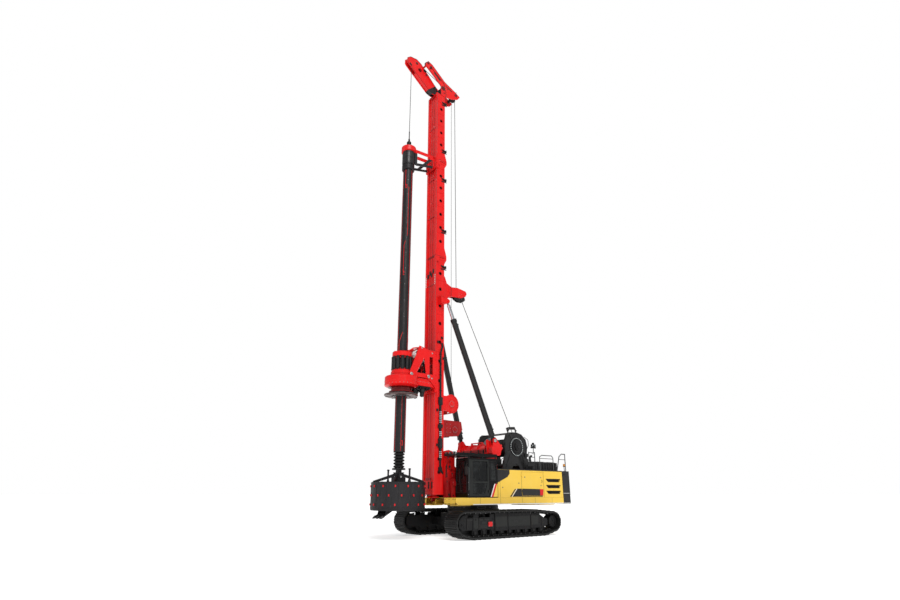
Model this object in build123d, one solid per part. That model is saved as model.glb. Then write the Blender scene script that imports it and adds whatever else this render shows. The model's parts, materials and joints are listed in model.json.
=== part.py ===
from build123d import *
import math
import os

os.makedirs("parts", exist_ok=True)

# Millimetres. X forward, Y to the cab side, Z up, origin on the ground under the slewing axis.

# Tracks and undercarriage
track_outer_y = 2530
shoe_width = 900
shoe_count = 50
shoe_thickness = 105
grouser_height = 48
chain_depth, chain_y, chain_width = 175, 110, 40
track_top_z = 1235
idler_x, idler_z, idler_r = 2590, 675, 560
sprocket_x, sprocket_z, sprocket_r = -3310, 640, 480
carrier_bend_x, carrier_bend_r = -1900, 160
roller_r, roller_z = 100, 280
roller_x = range(-2450, 2100, 540)
carrier_x = (-1900, -350, 1200)
track_mid_y = track_outer_y - shoe_width / 2
frame_half_y, cover_thickness = 230, 25
cover_notches = [(950, 1650), (1950, 2300)]
tow_bore_r = 45

# Upper machine
half_width = 1610
deck_bottom_z, deck_top_z = 1440, 1765
deck_front_x, deck_rear_x = 2400, -5125
beam_width, nose_thickness = 110, 20
notch_x, notch_y = 1900, 720
hood_z, hood_half_y = 3130, 1330
service_x, service_z = (-3600, -1950), (1850, 3010)
service_hinge = (service_x[1] - 20, half_width + 12)
knuckle_r, knuckle_z = 14, (2050, 2800)
vent_z, vent_height = (1940, 2230, 2540), 150
weight_rear_x, weight_top_z = -5800, 3120
lift_bore_r = 40
winch_half_y = 1000

# Cab
cab_x = (-250, 1700)
cab_y = (700, half_width)
cab_z = (1770, 3580)
cab_wall = 45
door_x = (310, 1580)
door_z = (1830, 3500)
door_gap = 6
door_window_x = (400, 1360)
door_hinge = (door_x[0] + 26, half_width + 22)
quarter_x = (-170, 240)

# Mast
mast_back_x, mast_front_x = 2200, 2850
mast_half_width = 400
mast_wall = 20
mast_foot_z, mast_top_z = 1960, 25600
mast_hole_r = 85
rail_depth, rail_width = 60, 70
tilt_pivot = (1750, 2400)
slide_gap = 6

# Stay cylinders: pins on the machine and eyes at the mast, for the cab side
stay_base = (-350, 1300, 4500)
stay_eye = (2140, 600, 11750)
barrel_r, stay_rod_r = 150, 92
barrel_length = 6650
stay_pin_r = 55

# Kelly bar, drive and tool on one vertical axis
kelly_x = 4540
kelly_outer_r, kelly_bore_r = 268, 236
key_r, key_width, key_count = 292, 70, 3
kelly_inner_r = 220
kelly_bottom_z = 3775
kelly_collar_z = (19340, 19700)
kelly_guide_bore_r = 300
spring_r, spring_coils = 250, 5
damper_r, damper_ring_r, damper_count = 80, 450, 12
swivel_top_z = 21390
disc_z = 6430
bucket_r = 1250
cutter_r = 1290
bucket_z = (1315, 2435)
cutter_rows, cutters_per_row = 3, 14
lid_z = (1255, 1310)
lid_barrel_r = 18

# Ropes run in the middle plane; sheaves as X, Z, radius
head_sheave = (kelly_x - 300, 27300, 300)
rear_sheave = (1330, 26190, 260)
bracket_sheave = (820, 12480, 230)
main_drum = (-2220, 4300, 620)
crowd_drum = (1500, 5000, 270)
aux_drum = (1700, 6290, 290)
shaft_play = 0.5


def block(x0, x1, y0, y1, z0, z1):
    """Box between two corners."""
    middle = ((x0 + x1) / 2, (y0 + y1) / 2, (z0 + z1) / 2)
    return Pos(*middle) * Box(abs(x1 - x0), abs(y1 - y0), abs(z1 - z0))


def plate_y(outline, y0, y1):
    """Plate across the machine, with its outline in X and Z."""
    y0, y1 = sorted((y0, y1))
    wire = Polyline(*[(x, y0, z) for x, z in outline], close=True)
    return extrude(make_face(wire), amount=y1 - y0, dir=(0, 1, 0))


def plate_z(outline, z0, z1):
    """Level plate, with its outline in X and Y."""
    wire = Polyline(*[(x, y, z0) for x, y in outline], close=True)
    return extrude(make_face(wire), amount=z1 - z0, dir=(0, 0, 1))


def bar(start, end, radius):
    """Round bar between two points."""
    run = Vector(*end) - Vector(*start)
    place = Plane(origin=start, z_dir=run)
    return place * Cylinder(radius, run.length, align=(Align.CENTER, Align.CENTER, Align.MIN))


def rail(points, radius):
    """Six-sided rail along a line of points, for hand rails."""
    line = None
    for start, end in zip(points, points[1:]):
        run = Vector(*end) - Vector(*start)
        section = Plane(origin=start, z_dir=run) * RegularPolygon(radius, 6)
        piece = extrude(section, amount=run.length + radius / 2)
        line = piece if line is None else line + piece
    return line


def disc_y(x, z, radius, y0, y1):
    """Round piece with its axis across the machine."""
    return bar((x, y0, z), (x, y1, z), radius)


def disc_up(x, y, radius, z0, z1):
    """Round piece with an upright axis."""
    return bar((x, y, z0), (x, y, z1), radius)


def turned(outline, x, y=0):
    """Solid turned about an upright axis at x, y, with its outline in radius and Z."""
    wire = Polyline(*[(x + r, y, z) for r, z in outline], close=True)
    return revolve(make_face(wire), axis=Axis((x, y, 0), (0, 0, 1)))


def other_side(shape):
    """The same piece on the other side of the machine."""
    return mirror(shape, about=Plane.XZ)


def save(node, *shapes):
    """Write one node from the solids of its shapes."""
    solids = [solid for shape in shapes for solid in shape.solids()]
    export_step(Compound(solids), f"parts/{node}.step")


# Tracks: a belt round circles (x, z, radius), taken with the inside of the loop on its left
def belt_points(circles, count):
    """Points at equal steps along the belt."""
    normals = []
    for (x0, z0, r0), (x1, z1, r1) in zip(circles, circles[1:] + circles[:1]):
        span = math.hypot(x1 - x0, z1 - z0)
        normals.append(math.atan2(z1 - z0, x1 - x0) - math.acos((r0 - r1) / span))
    pieces = []
    for i, (x, z, r) in enumerate(circles):
        start = normals[i - 1]
        turn = (normals[i] - start) % (2 * math.pi)
        pieces.append(("arc", r * turn, (x, z, r, start)))
        x1, z1, r1 = circles[(i + 1) % len(circles)]
        nx, nz = math.cos(normals[i]), math.sin(normals[i])
        a = (x + r * nx, z + r * nz)
        b = (x1 + r1 * nx, z1 + r1 * nz)
        pieces.append(("run", math.dist(a, b), (a, b)))
    total = sum(length for _, length, _ in pieces)
    points = []
    for i in range(count):
        s = total * i / count
        for kind, length, data in pieces:
            if s <= length:
                break
            s -= length
        if kind == "arc":
            x, z, r, start = data
            points.append((x + r * math.cos(start + s / r), z + r * math.sin(start + s / r)))
        else:
            (ax, az), (bx, bz) = data
            points.append((ax + (bx - ax) * s / length, az + (bz - az) * s / length))
    return points


def track_loop():
    """One track: a closed band of shoes, each with a grouser, on two rails of chain links."""
    circles = [
        (-2600, 200, 200),
        (2200, 200, 200),
        (idler_x, idler_z, idler_r),
        (carrier_bend_x, track_top_z - carrier_bend_r, carrier_bend_r),
        (sprocket_x, sprocket_z, sprocket_r),
    ]
    tips = belt_points(circles, shoe_count)
    # one shoe: share of its pitch, depth below the tip of the grouser
    shoe = [(0.0, grouser_height), (0.45, grouser_height), (0.47, 0), (0.53, 0), (0.55, grouser_height)]
    outer, inner, chain = [], [], []
    for i, (ax, az) in enumerate(tips):
        bx, bz = tips[(i + 1) % shoe_count]
        cx, cz = tips[i - 1]
        pitch = math.dist((ax, az), (bx, bz))
        tx, tz = (bx - ax) / pitch, (bz - az) / pitch
        for share, depth in shoe:
            s = share * pitch
            outer.append((ax + tx * s - tz * depth, az + tz * s + tx * depth))
        mx, mz = bx - cx, bz - cz
        reach = math.hypot(mx, mz)
        nx, nz = -mz / reach, mx / reach
        inner.append((ax + nx * shoe_thickness, az + nz * shoe_thickness))
        chain.append((ax + nx * chain_depth, az + nz * chain_depth))
    y0, y1 = track_outer_y - shoe_width, track_outer_y
    loop = plate_y(outer, y0, y1) - plate_y(inner, y0 - 1, y1 + 1)
    for y in (track_mid_y - chain_y, track_mid_y + chain_y - chain_width):
        loop += plate_y(inner, y, y + chain_width) - plate_y(chain, y - 1, y + chain_width + 1)
    return loop


def track_frame():
    """Side frame inside a track: beam, notched covers with raised panels, roller hangers, idler fork."""
    y, half = track_mid_y, frame_half_y
    frame = plate_y([(-2950, 500), (-2700, 400), (2000, 400), (2210, 500), (2210, 760), (1900, 850),
                     (-2600, 850), (-2950, 760)], y - half, y + half)
    for face in (y - half, y + half - cover_thickness):
        cover = plate_y([(-2800, 560), (-2620, 400), (2640, 400), (2790, 520), (2790, 830), (2600, 1000),
                         (2250, 1060), (-1700, 1060), (-2350, 1020), (-2640, 860)],
                        face, face + cover_thickness)
        for x0, x1 in cover_notches:
            cover -= block(x0, x1, face - 1, face + cover_thickness + 1, 930, 1061)
        frame += cover
        for x in roller_x:
            frame += plate_y([(x - 120, 410), (x - 75, 240), (x + 75, 240), (x + 120, 410)],
                             face, face + cover_thickness)
    # panels on the outer cover: rear end, front end, low edge, high edge, thickness
    for x0, x1, z0, z1, thickness in ((-140, 660, 330, 1090, 34), (-1700, -180, 340, 1080, 20),
                                      (-2290, -1740, 380, 1010, 28)):
        frame += block(x0, x1, y + half, y + half + thickness, z0, z1)
    for x in carrier_x:
        frame += block(x - 60, x + 60, y - 105, y - 80, 840, 1010)
        frame += block(x - 60, x + 60, y + 80, y + 105, 840, 1010)
    for side in (y - 190, y + 150):
        frame += block(2100, idler_x, side, side + 40, 570, 740)
        frame += disc_y(idler_x, idler_z - 20, 85, side, side + 40)
    frame += block(sprocket_x, -2900, y - 200, y - 145, 480, 800)
    frame += disc_y(sprocket_x, sprocket_z, 200, y - 200, y - 145)
    return frame


def running_gear():
    """Idler, drive wheel with its hub cover, bottom rollers and carrier rollers of one track."""
    y = track_mid_y
    idler = disc_y(idler_x, idler_z, 362, y - 130, y + 130)
    idler -= disc_y(idler_x, idler_z, 250, y - 131, y - 70)
    idler -= disc_y(idler_x, idler_z, 250, y + 70, y + 131)
    idler += disc_y(idler_x, idler_z, 90, y - 148, y + 148)
    wheel = disc_y(sprocket_x, sprocket_z, 284, y - 140, y + 120)
    wheel += disc_y(sprocket_x, sprocket_z, 270, y + 115, y + 250)
    wheel -= disc_y(sprocket_x, sprocket_z, 190, y + 225, y + 251)
    gear = [idler, wheel]
    for x in roller_x:
        gear.append(disc_y(x, roller_z, roller_r, y - 200, y + 200))
    for x in carrier_x:
        gear.append(disc_y(x, 970, 80, y - 75, y + 75))
    return gear


def car_body():
    """Centre frame with cross-beams to the side frames, tow eyes and the plinth of the slewing ring."""
    inner_y = track_mid_y - 230
    body = plate_z([(-1500, -700), (-1000, -1150), (1000, -1150), (1500, -700), (1500, 700),
                    (1000, 1150), (-1000, 1150), (-1500, 700)], 480, 1050)
    for x in (-1150, 450):
        body += block(x, x + 700, -inner_y, inner_y, 480, 840)
    body += disc_up(0, 0, 1290, 1040, 1245)
    for end in (-1, 1):
        eye = block(end * 1480, end * 1680, -40, 40, 600, 800)
        body += eye - disc_y(end * 1600, 700, tow_bore_r, -50, 50)
    return body


# Upper machine
def deck_frame():
    """Deck of two plates on webs and ribs, notched at the front for the mast, with the turning ring."""
    side_y = half_width - beam_width
    front_x = deck_front_x - nose_thickness
    outline = [(deck_rear_x, -side_y), (front_x, -side_y), (front_x, -notch_y), (notch_x, -notch_y),
               (notch_x, notch_y), (front_x, notch_y), (front_x, side_y), (deck_rear_x, side_y)]
    frame = plate_z(outline, deck_bottom_z, deck_bottom_z + 35)
    frame += plate_z(outline, deck_top_z - 30, deck_top_z)
    half = block(deck_rear_x, notch_x, 600, 640, deck_bottom_z + 30, deck_top_z - 25)
    for x in (-4600, -3300, -2000, -700, 600, 1850):
        half += block(x, x + 25, 630, side_y, deck_bottom_z + 30, deck_top_z - 25)
    ring = disc_up(0, 0, 1250, 1405, deck_bottom_z + 5) - disc_up(0, 0, 1050, 1400, deck_bottom_z + 10)
    return frame + half + other_side(half) + ring


def side_beam():
    """Channel along the side of the deck, with a sloped nose that returns across the deck's front."""
    y0, y1 = half_width - beam_width, half_width
    beam = plate_y([(deck_rear_x, deck_bottom_z), (deck_front_x - 160, deck_bottom_z),
                    (deck_front_x, deck_bottom_z + 140), (deck_front_x, deck_top_z - 5),
                    (deck_rear_x, deck_top_z - 5)], y0, y1)
    beam -= block(deck_rear_x - 1, deck_front_x - 200, y0 - 1, y1 - 30, 1480, 1720)
    return beam + block(deck_front_x - nose_thickness + 1, deck_front_x, notch_y, y0 + 5,
                        deck_bottom_z + 60, deck_top_z - 5)


def counterweight():
    """Cast block behind the deck, with a chamfered foot, rounded corners and two guards at the lamps."""
    weight = plate_y([(deck_rear_x - 5, 1420), (weight_rear_x + 120, 1420), (weight_rear_x, 1560),
                      (weight_rear_x, 3040), (weight_rear_x + 40, weight_top_z),
                      (deck_rear_x - 5, weight_top_z)],
                     -half_width, half_width)
    corners = weight.edges().filter_by(Axis.Z).group_by(Axis.X)[0]
    weight = fillet(corners, 120)
    guards = [block(-(kelly_x + cutter_r), weight_rear_x + 10, 1050, 1350, z, z + 30) for z in (1900, 2120)]
    for guard in guards:
        weight += guard + other_side(guard)
    lug = block(-5500, -5300, 670, 730, 3110, 3300) - disc_y(-5400, 3215, lift_bore_r, 660, 740)
    return weight + lug + other_side(lug)


def housing_side():
    """Side wall of the engine housing, with the service opening, three vents and the hinge knuckles."""
    outer_y = half_width - 5
    wall = block(deck_rear_x, -290, outer_y - 45, outer_y, deck_top_z, hood_z - 50)
    wall -= block(*service_x, outer_y - 55, outer_y + 10, *service_z)
    for z in vent_z:
        vent = plate_y([(-4850, z), (-3960, z), (-3790, z + vent_height), (-4950, z + vent_height)],
                       outer_y - 55, outer_y + 10)
        wall -= vent
    x, y = service_hinge
    for z in knuckle_z:
        wall += disc_up(x, y, knuckle_r, z + 3, z + 60)
        wall += block(x, x + 70, y - 8, y, z + 3, z + 60)
        wall += block(x + 28, x + 70, outer_y - 5, y, z + 3, z + 60)
    return wall


def service_door():
    """Panel that fills the opening in the housing, with hinge knuckles at its front edge."""
    x0, x1 = service_x[0] + door_gap, service_x[1] - door_gap
    z0, z1 = service_z[0] + door_gap, service_z[1] - door_gap
    outer_y = half_width - 5
    door = block(x0, x1, outer_y - 45, outer_y, z0, z1)
    door -= block(x0 + 60, x1 - 60, outer_y - 46, outer_y - 25, z0 + 60, z1 - 60)
    x, y = service_hinge
    for z in knuckle_z:
        door += disc_up(x, y, knuckle_r, z - 60, z)
        door += block(x - 70, x, outer_y - 5, y, z - 60, z)
    return door


def housing_top():
    """Roof of the housing with the opening for the stay frame, and the wall behind the cab."""
    side_y = half_width - 5
    top = block(deck_rear_x, -290, -side_y, side_y, hood_z - 50, hood_z)
    top -= block(-1260, -280, -760, 760, hood_z - 60, hood_z + 10)
    wall = block(-335, -290, 780, side_y - 45, deck_top_z, hood_z - 45)
    return top + wall + other_side(wall)


def tank_cabinet():
    """Tank and tool cabinet beside the mast, opposite the cab."""
    tank = plate_y([(-250, 1770), (1750, 1770), (1750, 2500), (1500, 2800), (-250, 2800)],
                   -half_width + 5, -760)
    edges = tank.edges().filter_by(Axis.Y).group_by(Axis.Z)[-1]
    return fillet(edges, 60)


def top_box():
    """Intake hood on the roof of the housing, with a sloped front and upright folds along its sides."""
    hood = plate_y([(-5090, hood_z), (-3080, hood_z), (-3170, 3340), (-3400, 3560), (-5090, 3560)],
                   -hood_half_y, hood_half_y)
    fold = block(-3520, -3420, hood_half_y - 30, hood_half_y + 1, hood_z + 60, 3500)
    for i in range(8):
        cut = Pos(-200 * i, 0, 0) * fold
        hood -= cut + other_side(cut)
    return hood


def cab_shell():
    """Hollow cab with its door opening and windows cut through the walls."""
    x0, x1 = cab_x
    y0, y1 = cab_y
    z0, z1 = cab_z
    profile = [(x0, z0), (x1 - 40, z0), (x1, z0 + 160), (x1 - 50, z1), (x0, z1)]
    inside = [(x0 + cab_wall, z0 + cab_wall), (x1 - 40 - cab_wall, z0 + cab_wall),
              (x1 - cab_wall, z0 + 180), (x1 - 50 - cab_wall, z1 - cab_wall), (x0 + cab_wall, z1 - cab_wall)]
    shell = plate_y(profile, y0, y1) - plate_y(inside, y0 + cab_wall, y1 - cab_wall)
    shell -= block(*door_x, y1 - cab_wall - 1, y1 + 1, *door_z)
    shell -= block(*quarter_x, y1 - cab_wall - 1, y1 + 1, 2560, 3450)
    shell -= block(0, 1500, y0 - 1, y0 + cab_wall + 1, 2350, 3450)
    shell -= block(x1 - 120, x1 + 1, y0 + 70, y1 - 70, 2000, 3480)
    shell -= block(450, 1450, y0 + 130, y1 - 130, z1 - cab_wall - 1, z1 + 1)
    shell -= block(x0 - 1, x0 + cab_wall + 1, y0 + 100, y1 - 100, 2600, 3420)
    return shell


def cab_glass():
    """Fixed panes of the cab, each standing in its own window."""
    x0, x1 = cab_x
    y0, y1 = cab_y
    edge = 1
    panes = [
        block(quarter_x[0] + edge, quarter_x[1] - edge, y1 - 28, y1 - 20, 2560 + edge, 3450 - edge),
        block(0 + edge, 1500 - edge, y0 + 20, y0 + 28, 2350 + edge, 3450 - edge),
        block(450 + edge, 1450 - edge, y0 + 131, y1 - 131, cab_z[1] - 28, cab_z[1] - 20),
        block(x0 + 20, x0 + 28, y0 + 101, y1 - 101, 2600 + edge, 3420 - edge),
    ]
    front_low, front_high = (x1 - 20, 2001), (x1 - 20 - 45, 3479)
    panes.append(plate_y([front_low, (front_low[0] - 8, 2001), (front_high[0] - 8, 3479), front_high],
                         y0 + 71, y1 - 71))
    return panes


def door_windows(edge):
    """Outlines of the door's upper window and of the lower one with its sloped corner."""
    x0, x1 = door_window_x[0] + edge, door_window_x[1] - edge
    upper = [(x0, 2500 + edge), (x1, 2500 + edge), (x1, 3440 - edge), (x0, 3440 - edge)]
    lower = [(x0 + 200, 1910 + edge), (x1, 1910 + edge), (x1, 2430 - edge), (x0, 2430 - edge)]
    return [upper, lower]


def cab_door():
    """Door panel with an upper and a lower window and two hinge barrels at its rear edge."""
    y1 = half_width
    x0, x1 = door_x[0] + door_gap, door_x[1] - door_gap
    door = block(x0, x1, y1 - cab_wall, y1, door_z[0] + door_gap, door_z[1] - door_gap)
    for outline in door_windows(0):
        door -= plate_y(outline, y1 - cab_wall - 1, y1 + 1)
    for z in (2050, 3250):
        door += block(x0, x0 + 60, y1 - 5, y1 + 45, z - 60, z + 60)
        door -= disc_up(door_hinge[0], door_hinge[1], 12, z - 61, z + 61)
    return door


def door_glass():
    """Panes of the door."""
    return [plate_y(outline, half_width - 28, half_width - 20) for outline in door_windows(1)]


def operator_seat():
    """Seat on its pedestal with the two arm consoles."""
    seat = block(150, 720, 930, 1390, 2230, 2370)
    seat += plate_y([(60, 2300), (200, 2300), (150, 3050), (20, 3050)], 930, 1390)
    seat += block(250, 600, 1000, 1320, cab_z[0] + cab_wall, 2240)
    for y in (830, 1395):
        seat += block(200, 800, y, y + 100, 2380, 2480)
        seat += block(300, 420, y + 0, y + 100, 2250, 2400)
    return seat


def cab_console():
    """Pedal floor and the screen on its column."""
    console = block(1300, 1420, 800, 920, cab_z[0] + cab_wall, 2500)
    console += block(1330, 1380, 790, 1080, 2480, 2720)
    return console


def roof_guard():
    """Grid of bars over the cab on six short posts."""
    z0, z1 = 3660, 3720
    bars = block(-270, 2390, cab_y[0], cab_y[0] + 60, z0, z1)
    bars += block(-270, 2390, cab_y[1] - 60, cab_y[1], z0, z1)
    for x in range(-270, 2391, 260):
        bars += block(x, x + 60, cab_y[0], cab_y[1], z0, z1)
    for x in (-200, 700, 1550):
        for y in (cab_y[0], cab_y[1] - 50):
            bars += block(x, x + 50, y, y + 50, cab_z[1], z0 + 1)
    return bars


def stay_frame():
    """Frame behind the cab: legs, a ribbed box beam, a lifting bar and the forks of the stay cylinders."""
    leg = plate_y([(-1200, deck_top_z), (-350, deck_top_z), (-230, 3800), (-240, 4250), (-700, 4250),
                   (-1080, 3900)], 620, 700)
    frame = leg + other_side(leg)
    section = [(-700, 3800), (-560, 3765), (-220, 3765), (-120, 3880), (-120, 4160), (-260, 4290),
               (-660, 4290), (-790, 4140)]
    frame += plate_y(section, -1420, 1420)
    rib = [(-760, 3775), (-200, 3745), (-80, 3860), (-80, 4190), (-260, 4400), (-640, 4400), (-830, 4150)]
    for y in (-900, -300, 300, 900):
        frame += plate_y(rib, y - 15, y + 15)
    hump = plate_y([(-820, 4140), (-120, 3800), (-60, 4000), (-30, 4530), (-150, 4560), (-560, 4320)],
                   1060, 1100)
    frame += hump + other_side(hump)
    frame += bar((-500, -600, 4480), (-500, 300, 4480), 28)
    for y in (-600, 270):
        frame += plate_y([(-620, 4285), (-380, 4285), (-465, 4510), (-535, 4510)], y, y + 30)
    x, y, z = stay_base
    for side in (-1, 1):
        for inner, outer in ((y - 110, y - 75), (y + 75, y + 120)):
            frame += plate_y([(x - 530, 4150), (x - 240, 3830), (x + 90, 3790), (x + 210, 4000),
                              (x + 130, z - 60), (x + 60, z + 120), (x - 60, z + 120)],
                             side * inner, side * outer)
            frame += disc_y(x, z, 140, *sorted((side * inner, side * outer)))
        centre = Vector(x, side * y, z)
        half = Vector(*stay_hinge_axis(side)) * 108
        frame += bar(tuple(centre - half), tuple(centre + half), stay_pin_r)
    return frame


def stay_hinge_axis(side):
    """Axis that a stay cylinder turns about while its eye follows the mast."""
    x, y, z = stay_base
    ex, ey, ez = stay_eye
    reach = Vector(ex - x, side * (ey - y), ez - z)
    # the eye starts square to the line from the tilt pivot, in the X and Z plane
    start = Vector(ez - tilt_pivot[1], 0, -(ex - tilt_pivot[0]))
    return tuple(reach.cross(start).normalized() * -1)


def mast_bracket():
    """Two plates at the front of the deck with the pin that the mast tilts about."""
    px, pz = tilt_pivot
    plate = plate_y([(500, deck_top_z), (1890, deck_top_z), (1985, pz - 40), (1985, pz + 40),
                     (px - 60, pz + 230), (1100, 2200), (500, 1950)], 590, 670)
    plate += disc_y(px, pz, 240, 590, 670)
    pin = disc_y(px, pz, 90, -700, 700)
    brace = block(700, 760, -600, 600, deck_top_z, 1990)
    return plate + other_side(plate) + pin + brace


def winch_frame():
    """Main winch stand: arched side plates, fixed shaft, cross tubes, stepped covers and a rope guide."""
    x, z, r = main_drum
    plate = plate_y([(-3060, hood_z), (-3060, 3420), (-3000, 3880), (-3060, 4350), (-2960, 4720),
                     (-2640, 4980), (-2250, 5070), (-1640, 5030), (-1490, 4930), (-1290, 4430),
                     (-1390, 3890), (-1180, 3400), (-1150, hood_z)], winch_half_y, winch_half_y + 60)
    plate -= disc_y(x + 70, hood_z, 280, winch_half_y - 1, winch_half_y + 61)
    frame = plate + other_side(plate)
    frame += disc_y(x, z, 90, -winch_half_y - 10, winch_half_y + 10)
    for tube_x in (-2900, -1400):
        frame += bar((tube_x, -winch_half_y - 10, 3330), (tube_x, winch_half_y + 10, 3330), 80)
    # motor covers: radius, inner and outer distance from the middle plane
    for radius, inner, outer in ((480, 1055, 1100), (340, 1095, 1150), (220, 1145, 1230)):
        cover = disc_y(x, z, radius, inner, outer)
        frame += cover + other_side(cover)
    guide = [(-1640, 5010), (-1540, 5250), (-1700, 5310), (-2160, 5350), (-2280, 5160), (-2240, 5060),
             (-2180, 5200), (-1760, 5180)]
    return frame + plate_y(guide, winch_half_y + 5, winch_half_y + 55)


def drum(place, half_length, core_share=0.7, flange=40, bore=90):
    """Rope drum with a flange at each end, running on a fixed shaft."""
    x, z, r = place
    body = disc_y(x, z, r * core_share, -half_length, half_length)
    body += disc_y(x, z, r, -half_length, -half_length + flange)
    body += disc_y(x, z, r, half_length - flange, half_length)
    return body - disc_y(x, z, bore + shaft_play, -half_length - 1, half_length + 1)


def sheave(place, width=90, bore=45):
    """Grooved rope wheel on a fixed shaft."""
    x, z, r = place
    profile = Polyline((x + bore + shaft_play, -width / 2, z), (x + r, -width / 2, z),
                       (x + r - 40, -width / 6, z), (x + r - 40, width / 6, z), (x + r, width / 2, z),
                       (x + bore + shaft_play, width / 2, z), close=True)
    return revolve(make_face(profile), axis=Axis((x, 0, z), (0, 1, 0)))


def deck_rails():
    """Handrails on both sides of the housing roof and at the rear corners, and the stand at the winch."""
    rails = []
    for y in (-1500, 1500):
        side = rail([(-3520, y, hood_z), (-3520, y, 3820), (-3690, y, 3905), (-4470, y, 3905),
                     (-4590, y, 3800), (-4590, y, hood_z + 11)], 22)
        rails.append(side + rail([(-3520, y, 3740), (-4590, y, 3740)], 16))
        corner = rail([(-4880, y, hood_z + 8), (-5110, y, 3890), (-5310, y, 4035), (-5600, y, 4035),
                       (-5600, y, weight_top_z + 13)], 26)
        rails.append(corner + rail([(-5060, y, 3740), (-5600, y, 3740)], 16))
    stand = rail([(-3430, 800, 3560), (-3430, 800, 4110)], 24)
    stand += rail([(-3890, 800, 3560), (-3890, 800, 4110)], 24)
    for z in (3600, 3840, 4080):
        stand += rail([(-3430, 800, z), (-3890, 800, z)], 16)
    rails.append(stand)
    return rails


# Mast sections: name, low end, high end, heights of the side holes
mast_sections = [
    ("mast_lower", mast_foot_z, 14400,
     (2930, 3540, 5070, 6360, 7400, 8430, 9450, 10480, 11490, 12450, 13380)),
    ("mast_middle", 14400, 20700, (15350, 16230, 17080, 17970, 18840, 19650)),
    ("mast_top", 20700, mast_top_z, (21860, 22740, 23620, 24500)),
]


def mast_section(z0, z1, holes):
    """Hollow box with side holes, slide rails proud of its front and a wedge collar at each joint."""
    w = mast_half_width
    box_front_x = mast_front_x - rail_depth
    section = block(mast_back_x, box_front_x, -w, w, z0, z1)
    section -= block(mast_back_x + mast_wall, box_front_x - mast_wall, -w + mast_wall, w - mast_wall,
                     z0 - 1, z1 + 1)
    rail_bar = block(box_front_x - 5, mast_front_x, w - rail_width, w + rail_width, z0, z1)
    section += rail_bar + other_side(rail_bar)
    for z in holes:
        section -= disc_y(2480, z, mast_hole_r, -w - 5, w + 5)
    # collars: height of the joint, direction into the section, length of the slope
    collars = [(z0, 1, 640), (z1, -1, 400)]
    for z, up, slope in [row for row in collars if mast_foot_z < row[0] < mast_top_z]:
        section += plate_y([(mast_back_x + 5, z), (2050, z), (2050, z + up * 110),
                            (mast_back_x + 5, z + up * slope)], -w, w)
        section += block(mast_back_x, 2690, -w - 40, w + 40, *sorted((z, z + up * 45)))
    # keep the inside of the box open through the collars
    section -= block(mast_back_x + mast_wall, box_front_x - mast_wall, -w + mast_wall, w - mast_wall,
                     z0 - 1, z1 + 1)
    return section


def stay_lugs():
    """Forks on the sides of the mast that the rods of the stay cylinders push on."""
    x, y, z = stay_eye
    lugs = block(2330, 2620, mast_half_width, y + 110, z - 220, z + 220)
    for inner, outer in ((y - 100, y - 60), (y + 60, y + 100)):
        lugs += plate_y([(2335, z - 200), (2335, z + 200), (x, z + 110), (x, z - 110)], inner, outer)
        lugs += disc_y(x, z, 110, inner, outer)
    lugs += disc_y(x, z, 65, y + 95, y + 125)
    return lugs


def mast_foot():
    """Foot frame behind the mast: two ears round the tilt pin, the slotted end box and a pad below."""
    px, pz = tilt_pivot
    w = mast_half_width
    ear = plate_y([(2090, 1570), (2230, 1600), (2260, 3920), (2000, 3980), (1680, 3900), (1620, 3620),
                   (1620, 3230), (1440, 3060), (1430, 2800), (px - 240, pz), (1790, 2160)], 450, 560)
    ear += disc_y(px, pz, 245, 450, 560)
    ear -= disc_y(px, pz, 90 + shaft_play, 440, 570)
    foot = ear + other_side(ear)
    foot += block(1990, mast_back_x, -455, 455, 2900, 3800)
    foot += disc_y(px, pz, 160, -455, 455) - disc_y(px, pz, 90 + shaft_play, -460, 460)
    foot += block(mast_back_x, mast_front_x + 40, -w - 80, w + 80, mast_foot_z - 60, mast_foot_z)
    end_box = block(mast_front_x, mast_front_x + 60, -w - 80, w + 80, mast_foot_z - 10, 2540)
    for y in (-360, -130, 130, 360):
        end_box -= block(mast_front_x - 1, mast_front_x + 61, y - 45, y + 45, 2160, 2460)
    foot += end_box
    return foot + turned([(0, 1760), (310, 1760), (310, 1790), (150, 1860), (150, mast_foot_z - 50),
                          (0, mast_foot_z - 50)], 2520)


def mast_head():
    """Head: slim rear arms on both sides, the long front arm in the middle, a cap and the sheave shafts."""
    w = mast_half_width
    arm = plate_y([(990, 26200), (1190, 25930), (1650, 25720), (2180, mast_top_z), (2520, mast_top_z),
                   (2540, 26280), (3220, 26830), (3770, 27230), (3740, 27460), (3560, 27700), (3230, 27590),
                   (2220, 26770), (1290, 26390)], w - 20, w + 20)
    nose = plate_y([(2600, mast_top_z), (3000, mast_top_z), (3280, 25690), (4740, 26870), (4940, 27050),
                    (4940, 27370), (4720, 27570), (4250, 27620), (3900, 27450), (2740, 26260),
                    (2600, 26000)], 110, 150)
    nose -= disc_y(4000, 26900, 110, 100, 160)
    head = arm + other_side(arm) + nose + other_side(nose)
    head += block(mast_back_x, mast_front_x - 10, -w + 10, w - 10, mast_top_z, mast_top_z + 60)
    head += block(2440, 2500, -w + 10, w - 10, mast_top_z + 50, 26200)
    head += plate_y([(3020, 25640), (3270, 25740), (4280, 26555), (4255, 26590), (3250, 25775),
                     (3020, 25680)], -115, 115)
    head += plate_y([(2790, 26250), (3540, 27020), (3570, 26990), (2825, 26225)], -115, 115)
    head += disc_y(head_sheave[0], head_sheave[1], 45, -155, 155)
    head += disc_y(rear_sheave[0], rear_sheave[1], 45, -w, w)
    head += disc_y(3560, 27520, 60, -w, w)
    return head


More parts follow.
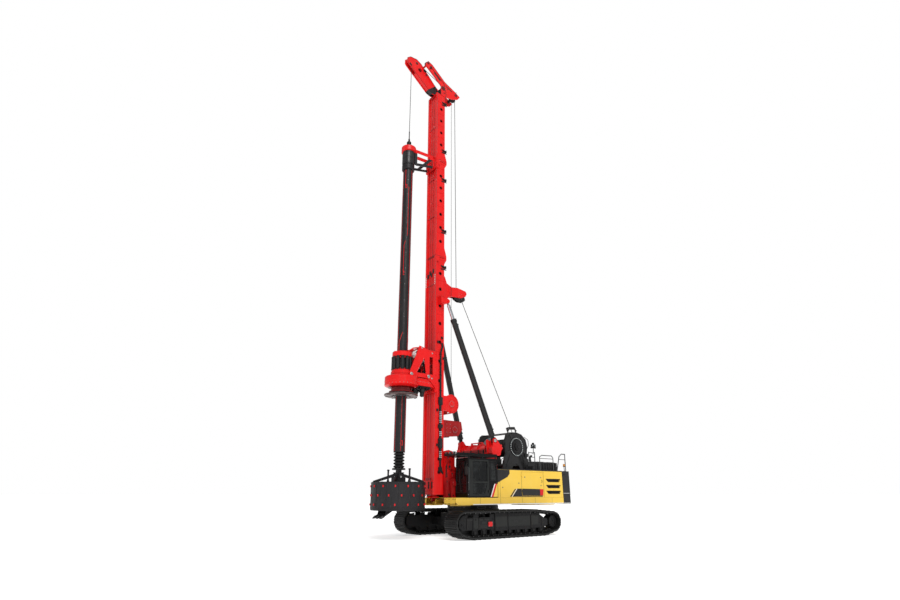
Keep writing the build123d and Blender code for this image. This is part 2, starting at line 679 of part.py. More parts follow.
def rope_bracket():
    """Bracket swept out of the back of the mast, with a box end that turns the main rope to the winch."""
    cheek = plate_y([(2200, 13600), (1930, 13390), (1800, 13050), (1470, 12900), (1020, 12960),
                     (430, 12880), (350, 12740), (440, 12560), (760, 12390), (1470, 12330), (1710, 12240),
                     (1850, 11950), (2200, 11700)], 90, 125)
    bracket = cheek + other_side(cheek)
    bracket += block(2150, 2200, -125, 125, 11750, 13550)
    bracket += plate_y([(1400, 12860), (1400, 12820), (2160, 12940), (2160, 12980)], -95, 95)
    bracket += disc_y(bracket_sheave[0], bracket_sheave[1], 45, -95, 95)
    return bracket


def winch_stand(place, outline):
    """Stand of a winch on the back of the mast: two cheeks, a back plate and the fixed shaft."""
    x, z, r = place
    cheek = plate_y(outline, 370, 400)
    stand = cheek + other_side(cheek)
    stand += block(mast_back_x - 40, mast_back_x, -380, 380, z - 380, z + 380)
    stand += disc_y(x, z, 90, -375, 375)
    return stand


def round_stand(place):
    """The same with round cheeks."""
    x, z, r = place
    cheek = disc_y(x, z, 480, 370, 400) - block(mast_back_x, x + 600, 360, 410, z - 500, z + 500)
    stand = winch_stand(place, [(x, z - 380), (mast_back_x, z - 380), (mast_back_x, z + 380), (x, z + 380)])
    return stand + cheek + other_side(cheek)


# Stay cylinders, each made along its own axis from the base pin
def stay_plane(side):
    """Place of a stay cylinder: origin at its base pin, Z along its length, X along its hinge."""
    x, y, z = stay_base
    ex, ey, ez = stay_eye
    reach = Vector(ex - x, side * (ey - y), ez - z)
    return Plane(origin=(x, side * y, z), x_dir=stay_hinge_axis(side), z_dir=reach), reach.length


def stay_barrel(side):
    """Barrel with its base eye, gland and end collars."""
    place, _ = stay_plane(side)
    upright = (Align.CENTER, Align.CENTER, Align.MIN)
    tube = Pos(0, 0, 260) * Cylinder(barrel_r, barrel_length - 260, align=upright)
    tube += Pos(0, 0, barrel_length - 140) * Cylinder(barrel_r + 22, 140, align=upright)
    tube += Pos(0, 0, 260) * Cylinder(barrel_r + 15, 90, align=upright)
    neck = Pos(0, 0, 145) * Box(100, 180, 250)
    eye = Rot(0, 90, 0) * Cylinder(125, 100)
    tube += neck + eye
    tube -= Rot(0, 90, 0) * Cylinder(stay_pin_r + 1, 120)
    tube -= Pos(0, 0, 700) * Cylinder(stay_rod_r + 1, barrel_length, align=upright)
    return place * tube


def stay_rod(side):
    """Rod with the eye that stands in the fork on the mast."""
    place, length = stay_plane(side)
    upright = (Align.CENTER, Align.CENTER, Align.MIN)
    rod = Pos(0, 0, 2200) * Cylinder(stay_rod_r, length - 2200 - 230, align=upright)
    eye = Pos(0, 0, length) * Rot(0, 90, 0) * Cylinder(92, 60)
    eye -= Pos(0, 0, length) * Rot(0, 90, 0) * Cylinder(45, 70)
    neck = Pos(0, 0, length - 155) * Box(60, 120, 170)
    neck -= Pos(0, 0, length) * Rot(0, 90, 0) * Cylinder(60, 70)
    return place * (rod + neck + eye)


# Slides on the mast
def rail_shoes(z0, z1, reach_x, half):
    """Front plate and the hooks that run behind both rails."""
    front = mast_front_x + slide_gap
    shoes = block(front, reach_x, -half, half, z0, z1)
    rail_back = mast_front_x - rail_depth - slide_gap
    hook = block(rail_back - 45, front + 5, mast_half_width + rail_width + slide_gap, half, z0, z1)
    hook += block(rail_back - 45, rail_back, mast_half_width + 10, half, z0, z1)
    return shoes + hook + other_side(hook)


def drive_carriage():
    """Carriage of the rotary drive: rail shoes and two triangular side arms over the gearbox."""
    carriage = rail_shoes(6750, 8850, 2920, 600)
    carriage -= block(2840, 2930, -330, 330, 7500, 8600)
    arm = plate_y([(2910, 6980), (3250, 7290), (3500, 7380), (4470, 7380), (4470, 7560), (3900, 8990),
                   (3640, 8930), (3250, 8840), (2910, 8840)], 562, 600)
    arm -= plate_y([(3480, 7590), (4060, 7590), (3600, 8420)], 550, 610)
    arm -= plate_y([(3060, 7590), (3280, 7590), (3280, 8500), (3060, 8500)], 550, 610)
    arm += disc_y(3340, 7470, 70, 595, 645)
    arm += disc_y(4380, 7470, 70, 595, 645)
    tie = block(3700, 3800, -565, 565, 8850, 8930)
    return carriage + arm + other_side(arm) + tie


def drive_housing():
    """Gearbox round the kelly bar: flange, neck, tall ring, step, and the box to the carriage."""
    ring = turned([(415, 6600), (600, 6600), (600, 6660), (500, 6680), (500, 6800), (690, 6850),
                   (830, 6930), (830, 7340), (795, 7375), (540, 7375), (540, 7630), (415, 7630)], kelly_x)
    box = block(2920, 4100, -545, 545, 6980, 7355)
    box -= disc_up(kelly_x, 0, 500, 6900, 7400)
    return ring + box


def drive_barrel():
    """Spring barrel on the gearbox: two flanges on a tube."""
    return turned([(325, 7630), (500, 7630), (500, 7700), (350, 7700), (350, 8380), (480, 8380),
                   (500, 8400), (500, 8600), (470, 8630), (325, 8630)], kelly_x)


def drive_motors():
    """Dampers of the spring barrel, two motors on the gearbox and two below it."""
    motors = []
    for i in range(damper_count):
        angle = 2 * math.pi / damper_count * i
        motors.append(disc_up(kelly_x + damper_ring_r * math.cos(angle), damper_ring_r * math.sin(angle),
                              damper_r, 7701, 8379))
    for y in (-300, 300):
        motors.append(disc_up(3300, y, 150, 7356, 7700) + disc_up(3300, y, 110, 7690, 8000))
        motors.append(disc_up(3500, y, 150, 6700, 6979) + disc_up(3500, y, 110, 6500, 6710))
    return motors


def key_bars(radius, inner_r, width, z0, z1):
    """Radial bars round the kelly axis, for the keys or for their slots."""
    bars = []
    for i in range(key_count):
        key = block(inner_r, radius, -width / 2, width / 2, z0, z1)
        bars.append(Pos(kelly_x, 0, 0) * Rot(0, 0, 360 / key_count * i + 180) * key)
    return bars


def drive_sleeve():
    """Driven sleeve with slots for the keys, and the wide disc under the gearbox."""
    sleeve = turned([(kelly_outer_r + 10, disc_z), (790, disc_z), (830, disc_z + 30), (830, disc_z + 70),
                     (400, disc_z + 155), (400, 7600), (kelly_outer_r + 10, 7600)], kelly_x)
    for slot in key_bars(key_r + 12, kelly_outer_r - 10, key_width + 20, disc_z - 1, 7610):
        sleeve -= slot
    return sleeve


def kelly_guide():
    """Guide at the kelly's head: rail shoes, two braced side plates and the bearing ring."""
    guide = rail_shoes(20050, 20900, 2920, 520)
    side = plate_y([(2910, 20900), (4300, 20800), (4300, 19760), (4150, 19740), (2910, 20060)], 250, 285)
    side -= plate_y([(3000, 20620), (3000, 20180), (3500, 20050)], 240, 295)
    side -= plate_y([(3160, 20680), (4130, 20620), (4130, 19900), (3720, 20010)], 240, 295)
    guide += side + other_side(side)
    bore = disc_up(kelly_x, 0, kelly_guide_bore_r, 19700, 20910)
    guide += turned([(kelly_guide_bore_r, 19715), (345, 19715), (345, 20560), (420, 20580),
                     (420, 20870), (390, 20900), (kelly_guide_bore_r, 20900)], kelly_x)
    return guide - bore


def kelly_outer():
    """Outer kelly tube with its keys and the collar under the guide."""
    low, high = kelly_collar_z
    tube = turned([(kelly_bore_r, kelly_bottom_z), (kelly_outer_r, kelly_bottom_z), (kelly_outer_r, low),
                   (330, low), (350, low + 40), (350, high - 40), (330, high), (kelly_outer_r, high),
                   (kelly_outer_r, 20550), (kelly_bore_r, 20550)], kelly_x)
    for key in key_bars(key_r, kelly_outer_r - 12, key_width, kelly_bottom_z + 20, low + 5):
        tube += key
    return tube


def kelly_inner():
    """Inner kelly bar, stepped down inside the spring, with its foot plate and the square stub."""
    inner = turned([(110, 3060), (150, 3060), (150, 3767), (kelly_inner_r, 3773), (kelly_inner_r, 20880),
                    (150, 20880), (150, 3900), (110, 3860)], kelly_x)
    inner += disc_up(kelly_x, 0, 300, 2990, 3062)
    inner += block(kelly_x - 100, kelly_x + 100, -100, 100, 2520, 3000)
    return inner


def kelly_spring():
    """Spring under the outer tube, as five thick coils standing on the foot plate."""
    low, high = 3065, kelly_bottom_z - 10
    pitch = (high - low) / spring_coils
    outline = [(152, low)]
    for i in range(spring_coils):
        z = low + pitch * i
        outline += [(175, z), (spring_r, z + pitch * 0.3), (spring_r, z + pitch * 0.7)]
    outline += [(175, high), (152, high)]
    return turned(outline, kelly_x)


def kelly_swivel():
    """Rope swivel on top of the inner bar."""
    return turned([(0, 20885), (150, 20885), (150, 20970), (125, 20990), (125, 21320), (60, swivel_top_z),
                   (0, swivel_top_z)], kelly_x)


def bucket_body():
    """Drilling bucket shell with its top plate, and rows of side cutters."""
    low, high = bucket_z
    shell = turned([(bucket_r - 30, low), (bucket_r, low), (bucket_r, high), (300, high), (300, high - 30),
                    (bucket_r - 30, high - 30)], kelly_x)
    row_step = (high - low - 340) / (cutter_rows - 1)
    for row in range(cutter_rows):
        z = low + 170 + row * row_step
        cutter = block(bucket_r - 15, cutter_r, -28, 28, z - 45, z + 45)
        for i in range(cutters_per_row):
            angle = 360 / cutters_per_row * (i + 0.5 * (row % 2))
            shell += Pos(kelly_x, 0, 0) * Rot(0, 0, angle) * cutter
    return shell


def bucket_frame():
    """Kelly box, four sloped bars to the rim and two upright release rods with caps."""
    high = bucket_z[1]
    frame = block(kelly_x - 170, kelly_x + 170, -170, 170, high, 2880)
    frame -= block(kelly_x - 101, kelly_x + 101, -101, 101, high - 1, 2890)
    bar_outline = [(165, high), (1200, high), (1200, high + 70), (165, 2840)]
    window = [(330, high + 30), (960, high + 30), (330, 2650)]
    for i in range(4):
        arm = plate_y(bar_outline, -45, 45) - plate_y(window, -46, 46)
        frame += Pos(kelly_x, 0, 0) * Rot(0, 0, 45 + 90 * i) * arm
    for y in (-910, 910):
        frame += disc_up(kelly_x, y, 42, high, 3035)
        frame += disc_up(kelly_x, y, 62, 2980, 3020)
    return frame


def bucket_bottom():
    """Hinged bottom with its hinge barrels and a wedge blade with three teeth on the outer half."""
    low, high = lid_z
    lid = disc_up(kelly_x, 0, bucket_r - 5, low, high)
    for y in (-300, 120):
        lid += disc_y(kelly_x - bucket_r + 5, high - 20, lid_barrel_r, y, y + 180)
    lid += plate_y([(4960, low + 5), (5060, low + 5), (5520, low - 250), (5600, low - 330),
                    (5470, low - 290), (5180, low - 130)], -360, 360)
    for y in (-310, 0, 310):
        lid += plate_y([(5400, low - 215), (5520, low - 235), (5650, low - 350), (5590, low - 365),
                        (5440, low - 290)], y - 50, y + 50)
    for y in (-340, 310):
        lid += plate_y([(4960, low + 5), (5350, low + 5), (5400, low - 200)], y, y + 30)
    return lid


track = track_loop()
save("track_left", track)
save("track_right", other_side(track))
frame_left = track_frame()
save("track_frames", frame_left, other_side(frame_left))
gear_left = running_gear()
save("running_gear", *gear_left, *[other_side(piece) for piece in gear_left])
save("car_body", car_body())
save("slew_ring", disc_up(0, 0, 1290, 1246, 1395) - disc_up(0, 0, 1050, 1240, 1400))

save("deck_frame", deck_frame())
beam = side_beam()
save("side_beams", beam, other_side(beam))
save("counterweight", counterweight())
save("engine_block", block(-4750, -3050, -520, 520, deck_top_z, 2750))
wall = housing_side()
save("housing_left", wall)
save("housing_right", other_side(wall))
save("housing_top", housing_top())
panel = service_door()
save("service_door_left", panel)
save("service_door_right", other_side(panel))
save("tank_cabinet", tank_cabinet())
save("top_box", top_box())
save("deck_rails", *deck_rails())
save("cab_shell", cab_shell())
save("cab_glass", *cab_glass())
save("cab_door", cab_door())
save("door_glass", *door_glass())
save("operator_seat", operator_seat())
save("cab_console", cab_console())
save("roof_guard", roof_guard())
save("stay_frame", stay_frame())
save("mast_bracket", mast_bracket())
save("winch_frame", winch_frame())
save("main_drum", drum(main_drum, 970))

for name, low, high, holes in mast_sections:
    save(name, mast_section(low, high, holes))
save("mast_foot", mast_foot())
save("mast_head", mast_head())
lugs = stay_lugs()
save("stay_lugs", lugs, other_side(lugs))
save("rope_bracket", rope_bracket())
save("crowd_winch_stand", winch_stand(crowd_drum, [(980, 5030), (1060, 5430), (mast_back_x, 5450),
                                                   (mast_back_x, 4610), (1270, 4690)]))
save("aux_winch_stand", round_stand(aux_drum))
save("crowd_drum", drum(crowd_drum, 340))
save("aux_drum", drum(aux_drum, 340))
save("head_sheave", sheave(head_sheave))
save("rear_sheave", sheave(rear_sheave))
save("bracket_sheave", sheave(bracket_sheave))

for name, side in (("left", 1), ("right", -1)):
    save(f"stay_barrel_{name}", stay_barrel(side))
    save(f"stay_rod_{name}", stay_rod(side))

save("drive_carriage", drive_carriage())
save("drive_housing", drive_housing())
save("drive_barrel", drive_barrel())
save("drive_motors", *drive_motors())
save("drive_sleeve", drive_sleeve())
save("kelly_guide", kelly_guide())
save("kelly_outer", kelly_outer())
save("kelly_inner", kelly_inner())
save("kelly_spring", kelly_spring())
save("kelly_swivel", kelly_swivel())
save("bucket_body", bucket_body())
save("bucket_frame", bucket_frame())
save("bucket_bottom", bucket_bottom())
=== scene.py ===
import bpy
import bmesh
import json
import math
from mathutils import Matrix, Vector

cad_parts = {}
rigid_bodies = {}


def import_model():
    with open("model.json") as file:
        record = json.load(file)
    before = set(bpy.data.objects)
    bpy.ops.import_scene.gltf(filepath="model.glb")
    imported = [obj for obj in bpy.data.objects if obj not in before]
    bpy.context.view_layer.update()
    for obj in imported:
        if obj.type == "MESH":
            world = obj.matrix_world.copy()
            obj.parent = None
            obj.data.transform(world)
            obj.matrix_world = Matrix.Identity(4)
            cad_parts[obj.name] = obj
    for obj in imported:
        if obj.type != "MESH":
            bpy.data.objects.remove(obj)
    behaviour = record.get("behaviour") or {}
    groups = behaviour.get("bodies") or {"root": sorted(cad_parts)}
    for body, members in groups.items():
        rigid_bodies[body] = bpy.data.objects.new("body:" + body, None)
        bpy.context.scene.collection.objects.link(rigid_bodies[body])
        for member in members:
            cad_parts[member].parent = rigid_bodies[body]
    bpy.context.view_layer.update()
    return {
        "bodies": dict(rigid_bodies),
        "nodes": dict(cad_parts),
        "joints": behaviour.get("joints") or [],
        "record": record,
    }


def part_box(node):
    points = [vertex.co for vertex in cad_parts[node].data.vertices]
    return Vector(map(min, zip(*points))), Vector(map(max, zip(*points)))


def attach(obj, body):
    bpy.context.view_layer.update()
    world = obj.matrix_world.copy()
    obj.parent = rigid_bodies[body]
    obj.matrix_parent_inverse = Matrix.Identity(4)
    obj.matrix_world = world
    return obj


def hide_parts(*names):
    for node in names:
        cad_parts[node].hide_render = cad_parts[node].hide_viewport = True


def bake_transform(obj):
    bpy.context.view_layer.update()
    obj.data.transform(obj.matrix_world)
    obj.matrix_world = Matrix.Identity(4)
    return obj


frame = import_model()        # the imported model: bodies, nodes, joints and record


class Wire:
    # One socket in a material, so that shader maths reads as plain Python.
    def __init__(self, paint, socket):
        self.paint = paint
        self.socket = socket

    def maths(self, operation, *values):
        return self.paint.node("ShaderNodeMath", {"operation": operation}, dict(enumerate(values)))

    def __add__(self, other):
        return self.maths("ADD", self, other)

    def __radd__(self, other):
        return self.maths("ADD", other, self)

    def __sub__(self, other):
        return self.maths("SUBTRACT", self, other)

    def __rsub__(self, other):
        return self.maths("SUBTRACT", other, self)

    def __mul__(self, other):
        return self.maths("MULTIPLY", self, other)

    def __rmul__(self, other):
        return self.maths("MULTIPLY", other, self)

    def __gt__(self, other):
        return self.maths("GREATER_THAN", self, other)

    def __lt__(self, other):
        return self.maths("LESS_THAN", self, other)


class Paint:
    # One material: a Principled shader, its constants, and what varies over the surface.
    def __init__(self, name, constants):
        self.material = bpy.data.materials.new(name)
        self.material.use_nodes = True
        self.tree = self.material.node_tree
        self.tree.nodes.clear()
        self.shader = self.tree.nodes.new("ShaderNodeBsdfPrincipled")
        sheet = self.tree.nodes.new("ShaderNodeOutputMaterial")
        self.tree.links.new(self.shader.outputs[0], sheet.inputs[0])
        for socket, value in constants.items():
            self.shader.inputs[socket].default_value = value
        self.place = self.node("ShaderNodeTexCoord", output="Object")

    def node(self, kind, settings=None, inputs=None, output=0):
        made = self.tree.nodes.new(kind)
        for name, value in (settings or {}).items():
            if name == "stops":
                ramp = made.color_ramp
                while len(ramp.elements) < len(value):
                    ramp.elements.new(0.5)
                for stop, (at, colour) in zip(ramp.elements, value):
                    stop.position = at
                    stop.color = colour
            else:
                setattr(made, name, value)
        for name, value in (inputs or {}).items():
            self.feed(made.inputs[name], value)
        return Wire(self, made.outputs[output])

    def feed(self, socket, value):
        if isinstance(value, Wire):
            self.tree.links.new(value.socket, socket)
        else:
            socket.default_value = value

    def drive(self, **values):
        names = {"colour": "Base Color", "roughness": "Roughness", "metallic": "Metallic",
                 "coat": "Coat Weight", "alpha": "Alpha", "normal": "Normal"}
        for name, value in values.items():
            self.feed(self.shader.inputs[names[name]], value)
        return self.material

    def axes(self):
        # the three coordinates of the place
        first = self.node("ShaderNodeSeparateXYZ", {}, {0: self.place})
        return [Wire(self, socket) for socket in first.socket.node.outputs]

    def stretched(self, scale):
        return self.node("ShaderNodeMapping", {}, {"Vector": self.place, "Scale": scale})

    def noise(self, scale, detail=3.0, stretch=None, roughness=0.55):
        vector = self.stretched(stretch) if stretch else self.place
        return self.node("ShaderNodeTexNoise", {}, {"Vector": vector, "Scale": scale, "Detail": detail,
                                                   "Roughness": roughness})

    def cells(self, scale, stretch=None, feature="F1"):
        vector = self.stretched(stretch) if stretch else self.place
        return self.node("ShaderNodeTexVoronoi", {"feature": feature}, {"Vector": vector, "Scale": scale})

    def band(self, value, low, high):
        # 0 below low, 1 above high, smooth between
        return self.node("ShaderNodeMapRange", {"interpolation_type": "SMOOTHSTEP"},
                         {"Value": value, "From Min": low, "From Max": high})

    def mix(self, factor, first, second):
        return self.node("ShaderNodeMix", {"data_type": "RGBA"}, {0: factor, 6: first, 7: second}, output=2)

    def bump(self, height, distance, strength=1.0):
        return self.node("ShaderNodeBump", {}, {"Height": height, "Distance": distance,
                                                "Strength": strength})


def tone(red, green, blue):
    # sRGB 0..255 to the linear colour that the shader takes
    def linear(v):
        v = v / 255
        return v / 12.92 if v <= 0.04045 else ((v + 0.055) / 1.055) ** 2.4
    return (linear(red), linear(green), linear(blue), 1.0)


def enamel(name, base, deep, dust=(150, 140, 128), gloss=0.28, coat=0.2, dustiness=0.10, over=None,
           shine=0.32):
    # Sprayed machine enamel: slow tone change, rain streaks, fine dust, a few rubbed spots, orange peel.
    # over is a mask and the tone that shows where it is 1.
    paint = Paint(name, {"Coat Roughness": 0.1, "Coat IOR": 1.45, "IOR": 1.45, "Specular IOR Level": shine})
    slow = paint.noise(0.9, 3.0)
    streaks = paint.band(paint.noise(7.0, 5.0, stretch=(1, 1, 0.1)), 0.52, 0.78)
    specks = paint.band(paint.noise(60.0, 6.0, roughness=0.7), 0.62, 0.78)
    rubbed = paint.band(paint.noise(14.0, 8.0, roughness=0.75), 0.74, 0.80)
    peel = paint.noise(380.0, 2.0)
    colour = paint.mix(paint.band(slow, 0.3, 0.7) * 0.45, tone(*base), tone(*deep))
    if over:
        colour = paint.mix(over[0](paint), colour, tone(*over[1]))
    colour = paint.mix(streaks * dustiness + specks * (dustiness * 0.6), colour, tone(*dust))
    colour = paint.mix(rubbed * 0.35, colour, tone(*[c * 0.45 for c in deep]))
    return paint.drive(colour=colour, roughness=gloss + streaks * 0.12 + slow * 0.1 + rubbed * 0.2,
                       coat=coat - streaks * (coat * 0.5), normal=paint.bump(peel + slow * 2.0, 0.0006, 0.35))


def roughSteel(name, base, worn, mud, metallic=0.6, roughness=0.5, scale=1.0, mudAmount=0.35, over=None):
    # Bare or thinly painted working steel: rolled skin, rub marks, rust freckles and dried soil in patches.
    paint = Paint(name, {"IOR": 1.5, "Specular IOR Level": 0.35})
    slow = paint.noise(1.7 * scale, 5.0)
    fine = paint.noise(55.0 * scale, 7.0, roughness=0.7)
    rub = paint.band(paint.noise(18.0 * scale, 6.0, stretch=(1, 1, 0.2), roughness=0.7), 0.55, 0.7)
    soil = paint.band(slow + fine * 0.25, 0.66, 0.84)
    pits = paint.cells(140.0 * scale)
    colour = paint.mix(rub, tone(*base), tone(*worn))
    colour = paint.mix(paint.band(fine, 0.58, 0.75) * 0.4, colour, tone(*[c * 0.5 for c in base]))
    if over:
        colour = paint.mix(over[0](paint), colour, tone(*over[1]))
    colour = paint.mix(soil * mudAmount, colour, tone(*mud))
    return paint.drive(colour=colour, roughness=roughness + soil * 0.25 - rub * 0.15,
                       metallic=metallic - soil * (metallic * mudAmount * 1.5),
                       normal=paint.bump(fine + pits * 0.4 + soil * 1.5, 0.003, 0.5))


def polished(name, base, roughness=0.12):
    # Hard chrome or ground steel with fine rings of oil and faint scratches.
    paint = Paint(name, {"Metallic": 1.0})
    oil = paint.noise(5.0, 4.0)
    scratch = paint.noise(160.0, 3.0, stretch=(1, 1, 0.03))
    colour = paint.mix(paint.band(oil, 0.4, 0.7) * 0.35, tone(*base), tone(*[c * 0.72 for c in base]))
    return paint.drive(colour=colour, roughness=roughness + scratch * 0.1 + oil * 0.08,
                       normal=paint.bump(scratch, 0.0004, 0.3))


def moulded(name, base, roughness=0.55, grainScale=260.0):
    # Moulded plastic or rubber with a leather-like grain and a little dust.
    paint = Paint(name, {"IOR": 1.46})
    grain = paint.cells(grainScale)
    slow = paint.noise(3.0, 4.0)
    dust = paint.band(paint.noise(40.0, 6.0), 0.55, 0.8)
    colour = paint.mix(slow * 0.5, tone(*base), tone(*[c * 0.7 for c in base]))
    colour = paint.mix(dust * 0.12, colour, tone(120, 116, 108))
    return paint.drive(colour=colour, roughness=roughness + dust * 0.15,
                       normal=paint.bump(grain, 0.0012, 0.5))


def glazing(name, base, alpha=0.35):
    # Tinted pane: see-through, with a faint film of dust toward its edges.
    paint = Paint(name, {"Roughness": 0.03, "IOR": 1.5, "Coat Weight": 0.15, "Coat Roughness": 0.02,
                         "Specular IOR Level": 0.3})
    film = paint.band(paint.noise(2.2, 5.0), 0.45, 0.75)
    smear = paint.band(paint.noise(30.0, 4.0, stretch=(1, 1, 0.2)), 0.6, 0.8)
    colour = paint.mix(film * 0.2, tone(*base), tone(96, 100, 100))
    return paint.drive(colour=colour, alpha=alpha + film * 0.08 + smear * 0.05)


def cloth(name, base, thread):
    # Woven seat cloth: two crossing waves of thread over a soft nap.
    paint = Paint(name, {"Roughness": 0.9, "Sheen Weight": 0.35})
    warp = paint.node("ShaderNodeTexWave", {"bands_direction": "X"}, {"Vector": paint.place, "Scale": 90.0})
    weft = paint.node("ShaderNodeTexWave", {"bands_direction": "Z"}, {"Vector": paint.place, "Scale": 90.0})
    weave = warp * weft
    nap = paint.noise(200.0, 3.0)
    colour = paint.mix(weave * 0.6 + nap * 0.2, tone(*base), tone(*thread))
    return paint.drive(colour=colour, normal=paint.bump(weave + nap * 0.5, 0.0015, 0.6))


def lamp(name, base, ribs=120.0):
    # Coloured lens with fluted ribs behind a clear skin.
    paint = Paint(name, {"Roughness": 0.08, "Coat Weight": 1.0, "Coat Roughness": 0.03})
    flute = paint.node("ShaderNodeTexWave", {"bands_direction": "Z"}, {"Vector": paint.place, "Scale": ribs})
    cloud = paint.noise(12.0, 2.0)
    colour = paint.mix(flute * 0.4 + cloud * 0.2, tone(*base), tone(*[min(255, c * 1.3 + 20) for c in base]))
    return paint.drive(colour=colour, normal=paint.bump(flute, 0.002, 0.5))


def atCutters(paint):
    # 1 on the side cutters, which stand out of the bucket's shell
    x, y, _ = paint.axes()
    reach = (x - kellyX) * (x - kellyX) + y * y
    return paint.band(reach, 1.256 ** 2, 1.262 ** 2)


def onBandKnuckle(paint):
    # 1 on the door hinge knuckles that stand out through the black side band
    x, y, z = paint.axes()
    return (y * y > 1.608 ** 2) * (z < 2.2) * (x > -2.1) * (x < -1.8)


def atDeckFront(paint):
    # 1 on the deck frame's front end, above its lower edge
    x, _, z = paint.axes()
    return (x > 1.3) * (z > 1.45)


def shadeLowOnFoot(paint):
    # 1 low on the mast foot's ears, fading upwards; there the red is painted darker, as painted shade
    x, _, z = paint.axes()
    return paint.band(z + x * 0.5, 4.1, 3.4) * (x < 2.27)


def shadeAtHeadRoot(paint):
    # 1 on the head's lower middle, over the mast's top and cut off square to the nose; the near-black there
    # is painted shade between the arms and the mast
    x, y, z = paint.axes()
    return (x + z < 29.1) * (z > 25.61) * (y * y < 0.1)


def underGuideRing(paint):
    # 1 on the guide's dark bearing tube and lower struts
    x, _, z = paint.axes()
    return (x > 3.0) * (z < 20.56)


def shadeUnderDriveStep(paint):
    # 1 on the neck and flange under the gearbox, which are painted darker red as painted shade under it
    z = paint.axes()[2]
    return z < 6.845


kellyX = 4.54                # the kelly bar's upright axis, metres
signalRed = ((224, 20, 20), (200, 12, 14))           # the two tones that an enamel moves between
machineYellow = ((238, 198, 78), (228, 184, 60))
machineBlack = ((33, 33, 34), (22, 22, 23))
red = enamel("red enamel", *signalRed)
# a darker copy of the red enamel: painted shade, for red parts that sit low, in recesses, or between or under
# other parts
shadedRed = enamel("shaded red enamel", (158, 14, 16), (122, 10, 12), gloss=0.34)
guidePaint = enamel("guide paint", *signalRed, over=(underGuideRing, (34, 33, 34)))
# darker red under the gearbox: painted shade
drivePaintAndShade = enamel("gearbox paint and painted shade", *signalRed, over=(shadeUnderDriveStep, (112, 10, 12)))
yellow = enamel("yellow enamel", *machineYellow, dust=(196, 184, 150))
housingYellow = enamel("housing yellow", *machineYellow, dust=(196, 184, 150),
                       over=(onBandKnuckle, (33, 33, 34)))
deckPaint = enamel("deck paint", *machineBlack, gloss=0.38, coat=0.12, dustiness=0.06,
                   over=(atDeckFront, (226, 186, 70)))
# the foot's ears turn dark red low down: painted shade
footPaintAndShade = enamel("mast foot paint and painted shade", *signalRed, over=(shadeLowOnFoot, (132, 10, 14)))
# near-black at the head's root: painted shade
headPaintAndShade = enamel("mast head paint and painted shade", *signalRed, over=(shadeAtHeadRoot, (34, 24, 26)))
# a still darker red for the head's edge ribs and pin caps: painted shade along those edges
shadedEdgeRed = enamel("shaded dark red edge", (92, 8, 11), (70, 6, 8), gloss=0.4)
black = enamel("black enamel", *machineBlack, gloss=0.38, coat=0.12, dustiness=0.06)
cabBlack = enamel("cab black", (15, 15, 16), (11, 11, 12), gloss=0.32, coat=0.06, dustiness=0.012, shine=0.14)
doorBlack = enamel("cab door black", (37, 39, 38), (31, 33, 32), gloss=0.34, coat=0.06, dustiness=0.012,
                   shine=0.2)
panelBlack = enamel("panel black", (35, 36, 35), (29, 30, 29), gloss=0.42, coat=0.06, dustiness=0.03,
                    shine=0.2)
# white film for stripes and marks, and for the painted highlight along the deck's lower edge
white = enamel("white film and painted highlight", (236, 236, 232), (214, 214, 210), coat=0.1)
stripeRed = enamel("red film", (214, 24, 28), (190, 18, 22), coat=0.1)
grey = enamel("grey enamel", (120, 122, 124), (98, 100, 102), gloss=0.4, coat=0.1)
paleGrey = enamel("pale grey line", (196, 202, 202), (170, 176, 176), gloss=0.3, coat=0.1)
railGrey = enamel("rail grey", (84, 86, 86), (64, 66, 66), gloss=0.45, coat=0.05)
trackSteel = roughSteel("track steel", (31, 31, 31), (54, 53, 52), (62, 58, 52), metallic=0.3, mudAmount=0.12)
gearSteel = roughSteel("running gear steel", (24, 24, 24), (40, 39, 38), (48, 45, 42), metallic=0.3,
                       mudAmount=0.12)
frameBlack = enamel("track frame black", (25, 25, 26), (17, 17, 18), gloss=0.45, coat=0.05, dustiness=0.05,
                    shine=0.2)
kellySteel = roughSteel("kelly steel", (44, 43, 44), (66, 65, 64), (58, 54, 50), roughness=0.45,
                        mudAmount=0.1)
bucketSteel = roughSteel("bucket steel", (36, 35, 37), (54, 53, 54), (60, 56, 52), metallic=0.3,
                         mudAmount=0.12)
cutterSteel = roughSteel("bucket and cutter steel", (36, 35, 37), (54, 53, 54), (60, 56, 52), metallic=0.3,
                         mudAmount=0.12, over=(atCutters, (206, 24, 30)))
bareSteel = roughSteel("bare steel", (96, 96, 97), (150, 150, 149), (92, 84, 74), roughness=0.36,
                       mudAmount=0.12)
discSteel = roughSteel("disc steel", (96, 78, 76), (138, 122, 118), (92, 80, 72), roughness=0.4,
                       mudAmount=0.1)
boltSteel = roughSteel("bolt steel", (150, 150, 150), (196, 196, 194), (110, 104, 96), metallic=0.5,
                       roughness=0.4, mudAmount=0.1)
ropeSteel = roughSteel("rope steel", (44, 43, 42), (76, 74, 72), (40, 37, 34), scale=3.0, roughness=0.6)
chrome = polished("rod chrome", (206, 208, 212))
pinSteel = polished("pin steel", (188, 188, 186), 0.28)
glass = glazing("window glass", (15, 17, 18), 0.84)
seatCloth = cloth("seat cloth", (34, 35, 38), (78, 80, 86))
plastic = moulded("inner plastic", (52, 53, 55))
# black rubber for hoses, seals and pads; the same material also lies as dark sheets in holes, slits, slots
# and vents, as painted shade
rubberAndShade = moulded("black rubber", (24, 24, 24), 0.7, 180.0)
hoseWrap = moulded("white hose wrap", (244, 244, 240), 0.6, 200.0)
amber = lamp("amber lens", (255, 140, 20))
redLens = lamp("red lens", (190, 12, 16))
clearLens = lamp("clear lens", (150, 156, 158))
darkLens = lamp("dark lens", (60, 63, 65))
print("materials made", len(bpy.data.materials))


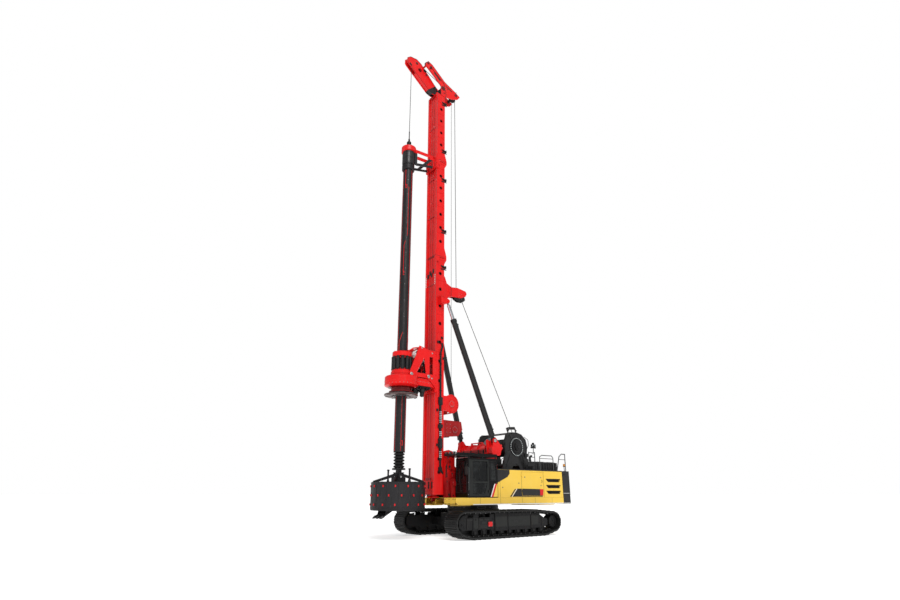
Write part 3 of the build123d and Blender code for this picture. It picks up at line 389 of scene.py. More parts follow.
class Shape:
    # Gathers simple solids in one mesh, in the frame's own metres.
    def __init__(self):
        self.mesh = bmesh.new()

    def soften(self, faces, width, steps=2):
        if width > 0:
            edges = {e for f in faces for e in f.edges}
            sharp = [e for e in edges if len(e.link_faces) == 2 and e.calc_face_angle(0) > 0.5]
            bmesh.ops.bevel(self.mesh, geom=sharp, offset=width, segments=steps, profile=0.5,
                            affect="EDGES", clamp_overlap=True)
        return self

    def block(self, x, y, z, soft=0.0):
        spots = [self.mesh.verts.new((x[i], y[j], z[k])) for i in (0, 1) for j in (0, 1) for k in (0, 1)]
        sides = [(0, 1, 3, 2), (4, 6, 7, 5), (0, 4, 5, 1), (2, 3, 7, 6), (0, 2, 6, 4), (1, 5, 7, 3)]
        faces = [self.mesh.faces.new([spots[i] for i in side]) for side in sides]
        return self.soften(faces, soft)

    def plate(self, outline, axis, low, high, soft=0.0):
        # outline in the two other axes, in x, y, z order; the plate runs from low to high along axis
        def at(a, b, c):
            return {"x": (c, a, b), "y": (a, c, b), "z": (a, b, c)}[axis]
        bottom = [self.mesh.verts.new(at(a, b, low)) for a, b in outline]
        top = [self.mesh.verts.new(at(a, b, high)) for a, b in outline]
        faces = [self.mesh.faces.new(bottom), self.mesh.faces.new(list(reversed(top)))]
        count = len(outline)
        for i in range(count):
            j = (i + 1) % count
            faces.append(self.mesh.faces.new([bottom[j], bottom[i], top[i], top[j]]))
        return self.soften(faces, soft)

    def turn(self, profile, centre, axis="z", sides=40, closed=True):
        # profile in radius and height along the axis; closed joins its last point to its first
        rings = []
        for radius, height in profile:
            ring = []
            for i in range(sides):
                a = 2 * math.pi * i / sides
                u, v = radius * math.cos(a), radius * math.sin(a)
                spot = {"x": (height, u, v), "y": (u, height, v), "z": (u, v, height)}[axis]
                ring.append(self.mesh.verts.new(Vector(spot) + Vector(centre)))
            rings.append(ring)
        pairs = list(zip(rings, rings[1:]))
        if closed:
            pairs.append((rings[-1], rings[0]))
        for first, second in pairs:
            for i in range(sides):
                j = (i + 1) % sides
                self.mesh.faces.new([first[i], first[j], second[j], second[i]])
        if not closed:
            for ring in (rings[0], rings[-1]):
                self.mesh.faces.new(ring)
        return self

    def rod(self, start, end, radius, sides=14, tip=None):
        # round bar, or a cone when tip is given
        run = Vector(end) - Vector(start)
        turn = run.to_track_quat("Z", "Y")
        rings = []
        for spot, r in ((Vector(start), radius), (Vector(end), radius if tip is None else tip)):
            rings.append([self.mesh.verts.new(spot + turn @ Vector((r * math.cos(2 * math.pi * i / sides),
                                                                   r * math.sin(2 * math.pi * i / sides), 0)))
                          for i in range(sides)])
        for i in range(sides):
            j = (i + 1) % sides
            self.mesh.faces.new([rings[0][i], rings[0][j], rings[1][j], rings[1][i]])
        self.mesh.faces.new(list(reversed(rings[0])))
        self.mesh.faces.new(rings[1])
        return self

    def pipe(self, points, radius, sides=10, bend=0.0):
        # bent tube; bend rounds the corners
        route = roundCorners([Vector(p) for p in points], bend) if bend else [Vector(p) for p in points]
        rings = []
        side = None
        for i, spot in enumerate(route):
            ahead = (route[min(i + 1, len(route) - 1)] - route[max(i - 1, 0)]).normalized()
            if side is None:
                side = ahead.orthogonal().normalized()
            side = (side - ahead * side.dot(ahead)).normalized()
            across = ahead.cross(side)
            rings.append([self.mesh.verts.new(spot + side * (radius * math.cos(2 * math.pi * k / sides))
                                              + across * (radius * math.sin(2 * math.pi * k / sides)))
                          for k in range(sides)])
        for first, second in zip(rings, rings[1:]):
            for k in range(sides):
                j = (k + 1) % sides
                self.mesh.faces.new([first[k], first[j], second[j], second[k]])
        self.mesh.faces.new(list(reversed(rings[0])))
        self.mesh.faces.new(rings[-1])
        return self

    def peg(self, x, z, low, high, radius, sides):
        # round bar across the machine
        return self.rod((x, low, z), (x, high, z), radius, sides)

    def post(self, x, y, low, high, radius, sides):
        # upright round bar
        return self.rod((x, y, low), (x, y, high), radius, sides)

    def edge(self, outline, y, radius, sides):
        # rods along an outline of x and z, all in the upright plane at y
        for (x0, z0), (x1, z1) in zip(outline, outline[1:]):
            self.rod((x0, y, z0), (x1, y, z1), radius, sides)
        return self

    def loop(self, corners, radius, sides=8):
        # rods round a closed run of corners
        for a, b in zip(corners, corners[1:] + corners[:1]):
            self.rod(a, b, radius, sides)
        return self

    def cap(self, centre, flat, full, bevel, depth, sides):
        # round cover that faces sideways, with a bevelled rim
        profile = [(0.0, 0.0), (flat, 0.0), (full, -bevel), (full, -depth), (0.0, -depth)]
        return self.turn(profile, centre, "y", sides)

    def hoop(self, inner, outer, low, high, centre, axis, sides=40):
        # ring of rectangular section
        return self.turn([(inner, low), (outer, low), (outer, high), (inner, high)], centre, axis, sides)

    def collar(self, inner, outer, z, half, fall, x, sides):
        # level ring whose outer edges fall away, on an upright axis at x
        profile = [(inner, z - half), (outer, z - half + fall), (outer, z + half - fall), (inner, z + half)]
        return self.turn(profile, (x, 0, 0), "z", sides)

    def mirrored(self):
        # adds the same on the other side of the machine
        made = bmesh.ops.duplicate(self.mesh,
                                   geom=self.mesh.faces[:] + self.mesh.edges[:] + self.mesh.verts[:])
        for item in made["geom"]:
            if isinstance(item, bmesh.types.BMVert):
                item.co.y = -item.co.y
        return self

    def piece(self, name, body, material, smooth=35):
        bmesh.ops.remove_doubles(self.mesh, verts=self.mesh.verts[:], dist=1e-6)
        bmesh.ops.recalc_face_normals(self.mesh, faces=self.mesh.faces[:])
        data = bpy.data.meshes.new(name)
        self.mesh.to_mesh(data)
        self.mesh.free()
        return placed(name, data, body, material, smooth)


def placed(name, data, body, material, smooth=35):
    data.materials.clear()
    data.materials.append(material)
    made = bpy.data.objects.new(name, data)
    bpy.context.scene.collection.objects.link(made)
    if smooth:
        data.shade_smooth()
        data.set_sharp_from_angle(angle=math.radians(smooth))
    if body:
        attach(made, body)
    return made


def roundCorners(points, bend, steps=5):
    # each corner becomes a short curve that starts and ends at a distance bend from it
    route = [points[0]]
    for before, corner, after in zip(points, points[1:], points[2:]):
        reach = min(bend, (corner - before).length * 0.48, (after - corner).length * 0.48)
        a = corner + (before - corner).normalized() * reach
        b = corner + (after - corner).normalized() * reach
        for i in range(steps + 1):
            t = i / steps
            route.append(a * (1 - t) ** 2 + corner * (2 * t * (1 - t)) + b * t ** 2)
    route.append(points[-1])
    return route


def tree(name, inputs):
    group = bpy.data.node_groups.new(name, "GeometryNodeTree")
    group.interface.new_socket("Geometry", in_out="INPUT", socket_type="NodeSocketGeometry")
    group.interface.new_socket("Geometry", in_out="OUTPUT", socket_type="NodeSocketGeometry")
    for label, kind, value in inputs + [("Material", "Material", None)]:
        socket = group.interface.new_socket(label, in_out="INPUT", socket_type=f"NodeSocket{kind}")
        if value is not None:
            socket.default_value = value
    return group, step(group, "NodeGroupInput").outputs


def step(group, kind, settings=None, inputs=None):
    made = group.nodes.new(kind)
    for name, value in (settings or {}).items():
        setattr(made, name, value)
    for name, value in (inputs or {}).items():
        if isinstance(value, bpy.types.NodeSocket):
            group.links.new(value, made.inputs[name])
        else:
            made.inputs[name].default_value = value
    return made


def coated(group, geometry, material):
    # the end of every tree: real geometry with its material
    real = step(group, "GeometryNodeRealizeInstances", {}, {"Geometry": geometry})
    coat = step(group, "GeometryNodeSetMaterial", {}, {"Geometry": real.outputs[0], "Material": material})
    outlet = step(group, "NodeGroupOutput")
    group.links.new(coat.outputs[0], outlet.inputs[0])
    return group


def onPoints(group, inlet, part, pivot):
    # the part on every point, its Z along the point's facing
    facing = step(group, "GeometryNodeInputNamedAttribute", {"data_type": "FLOAT_VECTOR"}, {"Name": "facing"})
    turn = step(group, "FunctionNodeAlignRotationToVector", {"axis": "Z", "pivot_axis": pivot},
                {"Vector": facing.outputs["Attribute"]})
    rows = step(group, "GeometryNodeInstanceOnPoints", {},
                {"Points": inlet["Geometry"], "Instance": part, "Rotation": turn.outputs["Rotation"]})
    return coated(group, rows.outputs["Instances"], inlet["Material"])


def boltTree():
    # A bolt head on its washer.
    group, inlet = tree("bolt heads", [("Radius", "Float", 0.02), ("Height", "Float", 0.015),
                                       ("Washer", "Float", 1.35), ("Sides", "Int", 6)])
    head = step(group, "GeometryNodeMeshCylinder", {}, {"Vertices": inlet["Sides"], "Radius": inlet["Radius"],
                                                       "Depth": inlet["Height"]})
    wide = step(group, "ShaderNodeMath", {"operation": "MULTIPLY"}, {0: inlet["Radius"], 1: inlet["Washer"]})
    low = step(group, "ShaderNodeMath", {"operation": "MULTIPLY"}, {0: inlet["Height"], 1: 0.5})
    washer = step(group, "GeometryNodeMeshCylinder", {}, {"Vertices": 10, "Radius": wide.outputs[0],
                                                         "Depth": low.outputs[0]})
    both = step(group, "GeometryNodeJoinGeometry")
    group.links.new(head.outputs["Mesh"], both.inputs[0])
    group.links.new(washer.outputs["Mesh"], both.inputs[0])
    return onPoints(group, inlet, both.outputs[0], "AUTO")


def discTree():
    # Plain round caps, pins and link eyes.
    group, inlet = tree("round caps", [("Radius", "Float", 0.02), ("Height", "Float", 0.02),
                                       ("Sides", "Int", 12)])
    cap = step(group, "GeometryNodeMeshCylinder", {}, {"Vertices": inlet["Sides"], "Radius": inlet["Radius"],
                                                      "Depth": inlet["Height"]})
    return onPoints(group, inlet, cap.outputs["Mesh"], "AUTO")


def barTree(pivot):
    # The same bar again and again, turned about the pivot axis to each point's facing.
    group, inlet = tree("bars about " + pivot, [("Size", "Vector", (0.1, 0.1, 0.1))])
    bar = step(group, "GeometryNodeMeshCube", {}, {"Size": inlet["Size"]})
    return onPoints(group, inlet, bar.outputs["Mesh"], pivot)


def ropeTree():
    # Stranded rope: a six-lobed section that twists as it follows the line.
    group, inlet = tree("stranded rope", [("Radius", "Float", 0.015), ("Step", "Float", 0.05),
                                          ("Twist", "Float", 0.5)])
    line = step(group, "GeometryNodeMeshToCurve", {}, {"Mesh": inlet["Geometry"]})
    even = step(group, "GeometryNodeResampleCurve", {"mode": "LENGTH"},
                {"Curve": line.outputs["Curve"], "Length": inlet["Step"]})
    index = step(group, "GeometryNodeInputIndex")
    angle = step(group, "ShaderNodeMath", {"operation": "MULTIPLY"}, {0: index.outputs[0], 1: inlet["Twist"]})
    tilted = step(group, "GeometryNodeSetCurveTilt", {}, {"Curve": even.outputs["Curve"],
                                                         "Tilt": angle.outputs[0]})
    inner = step(group, "ShaderNodeMath", {"operation": "MULTIPLY"}, {0: inlet["Radius"], 1: 0.8})
    star = step(group, "GeometryNodeCurveStar", {}, {"Points": 6, "Inner Radius": inner.outputs[0],
                                                    "Outer Radius": inlet["Radius"]})
    rope = step(group, "GeometryNodeCurveToMesh", {}, {"Curve": tilted.outputs["Curve"],
                                                      "Profile Curve": star.outputs["Curve"],
                                                      "Fill Caps": True})
    return coated(group, rope.outputs["Mesh"], inlet["Material"])


def coilTree():
    # Rope wound on a drum that lies across the machine.
    group, inlet = tree("wound rope", [("Coil Radius", "Float", 0.4), ("Length", "Float", 1.0),
                                       ("Turns", "Float", 20.0), ("Rope Radius", "Float", 0.015),
                                       ("Centre", "Vector", (0, 0, 0))])
    coil = step(group, "GeometryNodeCurveSpiral", {}, {"Resolution": 28, "Rotations": inlet["Turns"],
                                                      "Start Radius": inlet["Coil Radius"],
                                                      "End Radius": inlet["Coil Radius"],
                                                      "Height": inlet["Length"]})
    section = step(group, "GeometryNodeCurvePrimitiveCircle", {}, {"Resolution": 6,
                                                                  "Radius": inlet["Rope Radius"]})
    rope = step(group, "GeometryNodeCurveToMesh", {}, {"Curve": coil.outputs["Curve"],
                                                      "Profile Curve": section.outputs["Curve"],
                                                      "Fill Caps": True})
    half = step(group, "ShaderNodeVectorMath", {"operation": "SCALE"}, {0: (0, 0, -1)})
    group.links.new(inlet["Length"], half.inputs["Scale"])
    middle = step(group, "ShaderNodeVectorMath", {"operation": "MULTIPLY"},
                  {0: half.outputs[0], 1: (0, 0, 0.5)})
    centred = step(group, "GeometryNodeTransform", {}, {"Geometry": rope.outputs["Mesh"],
                                                       "Translation": middle.outputs[0]})
    laid = step(group, "GeometryNodeTransform", {}, {"Geometry": centred.outputs[0],
                                                    "Translation": inlet["Centre"],
                                                    "Rotation": (math.pi / 2, 0, 0)})
    return coated(group, laid.outputs[0], inlet["Material"])


boltHeads, roundCaps, ropeStrands, woundRope = boltTree(), discTree(), ropeTree(), coilTree()
barsAcross, barsAny = barTree("Y"), barTree("AUTO")


def forEach(facing, points):
    # facing may be one direction for all the points, or one for each
    return [facing] * len(points) if isinstance(facing[0], (int, float)) else list(facing)


def grown(name, group, points, values, body, material, edges=(), facing=None, smooth=35):
    # Runs a tree on a few points, or on the lines between them, and keeps the plain mesh.
    data = bpy.data.meshes.new(name + " start")
    data.from_pydata([tuple(p) for p in points], [tuple(e) for e in edges], [])
    if facing is not None:
        layer = data.attributes.new("facing", "FLOAT_VECTOR", "POINT")
        layer.data.foreach_set("vector", [c for way in forEach(facing, points) for c in way])
    start = bpy.data.objects.new(name + " start", data)
    bpy.context.scene.collection.objects.link(start)
    modifier = start.modifiers.new("grow", "NODES")
    modifier.node_group = group
    ids = {item.name: item.identifier for item in group.interface.items_tree if item.in_out == "INPUT"}
    for label, value in {**values, "Material": material}.items():
        modifier[ids[label]] = value
    ready = bpy.context.evaluated_depsgraph_get()
    mesh = bpy.data.meshes.new_from_object(start.evaluated_get(ready), depsgraph=ready)
    start.modifiers.remove(modifier)
    bpy.data.objects.remove(start)
    bpy.data.meshes.remove(data)
    mesh.name = name
    return placed(name, mesh, body, material, smooth)


boltSizes = {        # head radius, head height, washer share, sides, material
    "small": (0.011, 0.012, 1.4, 6, boltSteel),
    "dark": (0.016, 0.016, 1.4, 6, gearSteel),
    "red": (0.016, 0.016, 1.4, 6, shadedRed),
    "pale": (0.019, 0.022, 1.3, 6, paleGrey),
    "large": (0.03, 0.03, 1.35, 6, gearSteel),
    "shoe": (0.019, 0.016, 1.0, 6, trackSteel),
}
boltJobs = {}


def bolted(body, size, spots, facing):
    # notes bolts for a body
    jobs = boltJobs.setdefault((body, size), ([], []))
    jobs[0].extend(spots)
    jobs[1].extend(forEach(facing, spots))


def boltedSides(body, size, spots):
    # the same bolts on both sides of the machine, heads outwards
    for side in (1, -1):
        bolted(body, size, [(x, side * y, z) for x, y, z in spots], (0, side, 0))


def ringSpots(centre, radius, count):
    # a level circle of places, the first at 45 degrees
    x, y, z = centre
    turns = [2 * math.pi * (i / count + 0.125) for i in range(count)]
    return [(x + radius * math.cos(a), y + radius * math.sin(a), z) for a in turns]


def sideRing(centre, radius, count, start=0.0, sweep=2 * math.pi):
    # a circle of places that faces sideways, or an arc of one
    x, y, z = centre
    turns = [start + sweep * i / count for i in range(count)]
    return [(x + radius * math.cos(a), y, z + radius * math.sin(a)) for a in turns]


def spoke(x, y, inner, outer, half, angle):
    # the four corners of a straight rib that runs out from (x, y)
    c, s = math.cos(angle), math.sin(angle)
    corners = ((inner, half), (outer, half), (outer, -half), (inner, -half))
    return [(x + reach * c - side * s, y + reach * s + side * c) for reach, side in corners]


def ordered(a, b):
    return (min(a, b), max(a, b))


def shrunk(span, rim):
    return (span[0] + rim, span[1] - rim)


def barRow(name, spots, size, body, material):
    # the same upright bar on every spot
    grown(name, barsAny, spots, {"Size": size}, body, material, facing=(0, 0, 1))


def discRow(name, spots, radius, height, sides, body, material, facing):
    values = {"Radius": radius, "Height": height, "Sides": sides}
    grown(name, roundCaps, spots, values, body, material, facing=facing)


def woundOn(name, body, centre, radius, ropeRadius, halfLength):
    # close turns of rope on a drum that lies across the machine at centre (x, z)
    x, z = centre
    values = {"Coil Radius": radius, "Length": 2 * halfLength,
              "Turns": 2 * halfLength / (2 * ropeRadius + 0.001), "Rope Radius": ropeRadius,
              "Centre": (x, 0.0, z)}
    grown(name, woundRope, [(0, 0, 0)], values, body, ropeSteel)


def rope(name, body, points, radius=0.014, material=None, blended=None):
    # a taut rope; when blended is given, the rope is put on no body and its place is baked into its mesh; the
    # second body and span that blended names are not used
    values = {"Radius": radius, "Step": 0.12, "Twist": 0.9}
    spans = [(i, i + 1) for i in range(len(points) - 1)]
    made = grown(name, ropeStrands, points, values, None if blended else body, material or ropeSteel,
                 edges=spans)
    if blended:
        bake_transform(made)
    return made


finishes = {
    "track_left": trackSteel, "track_right": trackSteel, "track_frames": frameBlack,
    "running_gear": gearSteel, "car_body": frameBlack, "slew_ring": gearSteel,
    "deck_frame": deckPaint, "side_beams": yellow, "counterweight": black, "engine_block": grey,
    "housing_left": housingYellow, "housing_right": housingYellow, "housing_top": black,
    "service_door_left": housingYellow, "service_door_right": housingYellow, "tank_cabinet": black,
    "top_box": black, "deck_rails": railGrey, "cab_shell": cabBlack, "cab_glass": glass,
    "cab_door": doorBlack, "door_glass": glass, "operator_seat": seatCloth, "cab_console": plastic,
    # the mast bracket takes the shaded red: painted shade under the mast foot's ears
    "roof_guard": black, "stay_frame": red, "mast_bracket": shadedRed, "winch_frame": black,
    "main_drum": grey, "mast_lower": red, "mast_middle": red, "mast_top": red, "mast_foot": footPaintAndShade,
    "mast_head": headPaintAndShade, "stay_lugs": red, "rope_bracket": red, "crowd_winch_stand": shadedRed,
    "aux_winch_stand": red, "crowd_drum": grey, "aux_drum": grey, "head_sheave": black,
    "rear_sheave": black, "bracket_sheave": black, "stay_barrel_left": black,
    "stay_barrel_right": black, "stay_rod_left": chrome, "stay_rod_right": chrome,
    "drive_carriage": red, "drive_housing": drivePaintAndShade, "drive_barrel": red, "drive_motors": black,
    "drive_sleeve": discSteel, "kelly_guide": guidePaint, "kelly_outer": kellySteel,
    "kelly_inner": kellySteel, "kelly_spring": black, "kelly_swivel": gearSteel,
    "bucket_body": cutterSteel, "bucket_frame": bucketSteel, "bucket_bottom": bucketSteel,
}
for node, finish in finishes.items():
    mesh = bpy.data.objects[node].data
    mesh.materials.clear()
    mesh.materials.append(finish)
print("finishes on", len(finishes), "nodes")


beltRun = {
    "circles": [(-2.6, 0.2, 0.2), (2.2, 0.2, 0.2), (2.59, 0.675, 0.56), (-1.9, 1.075, 0.16),
                (-3.31, 0.64, 0.48)],
    "shoes": 50,
    "barHeight": 0.036,
    "barShares": (0.18, 0.82),   # where the two lower bars stand on a shoe
    "boltShares": (0.33, 0.67),
    "boltDepth": 0.045,
    "plateDepth": 0.048,         # from the tip of a grouser down to its plate
    "eyeDepth": 0.135,           # from the tip of a grouser down to the chain's pins
    "eyeRadius": 0.043,
    "eyePlaces": (-0.118, -0.062, 0.062, 0.118),
    "toothCount": 21,
}


def beltPoints(circles, count):
    # equal steps along a belt round circles (x, z, radius)
    turns = []
    for (x0, z0, r0), (x1, z1, r1) in zip(circles, circles[1:] + circles[:1]):
        turns.append(math.atan2(z1 - z0, x1 - x0) - math.acos((r0 - r1) / math.hypot(x1 - x0, z1 - z0)))
    runs = []
    for i, (x, z, r) in enumerate(circles):
        x1, z1, r1 = circles[(i + 1) % len(circles)]
        runs.append((r * ((turns[i] - turns[i - 1]) % (2 * math.pi)), (x, z, r, turns[i - 1])))
        a = Vector((x + r * math.cos(turns[i]), z + r * math.sin(turns[i])))
        b = Vector((x1 + r1 * math.cos(turns[i]), z1 + r1 * math.sin(turns[i])))
        runs.append(((b - a).length, (a, b)))
    total = sum(length for length, _ in runs)
    points = []
    for i in range(count):
        s = total * i / count
        for length, data in runs:
            if s <= length:
                break
            s -= length
        if len(data) == 4:
            x, z, r, start = data
            points.append(Vector((x + r * math.cos(start + s / r), z + r * math.sin(start + s / r))))
        else:
            points.append(data[0].lerp(data[1], s / length))
    return points


def buildTracks(setup):
    tips = beltPoints(setup["circles"], setup["shoes"])
    low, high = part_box("track_left")
    middle, half = (low[1] + high[1]) / 2, (high[1] - low[1]) / 2
    bars, barFaces, pins, shoeBolts, boltFaces = [], [], [], [], []
    for i, a in enumerate(tips):
        b = tips[(i + 1) % len(tips)]
        along = (b - a).normalized()
        out = Vector((along[1], -along[0]))
        for share in setup["barShares"]:
            spot = a.lerp(b, share) - out * (setup["plateDepth"] - setup["barHeight"] / 2)
            bars.append(spot)
            barFaces.append(out)
        for share in setup["boltShares"]:
            shoeBolts.append(a.lerp(b, share) - out * setup["boltDepth"])
            boltFaces.append(out)
        pins.append(a - out * setup["eyeDepth"])
    for side, word in ((1, "left"), (-1, "right")):
        at = side * middle
        grown(f"track_{word}_bars", barsAcross, [(p[0], at, p[1]) for p in bars],
              {"Size": (0.022, 2 * half - 0.03, setup["barHeight"])}, "undercarriage", trackSteel,
              facing=[(f[0], 0, f[1]) for f in barFaces])
        eyes = [(p[0], at + y, p[1]) for p in pins for y in setup["eyePlaces"]]
        discRow(f"track_{word}_link_eyes", eyes, setup["eyeRadius"], 0.03, 12, "undercarriage", gearSteel,
                (0, 1, 0))
        discRow(f"track_{word}_pins", [(p[0], at, p[1]) for p in pins], 0.026, 0.29, 10, "undercarriage",
                bareSteel, (0, 1, 0))
        for y in (-0.16, 0.16):
            bolted("undercarriage", "shoe", [(p[0], at + y, p[1]) for p in shoeBolts],
                   [Vector((f[0], 0, f[1])) for f in boltFaces])


buildTracks(beltRun)

gearPlaces = {
    "drive": (-3.31, 0.64),
    "toothRadius": 0.3,
    "idler": (2.59, 0.675),
    "idlerFaces": (2.195, 1.965),
    "rollers": [-2.45 + 0.54 * i for i in range(9)],
    "rollerZ": 0.28,
    "carriers": (-1.9, -0.35, 1.2),
    "carrierZ": 0.97,
    "middle": 2.08,              # the chain's middle, out from the machine's
    "guard": [(-3.05, 0.30), (-2.80, 0.15), (2.20, 0.15), (2.50, 0.22), (2.78, 0.42), (2.2, 0.62),
              (-2.75, 0.62)],
    "innerGuard": [(-2.62, 0.30), (-2.55, 0.20), (2.08, 0.20), (2.16, 0.32), (2.30, 0.50), (-2.62, 0.50)],
}


def buildRunningGear(setup):
    middle = setup["middle"]
    dx, dz = setup["drive"]
    ix, iz = setup["idler"]
    count = beltRun["toothCount"]
    spots = [p for side in (1, -1) for p in sideRing((dx, side * middle, dz), setup["toothRadius"], count)]
    grown("drive_wheel_teeth", barsAcross, spots, {"Size": (0.045, 0.07, 0.075)}, "undercarriage", gearSteel,
          facing=sideRing((0, 0, 0), 1.0, count) * 2)
    Shape().turn([(0.04, 0.0), (0.12, 0.0), (0.13, -0.012), (0.17, -0.06), (0.04, -0.06)],
                 (dx, 2.328, dz), "y").mirrored().piece("hub_covers", "undercarriage", frameBlack)
    boltedSides("undercarriage", "dark", sideRing((dx, 2.336, dz), 0.23, 16))
    boltedSides("undercarriage", "dark", sideRing((dx, 2.334, dz), 0.075, 6))
    # idler: hub ring, six ribs in the hollow of the wheel, and the rim's bead
    idler = Shape()
    for y in setup["idlerFaces"]:
        idler.hoop(0.085, 0.15, -0.02, 0.02, (ix, y, iz), "y")
        idler.hoop(0.335, 0.36, -0.012, 0.012, (ix, y, iz), "y")
        for a, b in zip(sideRing((ix, y, iz), 0.13, 6, 0.2), sideRing((ix, y, iz), 0.26, 6, 0.2)):
            idler.rod(a, b, 0.022, 8)
    idler.mirrored().piece("idler_ribs", "undercarriage", gearSteel)
    ends = Shape()
    for x in setup["rollers"]:
        ends.cap((x, 2.338, setup["rollerZ"]), 0.05, 0.062, 0.012, 0.03, 20)
        ends.turn([(0.07, 0.0), (0.102, -0.006), (0.112, -0.03), (0.07, -0.03)],
                  (x, 2.245, setup["rollerZ"]), "y", 24)
        boltedSides("undercarriage", "dark", [(x + u, 2.33, 0.36) for u in (-0.075, 0.075)])
        boltedSides("undercarriage", "dark", [(x + u, 2.315, 0.265) for u in (-0.085, 0.085)])
    for x in setup["carriers"]:
        ends.cap((x, 2.19, setup["carrierZ"]), 0.045, 0.055, 0.01, 0.035, 20)
    ends.mirrored().piece("roller_end_caps", "undercarriage", gearSteel)
    # centre guide plate between the two chain rails, and the brackets that hold each roller
    guard = Shape()
    guard.plate(setup["guard"], "y", 2.068, 2.092)
    guard.plate(setup["innerGuard"], "y", 1.905, 1.925)
    for x in setup["rollers"]:
        for u in (-0.16, 0.13):
            guard.block((x + u, x + u + 0.03), (2.20, 2.31), (0.20, 0.44), 0.006)
        guard.block((x - 0.075, x + 0.075), (2.25, 2.335), (0.225, 0.335), 0.02)
    guard.mirrored().piece("roller_guards", "undercarriage", frameBlack)


buildRunningGear(gearPlaces)


frameTrim = {
    "face": 2.31,                # outer face of the track frame's cover
    "panelFaces": {"centre": (-0.14, 0.66, 2.344), "rear": (-1.70, -0.18, 2.33),
                   "far": (-2.29, -1.74, 2.338)},
    "ledges": ([(0.95, 0.90), (1.65, 0.90), (1.60, 0.925), (1.0, 0.925)],
               [(1.95, 0.90), (2.30, 0.90), (2.27, 0.925), (1.98, 0.925)]),
    "frontSheets": (((0.72, 0.81), 0.80), ((1.12, 1.56), 0.62), ((1.66, 1.94), 0.90)),
    "redBox": ((0.83, 1.07), (2.31, 2.352), (0.53, 0.73)),
}


def buildFrameTrim(setup):
    face = setup["face"]
    trim = Shape()
    for x in (-2.52, 1.62, 1.97, 2.33):
        trim.block((x, x + 0.03), (face - 0.004, face + 0.018), (0.44, 0.9), 0.004)
    for x0, x1, y in setup["panelFaces"].values():
        for z in (0.47, 0.94):
            trim.block(shrunk((x0, x1), 0.05), (y - 0.004, y + 0.012), (z, z + 0.022), 0.003)
    for outline in setup["ledges"]:
        trim.plate(outline, "y", face - 0.01, face + 0.05, 0.004)
    for x in (0.74, 1.3, 1.82):
        trim.peg(x, 0.83, face - 0.01, face + 0.03, 0.035, 16)
    for x in (-2.35, 2.62):
        trim.turn([(0.02, 0.0), (0.05, 0.0), (0.06, -0.015), (0.06, -0.03), (0.02, -0.03)],
                  (x, face + 0.024, 0.62), "y", 18)
    trim.mirrored().piece("track_frame_ribs", "undercarriage", frameBlack)
    sheets = Shape()
    for x0, x1, y in setup["panelFaces"].values():
        sheets.block(shrunk((x0, x1), 0.03), (y - 0.002, y + 0.004), (0.50 if x0 > -2 else 0.52, 0.93), 0.003)
    for span, high in setup["frontSheets"]:
        sheets.block(span, (face - 0.002, face + 0.005), (0.46, high), 0.003)
    sheets.mirrored().piece("track_frame_sheets", "undercarriage", panelBlack)

    # dark blocks flush with the cover, under its ledges and in its cutouts: painted shade
    deep = Shape()
    for x0, x1 in ((0.98, 1.62), (1.97, 2.28)):
        deep.block((x0, x1), (2.292, face + 0.002), (0.79, 0.885), 0.004)
    for x0, x1 in ((1.15, 1.45), (-1.45, -1.15), (-0.85, -0.55)):
        deep.block((x0, x1), (2.3, (2.334 if x0 < 0 else face) + 0.003), (0.64, 0.75), 0.004)
    deep.mirrored().piece("track_frame_recesses", "undercarriage", rubberAndShade)

    boxX, boxY, boxZ = setup["redBox"]
    lid = Shape().block(boxX, boxY, boxZ, 0.012)
    lid.block(shrunk(boxX, 0.03), (boxY[1] - 0.004, boxY[1] + 0.01), shrunk(boxZ, 0.03), 0.006)
    lid.mirrored().piece("grease_cover", "undercarriage", stripeRed)
    corners = [(x, boxY[1] + 0.002, z) for x in shrunk(boxX, 0.016) for z in shrunk(boxZ, 0.016)]
    boltedSides("undercarriage", "small", corners)
    for x0, x1, y in setup["panelFaces"].values():
        count = max(3, round((x1 - x0) / 0.22))
        for z in (0.42, 1.02):
            z = min(z, 0.97) if x0 < -2 else z
            gap = (x1 - x0 - 0.1) / (count - 1)
            boltedSides("undercarriage", "dark", [(x0 + 0.05 + gap * i, y + 0.004, z) for i in range(count)])
    boltedSides("undercarriage", "dark",
                [(x, face + 0.004, 0.46) for x in (0.75, 0.95, 1.3, 1.65, 1.9, 2.45)])
    boltedSides("undercarriage", "dark", [(x, face + 0.004, z) for x in (2.5, 2.7) for z in (0.55, 0.83)])


buildFrameTrim(frameTrim)


carTrim = {
    "ring": (1.27, 1.33),
    "ringZ": (1.19, 1.235),
    "ringBolts": (1.305, 44),    # radius and count
    "feet": (-1.15, 0.45),       # where the cross-beams' end plates start
    "grease": (1.292, 1.32),     # radius and height of the bearing's grease points
}


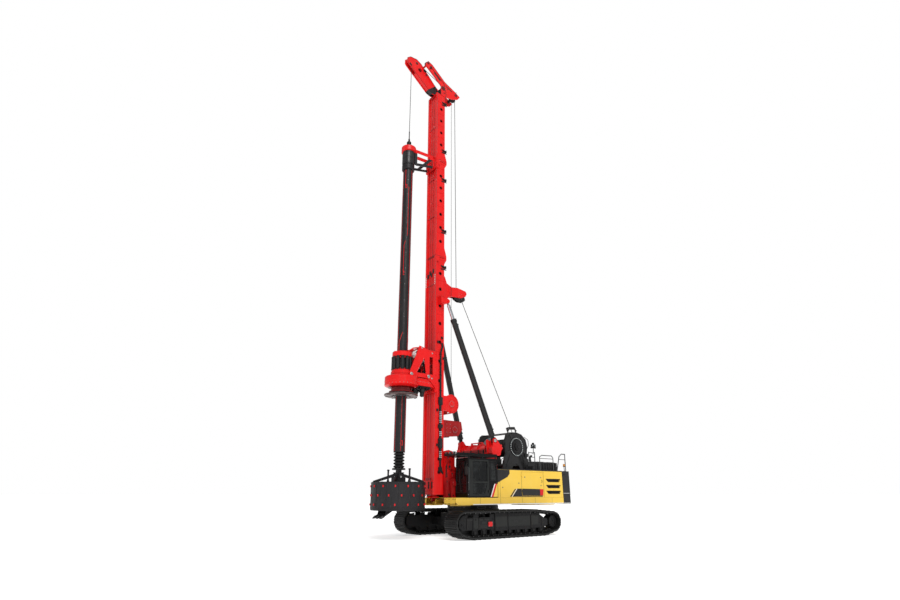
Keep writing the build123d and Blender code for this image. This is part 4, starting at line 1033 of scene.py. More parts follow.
def buildCarTrim(setup):
    low, high = setup["ringZ"]
    trim = Shape().hoop(*setup["ring"], low, high, (0, 0, 0), "z", 72)
    for side in (1, -1):
        for x in setup["feet"]:
            trim.block((x + 0.04, x + 0.66), ordered(side * 1.30, side * 1.34), (0.52, 0.86), 0.01)
            bolted("undercarriage", "large",
                   [(x + u, side * 1.35, z) for u in (0.08, 0.62) for z in (0.57, 0.81)], (0, side, 0))
    trim.piece("slew_flange", "undercarriage", frameBlack)
    bolted("undercarriage", "dark", ringSpots((0, 0, low - 0.008), *setup["ringBolts"]), (0, 0, -1))
    # hoses from the centre joint to the track motors, clipped under the cross-beams
    hoses = Shape()
    for i in range(3):
        z = 0.9 + 0.05 * i
        hoses.pipe([(-1.2, 0.75, z), (-1.7, 0.9, z), (-2.1, 1.4, z - 0.15), (-2.6, 1.82, z - 0.2)], 0.018, 8,
                   0.15)
    hoses.mirrored().piece("track_motor_hoses", "undercarriage", rubberAndShade)
    radius, z = setup["grease"]
    turns = [math.pi / 6 * i for i in range(12)]
    bolted("undercarriage", "small", [(radius * math.cos(a), radius * math.sin(a), z) for a in turns],
           [(math.cos(a), math.sin(a), 0) for a in turns])


buildCarTrim(carTrim)
print("undercarriage built")


def onWall(name, outline, low, high, finish):
    # the same flat film on both side walls
    Shape().plate(outline, "y", low, high).mirrored().piece(name, "upper", finish)


sideFilm = {
    "wall": 1.6055,              # outer face of the housing walls
    "film": 0.0035,              # thickness of a film on the wall
    "band": [(-1.22, 1.80), (-1.60, 2.19), (-1.945, 2.188), (-1.945, 1.80)],
    "bandFoot": [(-1.945, 1.80), (-1.945, 1.848), (-3.50, 1.848), (-3.48, 1.80)],
    "bandDoor": [(-1.965, 1.862), (-1.965, 2.187), (-3.575, 2.172), (-3.53, 1.862)],
    "redEnd": [(-3.30, 1.862), (-3.30, 2.174), (-3.575, 2.172), (-3.53, 1.862)],
    "panel": [(-0.255, 2.46), (-0.94, 2.74), (-1.10, 2.90), (-1.10, 3.075), (-0.255, 3.075)],
    "chevrons": [(-1.085, -1.175), (-1.245, -1.285)],
    "bandEdge": [(-1.215, 1.80), (-1.585, 2.182), (-1.625, 2.182), (-1.255, 1.80)],
}


def buildSideFilm(setup):
    y0, y1 = setup["wall"] - 0.001, setup["wall"] + setup["film"]
    onWall("side_band_front", setup["band"], y0, y1, black)
    onWall("side_band_foot", setup["bandFoot"], y0, y1, black)
    panel = Shape().plate(setup["panel"], "y", y0, y1 + 0.012, 0.003)
    panel.mirrored().piece("rear_cab_panel", "upper", black)
    for word, side in (("left", 1), ("right", -1)):
        body = f"service_door_{word}"
        band, end = Shape(), Shape()
        band.plate(setup["bandDoor"], "y", *ordered(side * y0, side * y1))
        band.piece(f"door_band_{word}", body, black)
        end.plate(setup["redEnd"], "y", *ordered(side * (y1 - 0.001), side * (y1 + 0.001)))
        end.piece(f"door_band_end_{word}", body, stripeRed)
    # two slanted dashes ahead of the band, then a pale line along its sloped front
    dashes = Shape()
    for a, b in setup["chevrons"]:
        dashes.plate([(a, 1.80), (a - 0.36, 2.17), (b - 0.36, 2.17), (b, 1.80)], "y", y0, y1)
    dashes.mirrored().piece("side_band_dashes", "upper", black)
    onWall("side_band_edge", setup["bandEdge"], y1 - 0.001, y1 + 0.001, white)


buildSideFilm(sideFilm)

cabStripe = {
    "face": 1.611,
    "film": 0.002,
    "top": (-0.10, 2.40),
    "foot": (0.17, 1.80),
    "width": 0.12,
    "rear": -0.248,
}


def buildCabStripe(setup):
    # white and red stripe down the cab's lower rear corner, yellow behind it
    y0, y1 = setup["face"] - setup["film"], setup["face"] + setup["film"]
    (xt, zt), (xf, zf), w = setup["top"], setup["foot"], setup["width"]
    steps = (("cab_stripe_white", xf + 0.5 * w, xf, white), ("cab_stripe_red", xf, xf - w, stripeRed))
    for name, front, rear, finish in steps:
        shift = xt - xf
        stripe = Shape().plate([(front, zf), (front + shift, zt), (rear + shift, zt), (rear, zf)], "y", y0,
                               y1)
        stripe.piece(name, "upper", finish)
    field = Shape().plate([(xf - w, zf), (xt - w, zt), (setup["rear"], zt), (setup["rear"], zf)], "y", y0,
                          y1 - 0.001)
    field.piece("cab_stripe_field", "upper", yellow)


buildCabStripe(cabStripe)

wallTrim = {
    "wall": 1.6055,
    "seams": [((-0.43, -0.43), (1.79, 2.52)), ((-0.43, -0.294), (2.50, 2.50)),
              ((-1.945, -1.945), (2.20, 3.02)), ((-3.61, -3.61), (1.79, 3.06))],
    "seamWidth": 0.012,
    "vents": (1.94, 2.23, 2.54),
    "ventFrame": [(-4.85, 0), (-3.96, 0), (-3.79, 0.15), (-4.95, 0.15), (-4.85, 0)],
    "ventBack": [(-4.87, -0.015), (-3.94, -0.015), (-3.77, 0.165), (-4.97, 0.165)],
    "slats": 5,
    "locks": [(-0.6, 2.24), (-1.75, 2.45)],
    "doorLocks": [(-3.4, 2.35), (-3.4, 2.75), (-2.2, 2.75)],
    "lockProfile": ((0.0, 0.014), (0.014, 0.014), (0.028, 0.008), (0.034, 0), (0, 0)),
    "grip": ((1.60, 2.50), (1.65, 2.50), (1.65, 2.62), (1.60, 2.62)),
}


def buildWallTrim(setup):
    wall, w = setup["wall"], setup["seamWidth"] / 2
    seams = Shape()
    for (x0, x1), (z0, z1) in setup["seams"]:
        seams.block((min(x0, x1) - w, max(x0, x1) + w), (wall - 0.001, wall + 0.0015), (z0 - w, z1 + w))
    seams.mirrored().piece("panel_seams", "upper", black)

    # slats with a dark sheet behind them, which is painted shade inside the vents, and frames round them
    slats, slatFaces, back, frames = [], [], Shape(), Shape()
    for z in setup["vents"]:
        for side in (1, -1):
            slats += [(-4.40, side * 1.578, z + 0.015 + 0.03 * i) for i in range(setup["slats"])]
            slatFaces += [(0, side * 0.55, 1)] * setup["slats"]
        back.plate([(x, z + u) for x, u in setup["ventBack"]], "y", 1.545, 1.558)
        frames.edge([(x, z + u) for x, u in setup["ventFrame"]], wall, 0.008, 6)
    back.mirrored().piece("vent_backs", "upper", rubberAndShade)
    grown("vent_slats", barsAny, slats, {"Size": (0.92, 0.034, 0.004)}, "upper", black, facing=slatFaces)
    frames.mirrored().piece("vent_frames", "upper", black)

    locks = Shape()
    for x, z in setup["locks"]:
        locks.turn([(0.0, 0.0), (0.014, 0.0), (0.028, -0.006), (0.034, -0.016), (0.0, -0.016)],
                   (x, wall + 0.014, z), "y", 20)
        locks.block((x - 0.004, x + 0.004), (wall + 0.012, wall + 0.018), (z - 0.012, z + 0.012))
    locks.mirrored().piece("panel_locks", "upper", bareSteel)
    for word, side in (("left", 1), ("right", -1)):
        body = f"service_door_{word}"
        locks, grip, rim = Shape(), Shape(), Shape()
        for x, z in setup["doorLocks"]:
            locks.turn([(r, side * height) for r, height in setup["lockProfile"]], (x, side * wall, z), "y",
                       20)
        locks.piece(f"door_locks_{word}", body, bareSteel)
        grip.pipe([(-3.45, side * y, z) for y, z in setup["grip"]], 0.009, 8, 0.02)
        grip.piece(f"door_grip_{word}", body, black)
        for z in (1.90, 2.95):
            rim.block((-3.54, -2.01), ordered(side * 1.548, side * 1.562), (z - 0.01, z + 0.01), 0.003)
        rim.piece(f"door_seal_{word}", body, rubberAndShade)


buildWallTrim(wallTrim)

deckTrim = {
    "face": 1.611,
    "low": 1.44,
    "high": 1.755,
    "seams": (-4.2, -2.9, -1.95, -0.42, 0.9),
    "covers": ((1.35, 2.05), (-4.6, -3.4), (-3.1, -2.0)),
    "step": ((0.55, 1.05), (1.55, 1.60)),
}


def buildDeckTrim(setup):
    # pale lines along the lower edge, a painted highlight on the channels' bottom flange, with bolts and
    # steps along the deck's side channels
    face, low, high = setup["face"], setup["low"], setup["high"]
    edge = Shape()
    edge.block((-5.12, 1.35), (face - 0.004, face + 0.004), (low + 0.002, low + 0.045))
    edge.block((-5.79, -5.14), (face - 0.003, face + 0.003), (low + 0.002, low + 0.036))
    edge.mirrored().piece("deck_edge_highlights", "upper", white)
    seam = Shape()
    for x in setup["seams"]:
        seam.block((x - 0.005, x + 0.005), (face - 0.002, face + 0.0015), (low + 0.02, high))
    seam.mirrored().piece("deck_seams", "upper", black)
    boltedSides("upper", "small", [(-4.9 + 0.4 * i, face + 0.003, low + 0.06) for i in range(12)])
    # a step under the cab door, on the cab's side only
    (x0, x1), (y0, y1) = setup["step"]
    steps = Shape().block((x0, x1), (y0, y1), (1.275, 1.285))
    for z in (1.37, 1.29):
        steps.pipe([(x0, y0, 1.5), (x0, y1, z), (x1, y1, z), (x1, y0, 1.5)], 0.014, 8, 0.04)
    steps.piece("cab_steps", "upper", black)
    spots = [(2.402, side * y, z) for side in (1, -1) for y in (0.8, 1.1, 1.4, 1.55) for z in (1.5, 1.7)]
    bolted("upper", "dark", spots, (1, 0, 0))
    under = Shape()
    for span in setup["covers"]:
        under.block(span, (0.75, 1.42), (1.395, 1.438), 0.01)
    under.mirrored().piece("deck_floor_covers", "upper", yellow)


buildDeckTrim(deckTrim)

weightTrim = {"rear": -5.80, "side": 1.611}


def buildWeightTrim(setup):
    rear, side = setup["rear"], setup["side"]
    lines = Shape()
    lines.block((-5.66, -5.15), (side - 0.003, side + 0.002), (1.962, 1.976))
    lines.mirrored().piece("weight_side_line", "upper", white)
    lamps = Shape()
    for y in (1.12, 1.28):
        lamps.turn([(0.0, -0.014), (0.045, -0.012), (0.058, 0.0), (0.058, 0.012), (0.0, 0.012)],
                   (rear - 0.004, y, 2.015), "x", 24)
    lamps.mirrored().piece("rear_lamps", "upper", redLens)
    beds = Shape().block((rear - 0.004, rear + 0.01), (1.06, 1.34), (1.935, 2.115), 0.004)
    beds.mirrored().piece("rear_lamp_beds", "upper", rubberAndShade)
    seams = Shape().block((rear - 0.003, rear + 0.004), (-1.45, 1.45), (2.52, 2.532))
    seams.block((rear - 0.003, rear + 0.004), (-0.006, 0.006), (1.60, 3.0))
    for y in (-0.8, 0.8):
        for z, back in ((2.85, 0.01), (1.75, 0.012)):
            seams.rod((rear - back, y, z), (rear + 0.02, y, z), 0.06, 24)
    seams.piece("weight_joints", "upper", frameBlack)
    marks = Shape()
    for y in (-1.40, -1.25, 1.25, 1.40):
        marks.block((rear - 0.003, rear + 0.004), (y - 0.05, y + 0.05), (1.64, 1.70))
    marks.piece("rear_reflectors", "upper", redLens)
    boltedSides("upper", "large", [(-5.3, side - 0.002, 1.55), (-5.3, side - 0.002, 2.95)])


buildWeightTrim(weightTrim)

roofTrim = {
    "beacon": (-5.72, 1.30, 3.12),
    "standLamp": (-3.81, 0.80, 4.10),
    "hoodRear": -5.09,
    "hoodHalf": 1.33,
    "hoodTop": 3.56,
}


def buildRoofTrim(setup):
    x, y, z = setup["beacon"]
    post = Shape().post(x, y, z, z + 0.26, 0.018, 12)
    post.turn([(0, 0), (0.05, 0), (0.05, 0.02), (0.02, 0.04), (0, 0.04)], (x, y, z), "z", 20)
    post.hoop(0, 0.062, 0, 0.03, (x, y, z + 0.25), "z", 24).piece("beacon_post", "upper", black)
    lens = Shape().turn([(0, 0), (0.055, 0), (0.058, 0.07), (0.05, 0.11), (0.02, 0.13), (0, 0.13)],
                        (x, y, z + 0.28), "z", 28)
    lens.piece("beacon_lens", "upper", amber)
    x, y, z = setup["standLamp"]
    stand, lens = Shape().post(x, y, z - 0.05, z + 0.35, 0.02, 10), Shape()
    stand.block((x - 0.16, x + 0.16), (y - 0.05, y + 0.05), (z + 0.22, z + 0.30), 0.008)
    for u in (-0.11, 0.08):
        stand.block((x + u - 0.055, x + u + 0.055), (y - 0.05, y + 0.05), (z + 0.31, z + 0.43), 0.014)
        stand.post(x + u, y, z + 0.28, z + 0.33, 0.014, 8)
        lens.turn([(0, 0.004), (0.036, 0.0), (0.036, -0.02), (0, -0.02)], (x + u, y + 0.056, z + 0.37), "y",
                  20)
    stand.block((x - 0.05, x + 0.03), (y - 0.06, y + 0.04), (z + 0.40, z + 0.52), 0.014)
    stand.pipe([(x, y, z - 0.1), (x + 0.16, y, z - 0.02), (x + 0.36, y, z - 0.02)], 0.012, 8, 0.05)
    stand.piece("stand_camera", "upper", black)
    lens.piece("stand_lamp_lenses", "upper", clearLens)

    x0, half, top = setup["hoodRear"], setup["hoodHalf"], setup["hoodTop"]
    lids = Shape()
    for a, b in ((x0 + 0.08, -4.35), (-4.27, -3.5)):
        middle = (a + b) / 2
        for side in (-1, 1):
            lids.block((a, b), ordered(side * 0.06, side * (half - 0.08)), (top - 0.002, top + 0.02), 0.008)
            grip = ((-0.1, 0.01), (-0.1, 0.07), (0.1, 0.07), (0.1, 0.01))
            lids.pipe([(middle + u, side * 0.2, top + v) for u, v in grip], 0.009, 8, 0.02)
    lids.piece("hood_lids", "upper", black)
    bars = [(x, side * (0.70 + 0.03 * i), top + 0.026) for x in (-4.70, -3.89) for side in (-1, 1)
            for i in range(17)]
    grown("hood_grille_slats", barsAny, bars, {"Size": (0.54, 0.026, 0.004)}, "upper", frameBlack,
          facing=(0, -0.4, 1))
    # fold edges along the hood's sides, above the CAD's upright folds
    ribs = [(-3.37 - 0.2 * i, side * (half + 0.004), 3.35) for side in (1, -1) for i in range(9)]
    barRow("hood_side_ribs", ribs, (0.03, 0.012, 0.34), "upper", black)
    # anti-slip walkway beside the hood and in front of it
    studs = [(x0 + 0.1 + 0.09 * i, side * (1.40 + 0.07 * k), 3.132) for side in (1, -1) for i in range(20)
             for k in range(3)]
    studs += [(-2.95 + 0.09 * i, side * (1.29 + 0.07 * k), 3.132) for side in (1, -1) for i in range(18)
              for k in range(4)]
    discRow("walkway_studs", studs, 0.014, 0.01, 8, "upper", railGrey, (0, 0, 1))
    pipes = Shape()
    pipes.hoop(0.055, 0.075, 0.0, 0.22, (-4.72, -0.35, top), "z", 28)
    pipes.pipe([(-4.72, -0.35, top + 0.2), (-4.72, -0.35, top + 0.38), (-4.86, -0.35, top + 0.46)], 0.06, 20,
               0.1)
    pipes.turn([(0.0, 0.0), (0.13, 0.0), (0.13, 0.14), (0.15, 0.16), (0.13, 0.22), (0.0, 0.24)],
               (-3.75, -0.42, top + 0.02), "z", 28)
    pipes.piece("exhaust_and_intake", "upper", frameBlack)


buildRoofTrim(roofTrim)
print("deck and housing trim built")


cabTrim = {
    "wall": 1.61,
    "inner": 0.70,
    "quarter": ((-0.17, 0.24), (2.56, 3.45)),
    "doorUpper": ((0.40, 1.36), (2.50, 3.44)),
    "doorLower": [(0.60, 1.91), (1.36, 1.91), (1.36, 2.43), (0.40, 2.43)],
    "gasket": 0.016,
}


def seals(shape, corners, y, width):
    # a rubber edge round a window whose corners are given in x and z
    return shape.loop([(x, y, z) for x, z in corners], width / 2)


def buildCabTrim(setup):
    wall, w = setup["wall"], setup["gasket"]
    (qx, qz), ((ux0, ux1), (uz0, uz1)) = setup["quarter"], setup["doorUpper"]
    fixed = seals(Shape(), [(qx[0], qz[0]), (qx[1], qz[0]), (qx[1], qz[1]), (qx[0], qz[1])], wall - 0.002, w)
    seals(fixed, [(0.0, 2.35), (1.5, 2.35), (1.5, 3.45), (0.0, 3.45)], setup["inner"] + 0.002, w)
    # the windscreen's edge follows the sloped front
    fixed.loop([(1.70, 0.77, 2.0), (1.70, 1.54, 2.0), (1.655, 1.54, 3.48), (1.655, 0.77, 3.48)],
               w / 2 + 0.002)
    fixed.loop([(-0.252, 0.8, 2.6), (-0.252, 1.51, 2.6), (-0.252, 1.51, 3.42), (-0.252, 0.8, 3.42)], w / 2)
    fixed.peg(1.682, 2.38, 0.77, 1.54, 0.012, 8)
    # the door's frame seal in the wall's opening
    seals(fixed, [(0.305, 1.825), (1.585, 1.825), (1.585, 3.505), (0.305, 3.505)], wall - 0.004, 0.01)
    fixed.piece("cab_window_seals", "upper", rubberAndShade)
    moving = seals(Shape(), [(ux0, uz0), (ux1, uz0), (ux1, uz1), (ux0, uz1)], wall - 0.001, w)
    seals(moving, setup["doorLower"], wall - 0.001, w)
    moving.block((0.885, 0.90), (wall - 0.03, wall - 0.012), (uz0, uz1), 0.003)
    moving.piece("door_window_seals", "cab_door", rubberAndShade)

    handle = Shape().block((1.40, 1.54), (wall - 0.002, wall + 0.006), (2.42, 2.52), 0.006)
    handle.pipe([(1.42, wall, 2.48), (1.42, wall + 0.035, 2.48), (1.53, wall + 0.035, 2.46),
                 (1.53, wall, 2.46)],
                0.008, 8, 0.012)
    handle.pipe([(1.46, wall - 0.004, 2.62), (1.46, wall + 0.032, 2.64), (1.46, wall + 0.032, 3.10),
                 (1.46, wall - 0.004, 3.12)], 0.010, 8, 0.03)
    handle.piece("cab_door_handle", "cab_door", black)
    grab = Shape().pipe([(1.64, wall - 0.004, 2.1), (1.64, wall + 0.04, 2.12), (1.625, wall + 0.04, 3.1),
                         (1.625, wall - 0.004, 3.12)], 0.013, 10, 0.03)
    grab.piece("cab_grab_rail", "upper", railGrey)

    wiper = Shape().block((1.692, 1.72), (1.08, 1.22), (2.02, 2.10), 0.01)
    wiper.rod((1.712, 1.15, 2.08), (1.700, 1.02, 2.62), 0.007, 8)
    wiper.rod((1.706, 1.02, 2.40), (1.681, 1.02, 3.05), 0.008, 8)
    wiper.piece("windscreen_wiper", "upper", rubberAndShade)
    mirror = Shape().pipe([(1.66, wall - 0.02, 3.30), (1.80, wall + 0.10, 3.32), (1.86, wall + 0.14, 3.25),
                           (1.86, wall + 0.14, 2.85)], 0.011, 8, 0.04)
    mirror.block((1.85, 1.89), (wall + 0.04, wall + 0.22), (2.80, 3.16), 0.014)
    mirror.piece("cab_mirror", "upper", black)
    pane = Shape().block((1.846, 1.851), (wall + 0.055, wall + 0.205), (2.82, 3.14))
    pane.piece("cab_mirror_glass", "upper", chrome)
    # visor and roof details under and on the guard
    visor = Shape().plate([(1.62, 3.60), (2.43, 3.655), (2.43, 3.672), (1.62, 3.62)], "y", 0.72, 1.59, 0.003)
    for y in (1.612, 0.688):
        visor.block((-0.268, 2.388), (y, y + 0.01), (3.668, 3.80), 0.004)
    visor.piece("cab_visor", "upper", cabBlack)
    crossBars = [(-0.20 + 0.05 * i, 1.155, 3.725) for i in range(52)]
    barRow("guard_mesh_long", crossBars, (0.008, 0.86, 0.006), "upper", black)
    longBars = [(1.06, 0.76 + 0.05 * i, 3.733) for i in range(16)]
    barRow("guard_mesh_cross", longBars, (2.58, 0.008, 0.006), "upper", black)
    lamps, lenses = Shape(), Shape()
    for y in (0.86, 1.155, 1.45):
        lamps.block((2.33, 2.41), (y - 0.07, y + 0.07), (3.74, 3.84), 0.014)
        lamps.post(2.36, y, 3.72, 3.76, 0.014, 8)
        lenses.block((2.408, 2.416), (y - 0.058, y + 0.058), (3.75, 3.83), 0.006)
    lamps.piece("guard_lamps", "upper", black)
    lenses.piece("guard_lamp_lenses", "upper", darkLens)
    ribs = Shape()
    for y in (0.80, 1.0, 1.31, 1.51):
        ribs.block((-0.2, 0.42), (y - 0.02, y + 0.02), (3.578, 3.592), 0.006)
    ribs.piece("cab_roof_ribs", "upper", cabBlack)
    bolted("upper", "small", [(x, 1.6105, z) for x in (-0.21, 1.64) for z in (1.9, 2.45)], (0, 1, 0))


buildCabTrim(cabTrim)

seatShape = {
    "base": ((0.16, 0.72), (0.93, 1.39), (2.24, 2.375)),
    "back": {"foot": (0.13, 2.33), "head": (0.06, 2.86), "thick": 0.12, "y": (0.94, 1.38),
             "fullness": 1.0, "channels": 4},
    "rest": {"foot": (0.055, 2.87), "head": (0.035, 3.04), "thick": 0.085, "y": (1.03, 1.29),
             "fullness": 0.5, "channels": 1},
    "crown": 0.022, "channels": 3,
}


def cushion(name, origin, along, out, size, crown, channels):
    # A crowned closed pad: a fine grid on both faces, pulled in along its rim and along sewn channels.
    steps, made = 22, bmesh.new()
    long, wide, thick = size
    layers = []
    for face in (1, -1):
        rows = []
        for i in range(steps + 1):
            u, row = i / steps, []
            for j in range(steps + 1):
                v = j / steps
                edge = min(u, 1 - u, v, 1 - v)
                fall = 1 - (1 - min(1, edge / 0.22)) ** 2.4
                seam = min(abs(u - k / channels) for k in range(1, channels)) if channels > 1 else 1
                dip = max(0.0, 1 - seam / 0.045) * 0.5 if face > 0 and 0.16 < v < 0.84 else 0
                corner = 1 - 0.03 * math.sin(math.pi * v) * (edge == min(u, 1 - u))
                arch = math.sin(math.pi * v)
                height = thick / 2 * (0.35 + 0.65 * fall) + crown * (fall * arch - dip)
                across = Vector((0, (v - 0.5) * wide * corner, 0))
                row.append(made.verts.new(Vector(origin) + Vector(along) * (u * long) + across
                                          + Vector(out) * (face * height)))
            rows.append(row)
        layers.append(rows)
    upper, lower = layers
    for i in range(steps):
        for j in range(steps):
            for rows, way in ((upper, 1), (lower, -1)):
                ring = [rows[i][j], rows[i + 1][j], rows[i + 1][j + 1], rows[i][j + 1]]
                made.faces.new(ring[::way])
    rim = ([(i, 0) for i in range(steps)] + [(steps, j) for j in range(steps)]
           + [(i, steps) for i in range(steps, 0, -1)] + [(0, j) for j in range(steps, 0, -1)])
    for (i, j), (k, m) in zip(rim, rim[1:] + rim[:1]):
        made.faces.new([upper[i][j], upper[k][m], lower[k][m], lower[i][j]])
    pad = Shape()
    pad.mesh.free()
    pad.mesh = made
    return pad.piece(name, "upper", seatCloth, 60)


def buildSeat(setup):
    (x0, x1), (y0, y1), (z0, z1) = setup["base"]
    crown = setup["crown"]
    pads = [cushion("seat_cushion", (x0, (y0 + y1) / 2, (z0 + z1) / 2 - 0.01), (1, 0, 0), (0, 0, 1),
                    (x1 - x0, y1 - y0, z1 - z0), crown, setup["channels"])]
    for name in ("back", "rest"):
        part = setup[name]
        a, b = [Vector((x, 0, z)) for x, z in (part["foot"], part["head"])]
        up = (b - a).normalized()
        size = ((b - a).length, part["y"][1] - part["y"][0], part["thick"])
        pads.append(cushion(f"seat_{name}", (a[0], sum(part["y"]) / 2, a[2]), up, (up[2], 0, -up[0]), size,
                            crown * part["fullness"], part["channels"]))
    frame = Shape().block((0.28, 0.58), (1.02, 1.30), (1.815, 2.0), 0.02)
    for i in range(6):
        inset, z = 0.006 * (i % 2), 2.0 + 0.03 * i
        frame.block((0.30 + inset, 0.56 - inset), (1.04, 1.28), (z, z + 0.022), 0.006)
    frame.block((0.2, 0.68), (0.97, 1.35), (2.185, 2.235), 0.015)
    for y in (0.83, 1.395):
        frame.block((0.3, 0.42), (y + 0.01, y + 0.09), (2.25, 2.39), 0.01)
        frame.block((0.2, 0.8), (y, y + 0.1), (2.385, 2.475), 0.018)
        frame.block((0.30, 0.42), (y + 0.01, y + 0.09) if y > 1 else (y + 0.01, y + 0.12), (2.20, 2.26), 0.01)
        frame.rod((0.72, y + 0.05, 2.47), (0.74, y + 0.05, 2.56), 0.012, 10)
        frame.turn([(0, 0), (0.02, 0.005), (0.026, 0.03), (0.018, 0.06), (0, 0.07)], (0.742, y + 0.05, 2.55),
                   "z", 16)
    seat = frame.piece("seat_frame", "upper", plastic)
    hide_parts("operator_seat")
    screen = Shape().block((1.322, 1.328), (0.80, 1.07), (2.55, 2.71), 0.004)
    for i in range(4):
        screen.block((1.318, 1.324), (0.80 + 0.07 * i, 0.85 + 0.07 * i), (2.50, 2.53), 0.003)
    screen.piece("console_screen", "upper", glass)
    pedals = Shape()
    for y in (1.12, 1.24):
        pedals.plate([(1.28, 1.835), (1.44, 1.925), (1.435, 1.935), (1.275, 1.845)], "y", y, y + 0.09, 0.003)
        pedals.post(1.36, y + 0.045, 1.815, 1.885, 0.012, 8)
        pedals.rod((1.42, y + 0.045, 1.90), (1.46, y + 0.045, 2.30), 0.009, 8)
    pedals.piece("travel_pedals", "upper", gearSteel)


buildSeat(seatShape)

tankTrim = {
    "face": -1.605,
    "top": 2.80,
    "doors": (((-0.2, 0.62), 2.72), ((0.68, 1.45), 2.44)),
    "filler": (0.15, -1.2),
    "rail": ((1.62, 2.60), (1.68, 2.66), (1.40, 3.05), (0.0, 3.05), (0.0, 2.79)),
    "railY": -1.50,
}


def buildTankTrim(setup):
    face, top = setup["face"], setup["top"]
    (cx, cy), y = setup["filler"], setup["railY"]
    doors = Shape()
    for (x0, x1), high in setup["doors"]:
        doors.block((x0, x1), (face - 0.012, face + 0.004), (1.84, high), 0.006)
        grip = ((face, 2.1), (face - 0.045, 2.1), (face - 0.045, 2.22), (face, 2.22))
        doors.pipe([(x1 - 0.12, u, z) for u, z in grip], 0.009, 8, 0.02)
        for z in (1.92, 2.3):
            doors.post(x0 + 0.02, face - 0.016, z, z + 0.08, 0.014, 10)
    doors.turn([(0, 0), (0.085, 0), (0.085, 0.035), (0.07, 0.05), (0, 0.05)], (cx, cy, top - 0.002), "z", 28)
    for i in range(8):
        u, v = 0.085 * math.cos(math.pi / 4 * i), 0.085 * math.sin(math.pi / 4 * i)
        doors.block((cx + u - 0.01, cx + u + 0.01), (cy + v - 0.01, cy + v + 0.01), (top, top + 0.03))
    doors.pipe([(x, y, z) for x, z in setup["rail"]], 0.016, 10, 0.12)
    doors.post(0.7, y, 2.79, 3.05, 0.014, 8)
    doors.piece("tank_doors", "upper", black)
    places = [(-0.15 + 0.09 * i, -1.45 + 0.1 * k) for i in range(17) for k in range(6)]
    studs = [(u, v, top + 0.002) for u, v in places if abs(u - cx) > 0.12 or abs(v - cy) > 0.12]
    discRow("tank_top_studs", studs, 0.013, 0.01, 8, "upper", railGrey, (0, 0, 1))
    gauge = Shape().block((1.5, 1.54), (face - 0.01, face + 0.002), (1.9, 2.3), 0.004)
    gauge.piece("tank_gauge", "upper", clearLens)


buildTankTrim(tankTrim)
print("cab and tank built")


mainWinch = {
    "centre": (-2.22, 4.30),
    "bolts": ((1.10, 0.445, 28, "pale"), (1.10, 0.39, 32, "dark"), (1.15, 0.30, 18, "dark"),
              (1.23, 0.175, 10, "dark")),
    "coil": 0.452,
    "ropeRadius": 0.017,
    "halfLength": 0.925,
    "flanges": (-0.972, 0.968),
    "bosses": ((-2.95, 3.55), (-2.95, 4.55), (-1.45, 3.5), (-1.42, 4.75)),
    "outline": [(-3.03, 3.2), (-3.03, 3.42), (-2.97, 3.88), (-3.03, 4.35), (-2.935, 4.70), (-2.62, 4.955),
                (-2.25, 5.04), (-1.65, 5.0), (-1.515, 4.915), (-1.32, 4.43), (-1.42, 3.89), (-1.21, 3.4),
                (-1.18, 3.2)],
    "ribs": (((-2.85, 3.25), (-2.62, 3.92)), ((-1.42, 3.25), (-1.75, 3.90)), ((-2.95, 3.9), (-2.68, 4.1)),
             ((-1.5, 4.0), (-1.78, 4.12)), ((-2.7, 4.85), (-2.5, 4.68)), ((-1.75, 4.9), (-1.92, 4.68))),
    "boxes": (((-3.05, -2.72), 1.12, (3.40, 3.72), 0.015), ((-3.02, -2.80), 1.14, (3.80, 3.98), 0.015),
              ((-1.46, -1.24), 1.11, (3.42, 3.80), 0.015), ((-1.50, -1.36), 1.10, (4.20, 4.46), 0.012)),
    "pipes": (((0.5, 1.06, 0.55), (0.72, 1.12, 0.50), (0.86, 1.12, 0.2), (0.84, 1.06, -0.4)),
              ((-0.62, 1.07, 0.55), (-0.86, 1.12, 0.42), (-0.88, 1.12, 0.1), (-0.76, 1.07, -0.1))),
    "guideRollers": ((-1.66, 5.22), (-2.1, 5.27), (-2.23, 5.14)),
}


